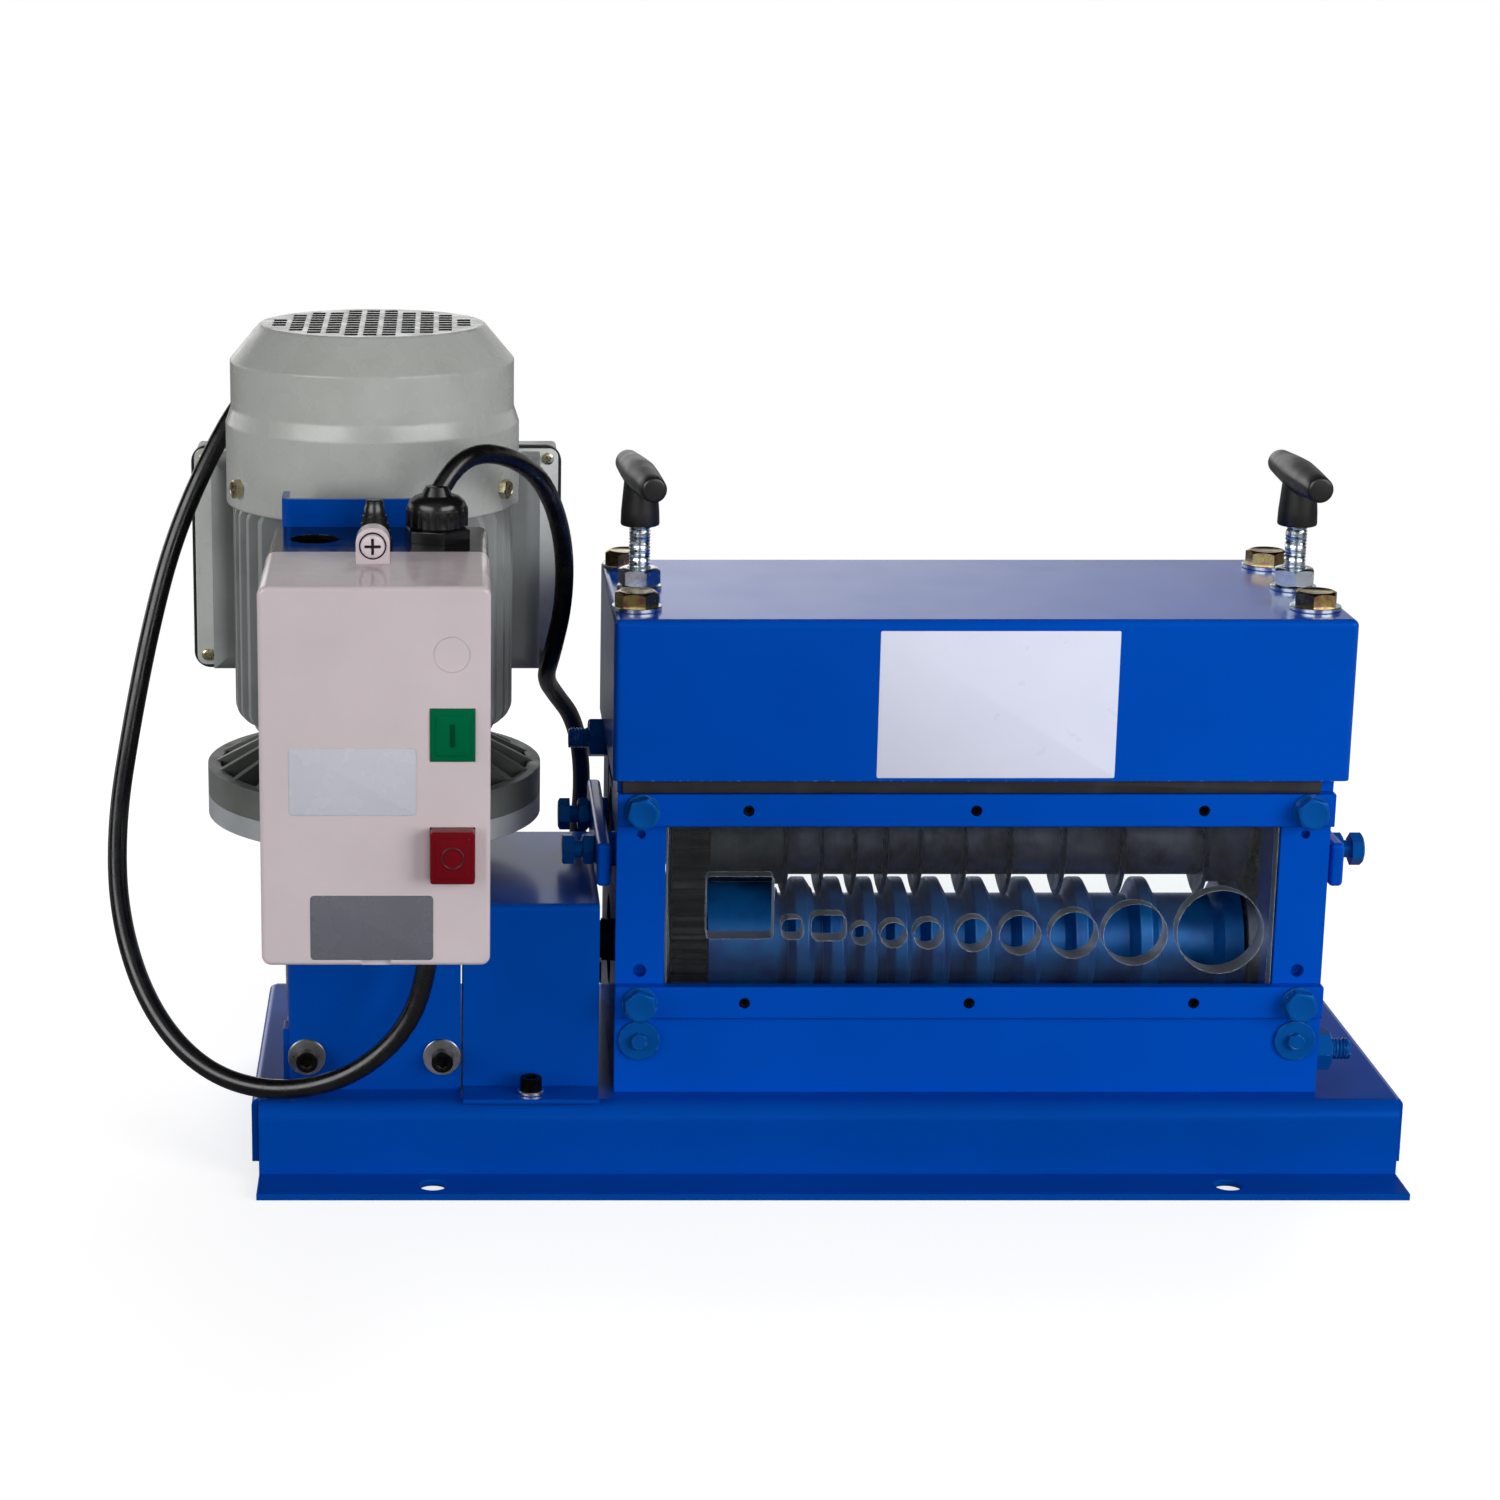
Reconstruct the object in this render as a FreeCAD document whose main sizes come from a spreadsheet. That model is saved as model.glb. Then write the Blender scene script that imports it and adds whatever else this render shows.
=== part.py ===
import FreeCAD, Part
import math
import os
import re
import Sketcher

# Bench machine that strips insulation off scrap wire. Millimetres. X runs along the rollers to
# the right, Y to the rear and Z up. The origin is the centre of the four foot holes, on the floor.

doc = FreeCAD.newDocument("wire_stripping_machine")
sheet = doc.addObject("Spreadsheet::Sheet", "Sizes")

SIZES = [
    # Folded base
    ("deck_length", 520), ("deck_width", 181), ("deck_height", 36), ("deck_gauge", 3),
    ("deck_bend", 8), ("flap_bend", 3.2), ("flap_rise", 6),
    ("foot_length", 513), ("foot_width", 24.5), ("foot_hole", 13),
    ("foot_hole_end", 78.5), ("foot_hole_inset", 13.5),
    # Head: two thick side plates, cross bars, apron and tie rods
    ("head_left", -96), ("head_span", 318.3), ("head_front", -70.7), ("head_depth", 131.2),
    ("side_thickness", 22), ("head_rise", 217.4),
    ("bar_height", 15), ("bar_thickness", 6), ("lower_bar_rise", 35.8), ("upper_bar_rise", 125.5),
    ("apron_gauge", 3), ("apron_gap", 0.3), ("apron_screw_rise", 25),
    ("tie_rod_radius", 5), ("tie_rod_stick_out", 18), ("tie_rod_inset", 11), ("tie_rod_low", 16),
    ("tie_rod_high", 136.7), ("tie_rod_back", 18.5), ("foot_bolt_pitch", 70),
    # Hood
    ("hood_gauge", 2), ("hood_drop", 72.7), ("hood_left_gap", 0.3), ("hood_right_gap", 3.5),
    ("hood_front_gap", 4.1), ("hood_back_gap", 0.6), ("hood_bend", 3),
    ("hood_bolt_side", 8.5), ("hood_bolt_end", 18), ("hood_bolt_depth", 25),
    # Rollers, blades and gears
    ("axis_y", -8), ("feed_axis_rise", 52), ("gear_module", 2.5), ("gear_teeth", 21),
    ("gear_play", 0.1), ("gear_width", 16.9), ("gear_gap", 5.4),
    ("journal_radius", 10), ("shaft_radius", 12), ("shaft_end_gap", 1.3),
    ("roller_radius", 18.9), ("blade_radius", 29.1), ("blade_thickness", 2), ("blade_bevel", 3),
    ("drum_radius", 23.4), ("collar_radius", 22.3), ("drum_gap", 0.6), ("blade_gap", 0.5),
    ("ridge_gap", 3.1), ("ridge_width", 5.7), ("ridge_slope", 3.9), ("ridge_start", 4.6),
    ("ridge_share", 0.215), ("ridge_round", 1.2), ("shoulder_start", 10.7),
    ("shallow_step", 2.6), ("blade_slot", 3.6), ("roller_end_gap", 5.3),
    # Bearings and the sliding blocks of the upper shaft
    ("bearing_radius", 21), ("bearing_width", 12), ("race_thickness", 3.2), ("ball_radius", 2.2),
    ("ball_count", 9), ("block_wall", 3), ("block_half_width", 22), ("block_clear", 0.2),
    ("block_end_clear", 0.3), ("window_headroom", 12),
    ("cap_radius", 34), ("cap_thickness", 4), ("cap_screw_circle", 27),
    ("keeper_thickness", 8.5), ("keeper_height", 20), ("keeper_half_length", 57.5),
    ("keeper_standoff", 2.2), ("keeper_corner", 2), ("keeper_bolt_pitch", 60),
    ("keeper_bolt_length", 19), ("keeper_bolt_gap", 3.6), ("spring_radius", 2.8),
    ("spring_wire", 0.9), ("spring_offset", 17.6), ("spring_below", 10), ("spring_above", 5),
    ("spring_turns", 5),
    # Press screws with tee handles
    ("press_radius", 5), ("press_clear", 0.08), ("left_press_inset", 12), ("right_press_inset", 7.8),
    ("handle_rise", 29.6), ("handle_hub_radius", 8.9), ("handle_bar_rise", 22.6),
    ("handle_half_length", 39), ("handle_mid_radius", 7.6), ("handle_end_radius", 5.8),
    ("handle_turn", 6), ("running_clear", 0.05),
    # Clear feed plate
    ("plate_thickness", 12), ("plate_side_gap", 1), ("plate_lap", 12), ("plate_chamfer", 0.5),
    ("square_x", -40.2), ("square_width", 30.2), ("square_height", 29.1), ("square_rise", 86.4),
    ("small_oval_height", 9.7), ("oval_height", 12), ("oval_corner", 3.4),
    ("set_screw_pitch", 101), ("set_screw_radius", 2.5),
    # Reducer, its seat and the cover over the shaft
    ("motor_x", -206), ("worm_distance", 30), ("reducer_half_length", 40), ("seat_height", 10),
    ("seat_lip", 28), ("seat_lip_depth", 12.5), ("seat_depth", 124.5),
    ("barrel_radius", 40), ("tower_radius", 30), ("wheel_radius", 19.4), ("wheel_width", 20),
    ("worm_radius", 9.9), ("reducer_rise", 107.6), ("input_flange_height", 9.7),
    ("output_radius", 9), ("hub_radius", 15), ("cover_gap", 1.5), ("cover_head_gap", 7),
    ("cover_depth", 125), ("cover_rise", 87.5), ("cover_gauge", 2), ("cover_foot", 18.3),
    ("cover_bend", 3),
    # Motor
    ("flange_radius", 78.2), ("flange_height", 13.8), ("flange_rim", 6), ("flange_rib_count", 24),
    ("neck_radius", 46), ("neck_height", 18), ("frame_height", 112.8), ("frame_radius", 56),
    ("frame_wall", 6), ("fin_reach", 8.6), ("fin_thickness", 2.4), ("fin_pitch", 9), ("fin_rows", 5),
    ("fin_corner", 7.6), ("fin_end_gap", 4),
    ("cowl_radius", 67.4), ("cowl_band_radius", 65), ("cowl_top_radius", 51.4), ("cowl_gauge", 1.8),
    ("cowl_height", 75.2), ("cowl_flare_rise", 30.5), ("cowl_band_rise", 37.6), ("cowl_cone_rise", 59),
    ("cowl_hole", 6), ("cowl_hole_pitch", 8.4), ("cowl_hole_circle", 43), ("cowl_lap", 6),
    ("motor_shaft_radius", 7), ("rotor_radius", 29), ("stator_gap", 0.6), ("stator_height", 66),
    ("fan_radius", 54), ("fan_height", 16), ("fan_blade_count", 8),
    # Capacitor and terminal box behind the motor
    ("rear_box_width", 158), ("rear_box_height", 104), ("rear_box_rise", 44), ("rear_box_depth", 22),
    ("rear_plate_width", 179), ("rear_plate_height", 110), ("rear_plate_gauge", 3),
    ("rear_lid_depth", 24), ("rear_lid_inset", 2), ("rear_box_wall", 3), ("rear_box_reach", 76),
    ("corner_screw_inset", 6.5), ("corner_screw_head", 2.9), ("cowl_screw_head", 4.6),
    ("cowl_screw_height", 3.4),
    # Starter box and its bracket
    ("bracket_x", -204.6), ("bracket_width", 78.3), ("bracket_rise", 272), ("bracket_gauge", 3),
    ("bracket_return", 20), ("bracket_bolt_pitch", 61.2), ("bracket_bolt_rise", 16),
    ("starter_x", -200.8), ("starter_width", 93.8), ("starter_rise", 101), ("starter_height", 158.8),
    ("starter_base_depth", 56.6), ("starter_lid_depth", 73.1), ("starter_wall", 2.5),
    ("starter_corner", 4), ("button_x", 31.5), ("button_width", 18.2), ("button_height", 22),
    ("start_rise", 97.7), ("stop_rise", 48), ("start_proud", 1.2), ("stop_proud", 8),
    ("button_depth", 9), ("button_clear", 0.1), ("knockout_x", -27.4), ("knockout_radius", 10.5),
    ("gland_x", 24.9), ("gland_radius", 13.7), ("gland_height", 23.2), ("gland_y", 28),
    ("lower_gland_x", 21.8), ("lower_gland_height", 14), ("lower_gland_radius", 9),
    ("tab_width", 14), ("tab_height", 15), ("tab_depth", 10), ("tab_back", 47),
    # Leads
    ("mains_lead", 8.6), ("motor_lead", 9), ("coil_x", 60), ("coil_radius", 49.5), ("coil_layers", 3),
    ("plug_distance", 80), ("plug_tail", 52), ("plug_nose", 20), ("plug_length", 46), ("plug_width", 26),
    ("plug_thickness", 15.6), ("prong_length", 17), ("prong_width", 6.4), ("prong_gauge", 1.6),
]

# Ten channels of the feed plate that have a blade: centre, width and height above the deck.
CHANNELS = [
    (-16.4, 9.9, 76.3), (-0.2, 15.7, 76.9), (14.9, 9.4, 73.5), (29.1, 12, 73.5), (44.8, 13.1, 73.5),
    (65.2, 15.7, 73.5), (85.9, 18.5, 73.5), (110.2, 21.7, 73.5), (137.7, 28.7, 73.7),
    (175.7, 38.8, 75),
]
for number_of, (centre, width, rise) in enumerate(CHANNELS, 1):
    SIZES.append(("channel_x_of_%d" % number_of, centre))
    SIZES.append(("channel_width_of_%d" % number_of, width))
    SIZES.append(("channel_rise_of_%d" % number_of, rise))

# Hexagon fasteners: thread radius, size over flats, head or nut height, washer radius and thickness.
for size, radius, flats, high, washer, gauge in (
    ("m8", 4, 13, 5.6, 8, 1.6),
    ("m10", 5, 17, 6.6, 10.2, 2),
):
    SIZES.append((size + "_radius", radius))
    SIZES.append((size + "_flats", flats))
    SIZES.append((size + "_height", high))
    SIZES.append((size + "_washer_radius", washer))
    SIZES.append((size + "_washer_gauge", gauge))

for row, (alias, value) in enumerate(SIZES, 1):
    sheet.set("A%d" % row, alias)
    sheet.set("B%d" % row, str(value))
    sheet.setAlias("B%d" % row, alias)
doc.recompute()

ALIASES = set(alias for alias, value in SIZES)
NODES = []


def bound(text):
    """Expression text with every alias pointed at the spreadsheet."""
    return re.sub(
        r"[a-z][a-z0-9_]*",
        lambda word: "Sizes." + word.group() if word.group() in ALIASES else word.group(),
        str(text),
    )


def number(text):
    """Value of an expression in millimetres."""
    return float(sheet.evalExpression(bound(text)))


def bind(item, **values):
    """Tie properties of an object to expressions."""
    for name, text in values.items():
        item.setExpression(name, bound(text))
    return item


def place(item, x=0, y=0, z=0):
    """Tie an object's position to expressions."""
    for axis, text in (("x", x), ("y", y), ("z", z)):
        item.setExpression("Placement.Base." + axis, bound(text))
    return item


TURNS = {
    "x": FreeCAD.Rotation(FreeCAD.Vector(0, 1, 0), 90),
    "y": FreeCAD.Rotation(FreeCAD.Vector(1, 0, 0), -90),
    "z": FreeCAD.Rotation(),
}


def box(x, y, z, along, deep, high):
    """Box from its lowest corner."""
    item = bind(doc.addObject("Part::Box", "Block"), Length=along, Width=deep, Height=high)
    return place(item, x, y, z)


def rod(axis, x, y, z, radius, length):
    """Cylinder that runs along an axis from a point."""
    item = bind(doc.addObject("Part::Cylinder", "Rod"), Radius=radius, Height=length)
    item.Placement.Rotation = TURNS[axis]
    return place(item, x, y, z)


def cone(axis, x, y, z, start, end, length):
    """Cone along an axis with the radius at its start and at its end."""
    item = bind(doc.addObject("Part::Cone", "Taper"), Radius1=start, Radius2=end, Height=length)
    item.Placement.Rotation = TURNS[axis]
    return place(item, x, y, z)


def hexagon(axis, x, y, z, flats, length):
    """Hexagonal prism along an axis."""
    item = doc.addObject("Part::Prism", "Hexagon")
    item.Polygon = 6
    bind(item, Circumradius="(%s) / 2 / cos(30)" % flats, Height=length)
    item.Placement.Rotation = TURNS[axis]
    return place(item, x, y, z)


def fuse(*shapes):
    """One solid out of shapes that meet."""
    if len(shapes) == 1:
        return shapes[0]
    item = doc.addObject("Part::MultiFuse", "Union")
    item.Shapes = list(shapes)
    return item


def group(*solids):
    """Separate solids kept together."""
    item = doc.addObject("Part::Compound", "Group")
    item.Links = list(solids)
    return item


def cut(base, *tools):
    """Base with the tools taken away."""
    item = doc.addObject("Part::Cut", "Cut")
    item.Base = base
    item.Tool = tools[0] if len(tools) == 1 else group(*tools)
    return item


def node(item, label):
    """Name a finished sub-part and list it for the files."""
    item.Label = label
    NODES.append(item)
    return item


def ring(axis, x, y, z, outer, inner, length):
    """Tube along an axis."""
    return cut(rod(axis, x, y, z, outer, length), rod(axis, x, y, z, inner, length))


def new_body(name):
    """Empty body whose features follow one another."""
    return doc.addObject("PartDesign::Body", name)


def sketch_on(body, plane, level=0, x=0, y=0):
    """Sketch on a plane of the body's origin, moved along the plane's world axis to a level."""
    sketch = body.newObject("Sketcher::SketchObject", "Outline")
    role = plane + "_Plane"
    support = [item for item in body.Origin.OriginFeatures if item.Role == role][0]
    sketch.AttachmentSupport = (support, [""])
    sketch.MapMode = "FlatFace"
    depth = "-(%s)" % level if plane == "XZ" else level
    for axis, text in (("x", x), ("y", y), ("z", depth)):
        sketch.setExpression("AttachmentOffset.Base." + axis, bound(text))
    return sketch


def pin(sketch, kind, first, first_point, second, second_point, text):
    """Distance between two sketch points, tied to an expression."""
    value = number(text)
    constraint = Sketcher.Constraint(kind, first, first_point, second, second_point, value)
    index = sketch.addConstraint(constraint)
    sketch.setExpression("Constraints[%d]" % index, bound(text))


def outline(sketch, points):
    """Closed outline of straight edges whose corners are pairs of expressions."""
    spots = [FreeCAD.Vector(number(a), number(b), 0) for a, b in points]
    first = sketch.GeometryCount
    count = len(spots)
    for i in range(count):
        sketch.addGeometry(Part.LineSegment(spots[i], spots[(i + 1) % count]), False)
    for i in range(count):
        sketch.addConstraint(
            Sketcher.Constraint("Coincident", first + i, 2, first + (i + 1) % count, 1)
        )
    for i, (a, b) in enumerate(points):
        pin(sketch, "DistanceX", -1, 1, first + i, 1, a)
        pin(sketch, "DistanceY", -1, 1, first + i, 1, b)
    return sketch


def rectangle(sketch, left, low, right, high):
    """Upright rectangle in a sketch."""
    return outline(sketch, [(left, low), (right, low), (right, high), (left, high)])


def circle(sketch, x, y, radius):
    """Circle in a sketch."""
    spot = FreeCAD.Vector(number(x), number(y), 0)
    index = sketch.addGeometry(
        Part.Circle(spot, FreeCAD.Vector(0, 0, 1), number(radius)), False
    )
    pin(sketch, "DistanceX", -1, 1, index, 3, x)
    pin(sketch, "DistanceY", -1, 1, index, 3, y)
    ring_size = sketch.addConstraint(Sketcher.Constraint("Radius", index, number(radius)))
    sketch.setExpression("Constraints[%d]" % ring_size, bound(radius))
    return sketch


def facing(sketch):
    """Sign of the sketch normal along its world axis."""
    return -1 if sketch.AttachmentSupport[0][0].Role == "XZ_Plane" else 1


def pad(body, sketch, length, toward=1):
    """Material from a sketch, towards the positive or negative world axis."""
    feature = body.newObject("PartDesign::Pad", "Pad")
    feature.Profile = sketch
    feature.Reversed = toward * facing(sketch) < 0
    feature.setExpression("Length", bound(length))
    doc.recompute()
    return feature


def pocket(body, sketch, length, toward=1):
    """Hollow from a sketch, towards the positive or negative world axis."""
    before = body.Shape.Volume
    feature = body.newObject("PartDesign::Pocket", "Pocket")
    feature.Profile = sketch
    feature.Reversed = toward * facing(sketch) > 0
    feature.setExpression("Length", bound(length))
    doc.recompute()
    if body.Shape.Volume >= before:
        raise RuntimeError("a pocket in %s cuts nothing" % body.Label)
    return feature


def revolve(body, points):
    """Turned piece about the body's Z axis from pairs of radius and height."""
    sketch = outline(sketch_on(body, "XZ"), points)
    feature = body.newObject("PartDesign::Revolution", "Turning")
    feature.Profile = sketch
    feature.ReferenceAxis = (sketch, ["V_Axis"])
    feature.Angle = 360
    doc.recompute()
    return feature


def along(edge, axis):
    """True where an edge is straight and runs along a world axis."""
    if edge.Curve.TypeId != "Part::GeomLine":
        return False
    ends = edge.Vertexes[1].Point - edge.Vertexes[0].Point
    return abs(abs(getattr(ends, axis)) - ends.Length) < 1e-6


def dress(body, kind, size, value, pick):
    """Fillet or chamfer on the edges of the body that a test picks."""
    doc.recompute()
    base = body.Tip
    names = [
        "Edge%d" % i for i, edge in enumerate(base.Shape.Edges, 1) if pick(edge)
    ]
    feature = body.newObject("PartDesign::" + kind, kind)
    feature.Base = (base, names)
    feature.setExpression(size, bound(value))
    doc.recompute()
    return feature


def fillet(body, radius, pick):
    """Round the picked edges."""
    return dress(body, "Fillet", "Radius", radius, pick)


def chamfer(body, size, pick):
    """Bevel the picked edges."""
    return dress(body, "Chamfer", "Size", size, pick)


def polar(body, feature, count, sketch):
    """Repeat a feature around the normal axis of a sketch."""
    pattern = body.newObject("PartDesign::PolarPattern", "Round")
    pattern.Originals = [feature]
    pattern.Axis = (sketch, ["N_Axis"])
    pattern.Angle = 360
    pattern.setExpression("Occurrences", bound(count))
    body.Tip = pattern
    doc.recompute()
    return pattern


def near(value, text, slack=0.01):
    """True where a value equals an expression."""
    return abs(value - number(text)) < slack


# Shared places
DECK = "deck_height"
HEAD_RIGHT = "(head_left + head_span)"
HEAD_BACK = "(head_front + head_depth)"
HEAD_MIDDLE = "(head_left + head_span / 2)"
LEFT_INSIDE = "(head_left + side_thickness)"
RIGHT_INSIDE = "(head_left + head_span - side_thickness)"
LEFT_POST = "(head_left + side_thickness / 2)"
RIGHT_POST = "(head_left + head_span - side_thickness / 2)"
SIDE_TOP = "(deck_height + head_rise)"
HOOD_TOP = "(deck_height + head_rise + hood_gauge)"
FEED_Z = "(deck_height + feed_axis_rise)"
AXLES = "(gear_module * gear_teeth + gear_play)"
CUTTER_Z = "(deck_height + feed_axis_rise + gear_module * gear_teeth + gear_play)"
BLOCK_HALF = "(bearing_radius + block_wall)"
LEFT_PRESS = "(head_left + left_press_inset)"
RIGHT_PRESS = "(head_left + head_span - right_press_inset)"
GEAR_LEFT = "(head_left + side_thickness + gear_gap)"
GEAR_RIGHT = "(head_left + side_thickness + gear_gap + gear_width)"
ROLLER_RIGHT = "(head_left + head_span - side_thickness - roller_end_gap)"
MOTOR_Y = "(axis_y + worm_distance)"


# Base
def make_base():
    """Deck folded down at front and rear into feet, with end flaps."""
    body = new_body("folded_deck")
    edge = "deck_width / 2"
    reach = "(deck_width / 2 + foot_width)"
    under = "(deck_height - deck_gauge)"
    half = [
        (reach, 0), (reach, "deck_gauge"), (edge, "deck_gauge"), (edge, DECK),
    ]
    inner = [(edge + " - deck_gauge", under), (edge + " - deck_gauge", 0)]
    mirror = [("-(%s)" % y, z) for y, z in half]
    inner_mirror = [("-(%s)" % y, z) for y, z in inner]
    profile = half + mirror[::-1] + inner_mirror[::-1] + inner
    pad(body, outline(sketch_on(body, "YZ", "-foot_length / 2"), profile), "foot_length")
    fillet(body, "deck_bend", lambda e: along(e, "x") and near(e.Vertexes[0].Z, DECK))
    fillet(
        body,
        "deck_bend - deck_gauge",
        lambda e: along(e, "x") and near(e.Vertexes[0].Z, under)
        and near(abs(e.Vertexes[0].Y), edge + " - deck_gauge"),
    )
    end = "deck_length / 2"
    flap = [
        ("-%s" % end, "flap_rise"), ("-%s" % end, DECK), (end, DECK), (end, "flap_rise"),
        (end + " - deck_gauge", "flap_rise"), (end + " - deck_gauge", under),
        ("-%s + deck_gauge" % end, under), ("-%s + deck_gauge" % end, "flap_rise"),
    ]
    sketch = outline(sketch_on(body, "XZ", "deck_bend - deck_width / 2"), flap)
    pad(body, sketch, "deck_width - 2 * deck_bend")
    fillet(
        body,
        "flap_bend",
        lambda e: along(e, "y") and near(e.Vertexes[0].Z, DECK) and near(abs(e.Vertexes[0].X), end),
    )
    holes = sketch_on(body, "XY")
    for side in ("-", ""):
        for front in ("-", ""):
            circle(
                holes,
                "%s(foot_length / 2 - foot_hole_end)" % side,
                "%s(deck_width / 2 + foot_hole_inset)" % front,
                "foot_hole / 2",
            )
    pocket(body, holes, "deck_gauge * 2")
    deck_holes = [rod("z", x, y, DECK + " - 2 * deck_gauge", "m8_radius", "3 * deck_gauge")
                  for x, y in DECK_BOLTS]
    node(cut(body, *deck_holes), "base_channel")


# Bolts that hold the side plates and the reducer seat down to the deck.
DECK_BOLTS = [
    (x, y)
    for x in (LEFT_POST, RIGHT_POST)
    for y in ("axis_y - foot_bolt_pitch / 2", "axis_y + foot_bolt_pitch / 2")
] + [
    (x, y)
    for x in ("motor_x - reducer_half_length + m10_flats", "motor_x + reducer_half_length - m10_flats")
    for y in ("head_front + bracket_gauge + m10_flats",
              "head_front + bracket_gauge + seat_depth - m10_flats")
]


# Fasteners of one kind are gathered here from several places.
M8_BOLTS = []
PLATED = []
BLACK_SCREWS = []
ZINC_SCREWS = []
MOTOR_BEARINGS = []


def make_deck_bolts():
    """Bolts up through the deck, with their heads below it."""
    for x, y in DECK_BOLTS:
        head_low = DECK + " - deck_gauge - m8_height"
        reach = "seat_height - 1.5" if "motor_x" in x else "hood_bolt_depth"
        shank = rod("z", x, y, head_low, "m8_radius", "m8_height + deck_gauge + %s" % reach)
        M8_BOLTS.append(fuse(hexagon("z", x, y, head_low, "m8_flats", "m8_height"), shank))


# Head
def tie_rods():
    """Height, depth and whether the left end passes through, for each tie rod."""
    low = DECK + " + tie_rod_low"
    high = DECK + " + tie_rod_high"
    back = "head_front + head_depth - tie_rod_back"
    return [
        (low, "head_front + tie_rod_inset", False),
        (low, back, False),
        (high, back, True),
    ]


def make_side(label, left, press):
    """Thick side plate with the lower bearing seat and the window of the sliding block."""
    body = new_body(label + "_blank")
    sketch = sketch_on(body, "YZ", left)
    rectangle(sketch, "head_front", DECK, HEAD_BACK, SIDE_TOP)
    half = "(block_half_width + block_clear)"
    rectangle(
        sketch,
        "axis_y - " + half,
        CUTTER_Z + " - %s - block_end_clear" % BLOCK_HALF,
        "axis_y + " + half,
        CUTTER_Z + " + %s + window_headroom" % BLOCK_HALF,
    )
    circle(sketch, "axis_y", FEED_Z, "bearing_radius")
    for z, y, through in tie_rods():
        circle(sketch, y, z, "tie_rod_radius")
    pad(body, sketch, "side_thickness")
    middle = "%s + side_thickness / 2" % left
    block_top = CUTTER_Z + " + " + BLOCK_HALF
    tools = [rod("z", press, "axis_y", block_top, "press_radius + press_clear", "head_rise")]
    bolt_x = HOOD_BOLT_X[0] if label.startswith("left") else HOOD_BOLT_X[1]
    for y in HOOD_BOLT_Y:
        tools.append(rod("z", bolt_x, y, SIDE_TOP + " - hood_bolt_depth", "m10_radius", "hood_bolt_depth"))
    for sign in ("-", "+"):
        y = "axis_y %s foot_bolt_pitch / 2" % sign
        tools.append(rod("z", middle, y, DECK, "m8_radius", "hood_bolt_depth"))
    for z in BAR_BOLT_Z:
        tools.append(rod("y", middle, "head_front", z, "m8_radius", "hood_bolt_depth"))
    tools.append(rod("y", middle, "head_front", APRON_SCREW_Z, "m8_radius / 2", "side_thickness / 2"))
    spare_holes = (
        ("upper_bar_rise - 5", "m8_radius / 2"), ("lower_bar_rise + bar_height + 6", "m8_radius * 3 / 4"),
    )
    for rise, radius in spare_holes:
        tools.append(rod("y", middle, "head_front", DECK + " + " + rise, radius, "m8_height"))
    outer = left if label.startswith("left") else left + " + side_thickness - keeper_reach"
    outer = outer.replace("keeper_reach", KEEPER_REACH)
    for y in KEEPER_BOLT_Y:
        tools.append(rod("x", outer, y, CUTTER_Z, "m8_radius", KEEPER_REACH))
    floor = CUTTER_Z + " - %s - block_end_clear - spring_below" % BLOCK_HALF
    for y in SPRING_Y:
        tools.append(rod("z", middle, y, floor, "spring_radius + block_clear", "spring_below + 1"))
    node(cut(body, *tools), label)


HOOD_BOLT_X = ("head_left + hood_bolt_side", HEAD_RIGHT + " - hood_bolt_side")
HOOD_BOLT_Y = ("head_front + hood_bolt_end", HEAD_BACK + " - hood_bolt_end")
BAR_BOLT_Z = (
    DECK + " + lower_bar_rise + bar_height / 2",
    DECK + " + upper_bar_rise + bar_height / 2",
)
APRON_SCREW_Z = DECK + " + apron_screw_rise"
KEEPER_REACH = "(keeper_bolt_length - keeper_thickness - m8_height)"
KEEPER_BOLT_Y = ("axis_y - keeper_bolt_pitch / 2", "axis_y + keeper_bolt_pitch / 2")
SPRING_Y = ("axis_y - spring_offset", "axis_y + spring_offset")
SET_SCREW_X = (HEAD_MIDDLE + " - set_screw_pitch", HEAD_MIDDLE, HEAD_MIDDLE + " + set_screw_pitch")


def make_bar(label, rise):
    """Flat bar across the front that carries an edge of the feed plate."""
    body = new_body(label)
    low = DECK + " + " + rise
    high = low + " + bar_height"
    sketch = rectangle(sketch_on(body, "XZ", "head_front"), "head_left", low, HEAD_RIGHT, high)
    for x in (LEFT_POST, RIGHT_POST):
        circle(sketch, x, low + " + bar_height / 2", "m8_radius")
    for x in SET_SCREW_X:
        circle(sketch, x, low + " + bar_height / 2", "set_screw_radius")
    pad(body, sketch, "bar_thickness", toward=-1)
    front = "head_front - bar_thickness"
    chamfer(body, "bar_thickness / 10", lambda e: along(e, "x") and near(e.Vertexes[0].Y, front))
    node(body, label)


def make_apron():
    """Thin plate below the lower bar, down to the deck."""
    body = new_body("front_apron")
    high = DECK + " + lower_bar_rise - apron_gap"
    sketch = rectangle(sketch_on(body, "XZ", "head_front"), "head_left", DECK, HEAD_RIGHT, high)
    for x in (LEFT_POST, RIGHT_POST):
        circle(sketch, x, APRON_SCREW_Z, "m8_radius / 2")
    pad(body, sketch, "apron_gauge", toward=-1)
    node(body, "front_apron")


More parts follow.
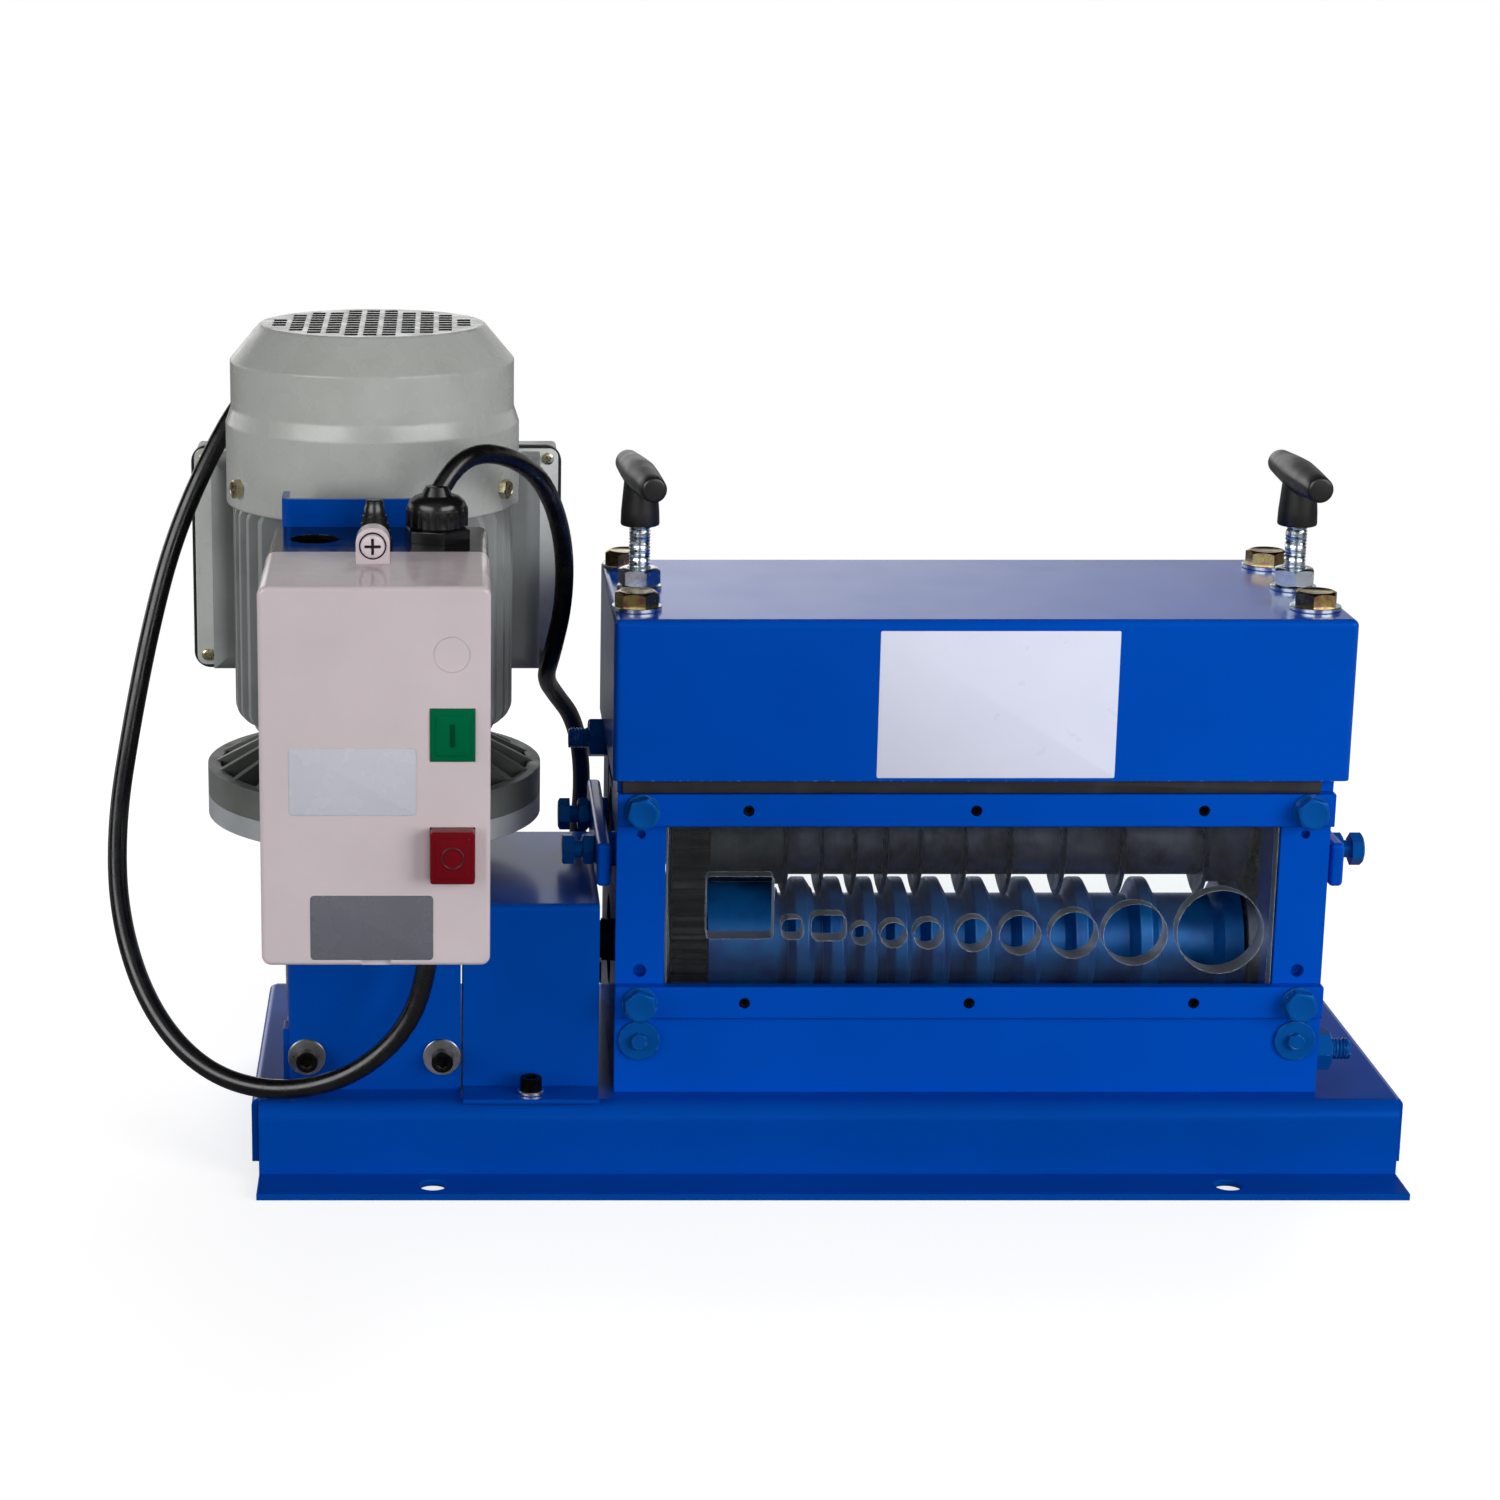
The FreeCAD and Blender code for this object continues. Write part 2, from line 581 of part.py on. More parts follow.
def make_front_fasteners():
    """Painted bolts and washers of the bars, and the apron's washered screws."""
    pieces = M8_BOLTS
    for x in (LEFT_POST, RIGHT_POST):
        for z in BAR_BOLT_Z:
            face = "head_front - bar_thickness - m8_washer_gauge"
            washer = ring("y", x, face, z, "m8_washer_radius", "m8_radius", "m8_washer_gauge")
            start = face + " - m8_height"
            head = hexagon("y", x, start, z, "m8_flats", "m8_height")
            length = "bar_thickness + m8_washer_gauge + m8_height + hood_bolt_depth"
            pieces.append(washer)
            pieces.append(fuse(head, rod("y", x, start, z, "m8_radius", length)))
        face = "head_front - apron_gauge - m8_washer_gauge"
        wide = "m8_washer_radius + 1.3"
        washer = ring("y", x, face, APRON_SCREW_Z, wide, "m8_radius / 2", "m8_washer_gauge")
        start = face + " - m8_height / 2"
        head = cone("y", x, start, APRON_SCREW_Z, "m8_radius * 0.8", "m8_radius", "m8_height / 2")
        length = "apron_gauge + m8_washer_gauge + m8_height / 2 + side_thickness / 2"
        pieces.append(washer)
        pieces.append(fuse(head, rod("y", x, start, APRON_SCREW_Z, "m8_radius / 2", length)))


def make_tie_rods():
    """Threaded rods that draw the two side plates together, with their nuts."""
    pieces = []
    for z, y, through in tie_rods():
        left = "head_left - tie_rod_stick_out" if through else "head_left"
        length = "%s + tie_rod_stick_out - (%s)" % (HEAD_RIGHT, left)
        pieces.append(rod("x", left, y, z, "tie_rod_radius", length))
        starts = [HEAD_RIGHT]
        if through:
            starts.append("head_left - m10_height - m10_washer_gauge")
        for start in starts:
            nut = hexagon("x", start, y, z, "m10_flats", "m10_height + m10_washer_gauge")
            hole = rod("x", start, y, z, "tie_rod_radius", "m10_height + m10_washer_gauge")
            pieces.append(cut(nut, hole))
    node(group(*pieces), "tie_rods")


def make_hood():
    """Folded sheet cover over the cutter, open below, with holes for bolts and press screws."""
    body = new_body("hood")
    left = "head_left - hood_left_gap - hood_gauge"
    right = HEAD_RIGHT + " + hood_right_gap + hood_gauge"
    front = "head_front - hood_front_gap - hood_gauge"
    back = HEAD_BACK + " + hood_back_gap + hood_gauge"
    low = HOOD_TOP + " - hood_drop"
    pad(body, rectangle(sketch_on(body, "XY", low), left, front, right, back), "hood_drop")
    fillet(
        body,
        "hood_bend",
        lambda e: along(e, "z") or min(v.Z for v in e.Vertexes) > number(HOOD_TOP) - 0.01,
    )
    inside = rectangle(
        sketch_on(body, "XY", low),
        left + " + hood_gauge", front + " + hood_gauge",
        right + " - hood_gauge", back + " - hood_gauge",
    )
    pocket(body, inside, "hood_drop - hood_gauge")
    holes = sketch_on(body, "XY", HOOD_TOP)
    for x in HOOD_BOLT_X:
        for y in HOOD_BOLT_Y:
            circle(holes, x, y, "m10_radius")
    for x in (LEFT_PRESS, RIGHT_PRESS):
        circle(holes, x, "axis_y", "press_radius + 1")
    pocket(body, holes, "2 * hood_gauge", toward=-1)
    node(body, "hood")


def make_hood_fasteners():
    """Bolts of the hood, and the washers and lock nuts that lie on it."""
    bolts = []
    plated = PLATED
    for x in HOOD_BOLT_X:
        for y in HOOD_BOLT_Y:
            plated.append(ring("z", x, y, HOOD_TOP, "m10_washer_radius", "m10_radius", "m10_washer_gauge"))
            low = HOOD_TOP + " + m10_washer_gauge"
            head = hexagon("z", x, y, low, "m10_flats", "m10_height")
            dome = cone("z", x, y, low, "m10_flats", "m10_flats * 0.42", "m10_height + m10_flats * 0.006")
            rim = doc.addObject("Part::MultiCommon", "Crown")
            rim.Shapes = [head, dome]
            depth = "hood_bolt_depth + hood_gauge + m10_washer_gauge"
            shank = rod("z", x, y, SIDE_TOP + " - hood_bolt_depth", "m10_radius", depth + " + 1")
            bolts.append(fuse(rim, shank))
    for x in (LEFT_PRESS, RIGHT_PRESS):
        hole = "press_radius + press_clear"
        plated.append(ring("z", x, "axis_y", HOOD_TOP, "m10_washer_radius", hole, "m10_washer_gauge"))
        low = HOOD_TOP + " + m10_washer_gauge"
        nut = hexagon("z", x, "axis_y", low, "m10_flats", "m10_height + 1.4")
        plated.append(cut(nut, rod("z", x, "axis_y", low, hole, "m10_height + 1.4")))
    node(group(*bolts), "hood_bolts")


# Feed plate
def make_feed_plate():
    """Clear plate behind the bars with one square and ten round or oval channels."""
    body = new_body("feed_plate")
    low = DECK + " + lower_bar_rise + bar_height - plate_lap"
    high = DECK + " + upper_bar_rise + plate_lap"
    sketch = rectangle(
        sketch_on(body, "XZ", "head_front"),
        LEFT_INSIDE + " + plate_side_gap", low, RIGHT_INSIDE + " - plate_side_gap", high,
    )
    centre = DECK + " + square_rise"
    rectangle(
        sketch,
        "square_x - square_width / 2", centre + " - square_height / 2",
        "square_x + square_width / 2", centre + " + square_height / 2",
    )
    for i in range(3, len(CHANNELS) + 1):
        rise = DECK + " + channel_rise_of_%d" % i
        circle(sketch, "channel_x_of_%d" % i, rise, "channel_width_of_%d / 2" % i)
    pad(body, sketch, "plate_thickness")
    for i, high in ((1, "small_oval_height"), (2, "oval_height")):
        slot = sketch_on(body, "XZ", "head_front")
        x = "channel_x_of_%d" % i
        wide = "channel_width_of_%d / 2" % i
        low = DECK + " + channel_rise_of_%d - %s / 2" % (i, high)
        rectangle(slot, x + " - " + wide, low, x + " + " + wide, low + " + " + high)
        pocket(body, slot, "plate_thickness")
        fillet(
            body,
            "oval_corner",
            lambda e: along(e, "y") and near(abs(e.Vertexes[0].X - number(x)), wide),
        )
    fillet(
        body,
        "plate_chamfer * 4",
        lambda e: along(e, "y") and near(abs(e.Vertexes[0].X - number("square_x")), "square_width / 2"),
    )
    screws = sketch_on(body, "XZ", "head_front")
    for x in SET_SCREW_X:
        for z in BAR_BOLT_Z:
            circle(screws, x, z, "set_screw_radius")
    pocket(body, screws, "plate_thickness * 2 / 3")
    node(body, "feed_plate")


def make_set_screws():
    """Socket set screws that hold the feed plate."""
    pieces = BLACK_SCREWS
    for x in SET_SCREW_X:
        for z in BAR_BOLT_Z:
            start = "head_front - bar_thickness + 1"
            length = "bar_thickness - 1 + plate_thickness * 2 / 3"
            screw = rod("y", x, start, z, "set_screw_radius", length)
            socket = hexagon("y", x, start, z, "set_screw_radius", "bar_thickness / 2")
            pieces.append(cut(screw, socket))


# Rollers
def make_shafts():
    """Feed shaft below, driven by the reducer, and cutter shaft above it."""
    right = HEAD_RIGHT + " - shaft_end_gap"
    body_left = LEFT_INSIDE + " + cap_thickness + 1"
    body_right = RIGHT_INSIDE + " - cap_thickness - 0.5"
    low_left = "motor_x - reducer_half_length + 6"
    feed = fuse(
        rod("x", low_left, "axis_y", FEED_Z, "output_radius", "%s - (%s)" % (right, low_left)),
        rod("x", "head_left - cover_head_gap / 2", "axis_y", FEED_Z, "journal_radius",
            "%s - (head_left - cover_head_gap / 2)" % right),
        rod("x", body_left, "axis_y", FEED_Z, "shaft_radius", "%s - (%s)" % (body_right, body_left)),
    )
    node(feed, "feed_shaft")
    left = "head_left + shaft_end_gap"
    cutter = fuse(
        rod("x", left, "axis_y", CUTTER_Z, "journal_radius", "%s - (%s)" % (right, left)),
        rod("x", LEFT_INSIDE + " + 1", "axis_y", CUTTER_Z, "shaft_radius",
            "%s - 1 - (%s + 1)" % (RIGHT_INSIDE, LEFT_INSIDE)),
    )
    node(cutter, "cutter_shaft")


def ridge(i):
    """Foot, crest and foot, from left to right, of the ridge between blade i and the next."""
    blade = "channel_x_of_%d" % i
    after = "channel_x_of_%d" % (i + 1)
    keep_off = "(blade_slot + blade_gap) / 2"
    middle = "(%s + ridge_start + ridge_share * (%s - %s))" % (blade, after, blade)
    left = middle + " - ridge_width / 2"
    right = middle + " + ridge_width / 2"
    left_foot = left + " - ridge_slope"
    right_foot = right + " + ridge_slope"
    if number(left_foot) < number(blade + " + " + keep_off):
        left_foot = blade + " + " + keep_off
    if number(right_foot) > number(after + " - " + keep_off):
        right_foot = after + " - " + keep_off
    return left_foot, left, right, right_foot


def make_grooved_roller():
    """Sleeve with one groove under each blade and a plain drum at its left end."""
    floor = "(%s - blade_radius - blade_gap)" % AXLES
    crest = "(%s - roller_radius - ridge_gap)" % AXLES
    drum = "(%s - drum_radius - drum_gap)" % AXLES
    shoulder = "(%s - collar_radius - drum_gap)" % AXLES
    drum_end = "channel_x_of_1 - ridge_slope"
    start = GEAR_RIGHT + " + block_clear"
    points = [("shaft_radius", start), (drum, start), (drum, drum_end)]
    for i in range(1, len(CHANNELS) + 1):
        shallow = i < 3
        level = floor + " + shallow_step" if shallow else floor
        points.append((level, points[-1][1]))
        if shallow:
            points.append((level, "channel_x_of_%d - blade_slot / 2" % i))
            points.append((floor, "channel_x_of_%d - blade_slot / 2" % i))
            points.append((floor, "channel_x_of_%d + blade_slot / 2" % i))
            points.append((level, "channel_x_of_%d + blade_slot / 2" % i))
        if i < len(CHANNELS):
            left_foot, left, right, right_foot = ridge(i)
            points += [(level, left_foot), (crest, left), (crest, right), (None, right_foot)]
    last = "channel_x_of_%d + shoulder_start" % len(CHANNELS)
    points += [(floor, last + " - ridge_slope"), (shoulder, last), (shoulder, ROLLER_RIGHT)]
    points.append(("shaft_radius", ROLLER_RIGHT))
    corners = [point for point in points if point[0] is not None]
    body = new_body("grooved_roller")
    revolve(body, corners)
    fillet(body, "ridge_round", lambda e: hasattr(e.Curve, "Radius") and near(e.Curve.Radius, crest))
    body.Placement.Rotation = TURNS["x"]
    place(body, 0, "axis_y", FEED_Z)
    node(body, "grooved_roller")


def make_cutter_stack():
    """Blades, the plain spacers between them, the knurled drum and the end collar."""
    blades = []
    spacers = []
    half = "blade_thickness / 2"
    for i in range(1, len(CHANNELS) + 1):
        x = "channel_x_of_%d" % i
        inner = "blade_radius - blade_bevel"
        disc = fuse(
            cone("x", x + " - " + half, "axis_y", CUTTER_Z, inner, "blade_radius", half),
            cone("x", x, "axis_y", CUTTER_Z, "blade_radius", inner, half),
        )
        bore = rod("x", x + " - " + half, "axis_y", CUTTER_Z, "shaft_radius", "blade_thickness")
        blades.append(cut(disc, bore))
        if i < len(CHANNELS):
            start = x + " + " + half
            length = "channel_x_of_%d - %s - (%s)" % (i + 1, half, start)
            spacers.append(ring("x", start, "axis_y", CUTTER_Z, "roller_radius", "shaft_radius", length))
    node(group(*blades), "cutter_blades")
    start = "channel_x_of_%d + %s" % (len(CHANNELS), half)
    length = "%s - (%s)" % (ROLLER_RIGHT, start)
    spacers.append(ring("x", start, "axis_y", CUTTER_Z, "collar_radius", "shaft_radius", length))
    node(group(*spacers), "blade_spacers")
    start = GEAR_RIGHT + " + block_clear"
    length = "channel_x_of_1 - %s - (%s)" % (half, start)
    node(ring("x", start, "axis_y", CUTTER_Z, "drum_radius", "shaft_radius", length), "knurled_drum")


def involute(angle):
    """Involute function of a pressure angle."""
    return math.tan(angle) - angle


def make_gear(label, axis_z, tooth_up):
    """Spur gear with involute flanks, a tooth or a gap at its top."""
    module = number("gear_module")
    teeth = int(round(number("gear_teeth")))
    pitch = module * teeth / 2
    pressure = math.radians(20)
    base = pitch * math.cos(pressure)
    tip = pitch + module
    root = pitch - module * 1.25
    flat = math.pi / 2 / teeth - number("gear_play") / pitch
    steps = 4
    flank = []
    for i in range(steps + 1):
        radius = base + (tip - base) * i / steps
        here = math.acos(min(1, base / radius))
        flank.append((radius, flat + involute(pressure) - involute(here)))
    outline_points = []
    for tooth in range(teeth):
        middle = 2 * math.pi * (tooth + (0 if tooth_up else 0.5)) / teeth
        sides = [(root, middle - flank[0][1])]
        sides += [(radius, middle - half) for radius, half in flank]
        sides += [(radius, middle + half) for radius, half in flank[::-1]]
        sides.append((root, middle + flank[0][1]))
        outline_points += sides
    x = number(GEAR_LEFT)
    y = number("axis_y")
    z = number(axis_z)
    ends = [
        FreeCAD.Vector(x, y + radius * math.sin(angle), z + radius * math.cos(angle))
        for radius, angle in outline_points
    ]
    face = Part.Face(Part.makePolygon(ends + ends[:1]))
    blank = face.extrude(FreeCAD.Vector(number("gear_width"), 0, 0))
    bore = Part.makeCylinder(
        number("shaft_radius"), number("gear_width"), FreeCAD.Vector(x, y, z), FreeCAD.Vector(1, 0, 0)
    )
    item = doc.addObject("Part::Feature", label)
    item.Shape = blank.cut(bore)
    node(item, label)


def ball_bearing(x, z):
    """Outer ring with its balls, and the inner ring, of one bearing."""
    inner = "journal_radius"
    bore = "bearing_radius - race_thickness"
    outer_ring = ring("x", x, "axis_y", z, "bearing_radius", bore, "bearing_width")
    inner_ring = ring("x", x, "axis_y", z, inner + " + race_thickness", inner, "bearing_width")
    count = int(round(number("ball_count")))
    path = "(bearing_radius - race_thickness - ball_radius + running_clear * 3)"
    balls = []
    for i in range(count):
        angle = 360.0 * i / count
        ball = bind(doc.addObject("Part::Sphere", "Ball"), Radius="ball_radius")
        place(
            ball,
            x + " + bearing_width / 2",
            "axis_y + %s * sin(%.4f)" % (path, angle),
            "%s + %s * cos(%.4f)" % (z, path, angle),
        )
        balls.append(ball)
    return fuse(outer_ring, *balls), inner_ring


def make_bearings():
    """Ball bearings of both shafts, their caps and the sliding blocks."""
    lefts = (
        LEFT_POST + " - bearing_width / 2",
        RIGHT_POST + " - bearing_width / 2",
    )
    for label, z in (("feed", FEED_Z), ("cutter", CUTTER_Z)):
        outers = []
        inners = []
        for x in lefts:
            outer, inner = ball_bearing(x, z)
            outers.append(outer)
            inners.append(inner)
        node(group(*outers), label + "_bearings")
        node(group(*inners), label + "_inner_rings")
    caps = []
    for x in (LEFT_INSIDE, RIGHT_INSIDE + " - cap_thickness"):
        disc = ring("x", x, "axis_y", FEED_Z, "cap_radius", "shaft_radius + 1", "cap_thickness")
        heads = [
            rod(
                "x", x,
                "axis_y + cap_screw_circle * sin(%d)" % angle,
                "%s + cap_screw_circle * cos(%d)" % (FEED_Z, angle),
                "m8_radius / 2", "cap_thickness / 2",
            )
            for angle in (45, 135, 225, 315)
        ]
        caps.append(cut(disc, *heads))
    node(group(*caps), "bearing_caps")


def make_blocks():
    """Sliding blocks of the cutter shaft, with pockets for the lift springs."""
    blocks = []
    for left in ("head_left", RIGHT_INSIDE):
        start = left + " + block_end_clear"
        low = CUTTER_Z + " - " + BLOCK_HALF
        wide = "side_thickness - 2 * block_end_clear"
        deep = "2 * block_half_width"
        block = box(start, "axis_y - block_half_width", low, wide, deep, "2 * " + BLOCK_HALF)
        tools = [rod("x", start, "axis_y", CUTTER_Z, "bearing_radius", wide)]
        for y in SPRING_Y:
            middle = left + " + side_thickness / 2"
            tools.append(rod("z", middle, y, low, "spring_radius + block_clear", "spring_above"))
        blocks.append(cut(block, *tools))
    node(group(*blocks), "bearing_blocks")


def make_springs():
    """Small coil springs under each block that lift the cutter shaft."""
    springs = []
    height = number("spring_below + spring_above + block_end_clear - spring_wire")
    turn = number("spring_turns")
    middle_radius = number("spring_radius - spring_wire / 2")
    low = number(CUTTER_Z + " - %s - block_end_clear - spring_below + spring_wire / 2" % BLOCK_HALF)
    for x in (LEFT_POST, RIGHT_POST):
        for y in SPRING_Y:
            helix = Part.makeHelix(height / turn, height, middle_radius)
            start = FreeCAD.Vector(middle_radius, 0, 0)
            wire = Part.Wire(
                Part.makeCircle(number("spring_wire / 2"), start, FreeCAD.Vector(0, 1, 0))
            )
            coil = Part.Wire(helix.Edges).makePipeShell([wire], True, True)
            coil.translate(FreeCAD.Vector(number(x), number(y), low))
            springs.append(coil)
    item = doc.addObject("Part::Feature", "Springs")
    item.Shape = Part.makeCompound(springs)
    node(item, "block_springs")


def make_keepers():
    """Bars outside the side plates that hold the blocks in their windows, with bolts."""
    bars = []
    bolts = M8_BOLTS
    bolt_out = "keeper_thickness + 2 * m8_height + keeper_bolt_gap"
    for side in ("left", "right"):
        left = side == "left"
        start = "head_left - keeper_thickness" if left else HEAD_RIGHT
        face = start if left else HEAD_RIGHT + " + keeper_standoff"
        gauge = "keeper_thickness - keeper_standoff"
        front = "axis_y - keeper_half_length"
        body = new_body(side + "_keeper")
        sketch = sketch_on(body, "XY", CUTTER_Z + " - keeper_height / 2")
        rectangle(sketch, face, front, face + " + " + gauge, front + " + 2 * keeper_half_length")
        pad(body, sketch, "keeper_height")
        fillet(body, "keeper_corner", lambda e: True)
        pads = []
        holes = []
        for y in KEEPER_BOLT_Y:
            pads.append(rod("x", start, y, CUTTER_Z, "m8_washer_radius", "keeper_thickness"))
            holes.append(rod("x", start, y, CUTTER_Z, "m8_radius", "keeper_thickness"))
        bars.append(cut(fuse(body, *pads), *holes))
        if left:
            nut_start = "head_left - keeper_thickness - m8_height"
            head_start = shank_start = "head_left - (%s)" % bolt_out
        else:
            nut_start = HEAD_RIGHT + " + keeper_thickness"
            head_start = HEAD_RIGHT + " + %s - m8_height" % bolt_out
            shank_start = HEAD_RIGHT + " - " + KEEPER_REACH
        for y in KEEPER_BOLT_Y:
            nut = hexagon("x", nut_start, y, CUTTER_Z, "m8_flats", "m8_height")
            bolts.append(cut(nut, rod("x", nut_start, y, CUTTER_Z, "m8_radius", "m8_height")))
            head = hexagon("x", head_start, y, CUTTER_Z, "m8_flats", "m8_height")
            shank = rod("x", shank_start, y, CUTTER_Z, "m8_radius", "%s + %s" % (bolt_out, KEEPER_REACH))
            bolts.append(fuse(head, shank))
    node(group(*bars), "block_keeper_bars")
    node(group(*bolts), "m8_bolts")


def make_press_screws():
    """Screws that push the blocks down, each with a tee handle."""
    for side, x in (("left", LEFT_PRESS), ("right", RIGHT_PRESS)):
        low = CUTTER_Z + " + %s + block_end_clear" % BLOCK_HALF
        hub_low = HOOD_TOP + " + handle_rise"
        length = "%s + handle_bar_rise / 2 - (%s)" % (hub_low, low)
        node(rod("z", x, "axis_y", low, "press_radius", length), side + "_press_screw")
        bar = hub_low + " + handle_bar_rise"
        half = "handle_half_length"
        hub = fuse(
            cone("z", 0, 0, hub_low, "handle_hub_radius", "handle_mid_radius - 0.3", "handle_bar_rise"),
            cone("y", 0, "-" + half, bar, "handle_end_radius", "handle_mid_radius", half),
            cone("y", 0, 0, bar, "handle_mid_radius", "handle_end_radius", half),
        )
        bore = rod("z", 0, 0, hub_low, "press_radius", "handle_bar_rise / 2")
        handle = place(cut(hub, bore), x, "axis_y", 0)
        turn = number("handle_turn") if side == "left" else 0
        handle.Placement.Rotation = FreeCAD.Rotation(FreeCAD.Vector(0, 0, 1), turn)
        node(handle, side + "_tee_handle")


# Reducer and cover
INPUT_LOW = "(deck_height + reducer_rise)"
FLANGE_LOW = "(deck_height + reducer_rise + input_flange_height)"
FRAME_LOW = "(deck_height + reducer_rise + input_flange_height + flange_height + neck_height)"
COWL_LOW = "(deck_height + reducer_rise + input_flange_height + flange_height + neck_height + frame_height)"


def make_seat():
    """Block under the reducer whose front lip carries the starter bracket."""
    left = "motor_x - reducer_half_length"
    front = "head_front + bracket_gauge"
    wide = "2 * reducer_half_length"
    block = fuse(
        box(left, front, DECK, wide, "seat_depth", "seat_height"),
        box(left, front, DECK, wide, "seat_lip_depth", "seat_lip"),
    )
    tools = []
    for x in BRACKET_BOLT_X:
        tools.append(rod("y", x, front, DECK + " + bracket_bolt_rise", "m8_radius", "seat_lip_depth"))
    for x, y in DECK_BOLTS[4:]:
        tools.append(rod("z", x, y, DECK, "m8_radius", "seat_height - 1.5"))
    node(cut(block, *tools), "reducer_seat")


BRACKET_BOLT_X = ("bracket_x - bracket_bolt_pitch / 2", "bracket_x + bracket_bolt_pitch / 2")


def make_reducer():
    """Cast worm reducer housing: a level barrel for the wheel and an upright tower for the worm."""
    seat = DECK + " + seat_height"
    left = "motor_x - reducer_half_length"
    wide = "2 * reducer_half_length"
    foot_depth = "(axis_y + worm_distance + tower_radius) - (axis_y - barrel_radius)"
    solid = fuse(
        rod("x", left + " + 6", "axis_y", FEED_Z, "barrel_radius", wide + " - 12"),
        rod("x", left, "axis_y", FEED_Z, "barrel_radius * 0.75", wide),
        rod("z", "motor_x", MOTOR_Y, seat, "tower_radius", "reducer_rise - seat_height"),
        cone("z", "motor_x", MOTOR_Y, INPUT_LOW + " - 16", "tower_radius", "flange_radius * 0.8", 16),
        rod("z", "motor_x", MOTOR_Y, INPUT_LOW, "flange_radius", "input_flange_height"),
        box(left, "axis_y - barrel_radius", seat, wide, foot_depth, 9),
    )
    wheel_left = "motor_x - wheel_width / 2 - 1"
    tools = [
        rod("x", wheel_left, "axis_y", FEED_Z, "wheel_radius + 3", "wheel_width + 2"),
        rod("x", left + " + 3", "axis_y", FEED_Z, "hub_radius + 6", "15"),
        rod("x", left + " + %s - 18" % wide, "axis_y", FEED_Z, "hub_radius + 6", "18"),
        rod("x", left + " + 3", "axis_y", FEED_Z, "hub_radius + 1", wide),
        rod("z", "motor_x", MOTOR_Y, DECK + " + seat_height + 14", "worm_radius + 2", "reducer_rise"),
        rod("z", "motor_x", MOTOR_Y, INPUT_LOW + " - 8", "hub_radius + 2.5", "input_flange_height + 8"),
    ]
    node(cut(solid, *tools), "reducer_housing")
    hub_hole = "hub_radius + running_clear"
    shaft_hole = "motor_shaft_radius + running_clear"
    worm_low = DECK + " + seat_height + 14"
    MOTOR_BEARINGS.extend([
        ring("x", left + " + 6", "axis_y", FEED_Z, "hub_radius + 6", hub_hole, 10),
        ring("x", left + " + %s - 16" % wide, "axis_y", FEED_Z, "hub_radius + 6", hub_hole, 10),
        ring("z", "motor_x", MOTOR_Y, worm_low, "worm_radius + 2", shaft_hole, 8),
        ring("z", "motor_x", MOTOR_Y, INPUT_LOW + " - 8", "hub_radius + 2.5", shaft_hole, 9),
    ])
    wheel = fuse(
        rod("x", left + " + 5", "axis_y", FEED_Z, "hub_radius", wide + " - 7"),
        rod("x", "motor_x - wheel_width / 2", "axis_y", FEED_Z, "wheel_radius", "wheel_width"),
    )
    count = 30
    tools = [rod("x", left, "axis_y", FEED_Z, "output_radius", wide)]
    for i in range(count):
        angle = 360.0 * i / count
        tools.append(rod(
            "x", "motor_x - wheel_width / 2",
            "axis_y + wheel_radius * sin(%.3f)" % angle,
            "%s + wheel_radius * cos(%.3f)" % (FEED_Z, angle),
            "1.1", "wheel_width",
        ))
    node(cut(wheel, *tools), "worm_wheel")


def make_drive_cover():
    """Folded sheet over the shaft between the reducer and the head, with a front foot."""
    body = new_body("drive_cover")
    left = "motor_x + reducer_half_length + cover_gap"
    length = "head_left - cover_head_gap - (%s)" % left
    back = "head_front + cover_depth"
    inner_back = back + " - cover_gauge"
    top = DECK + " + cover_rise"
    profile = [
        ("head_front - cover_foot", DECK), ("head_front + cover_gauge", DECK),
        ("head_front + cover_gauge", top + " - cover_gauge"), (inner_back, top + " - cover_gauge"),
        (inner_back, DECK), (back, DECK), (back, top), ("head_front", top),
        ("head_front", DECK + " + cover_gauge"), ("head_front - cover_foot", DECK + " + cover_gauge"),
    ]
    pad(body, outline(sketch_on(body, "YZ", left), profile), length)
    fillet(body, "cover_bend", lambda e: along(e, "x") and near(e.Vertexes[0].Z, top))
    hole = circle(sketch_on(body, "XY", DECK), COVER_SCREW[0], COVER_SCREW[1], "m8_radius * 0.75")
    pocket(body, hole, "2 * cover_gauge")
    node(body, "drive_cover")


COVER_SCREW = (
    "(motor_x + reducer_half_length + cover_gap + head_left - cover_head_gap) / 2",
    "head_front - cover_foot / 2",
)


def make_socket_screws():
    """Black socket screws of the bracket and of the cover's foot, and their bright washers."""
    screws = BLACK_SCREWS
    washers = PLATED
    for x in BRACKET_BOLT_X:
        z = DECK + " + bracket_bolt_rise"
        start = "head_front - m8_washer_gauge - m8_radius * 2"
        head = rod("y", x, start, z, "m8_flats / 2", "m8_radius * 2")
        length = "m8_radius * 2 + m8_washer_gauge + bracket_gauge + seat_lip_depth"
        shank = rod("y", x, start, z, "m8_radius", length)
        screws.append(cut(fuse(head, shank), hexagon("y", x, start, z, "m8_radius * 1.5", "m8_radius")))
        face = "head_front - m8_washer_gauge"
        wide = "m8_washer_radius * 1.25"
        washers.append(ring("y", x, face, z, wide, "m8_radius", "m8_washer_gauge"))
    x, y = COVER_SCREW
    foot = DECK + " + cover_gauge"
    washers.append(ring("z", x, y, foot, "m8_washer_radius * 0.75", "m8_radius * 0.75", "m8_washer_gauge"))
    low = foot + " + m8_washer_gauge"
    head = rod("z", x, y, low, "m8_flats * 0.38", "m8_radius * 1.5")
    shank = rod("z", x, y, DECK, "m8_radius * 0.75", "cover_gauge + m8_washer_gauge + m8_radius")
    socket = hexagon("z", x, y, low + " + m8_radius / 2", "m8_radius", "m8_radius")
    screws.append(cut(fuse(head, shank), socket))
    node(group(*screws), "socket_screws")
    node(group(*washers), "plated_nuts_and_washers")


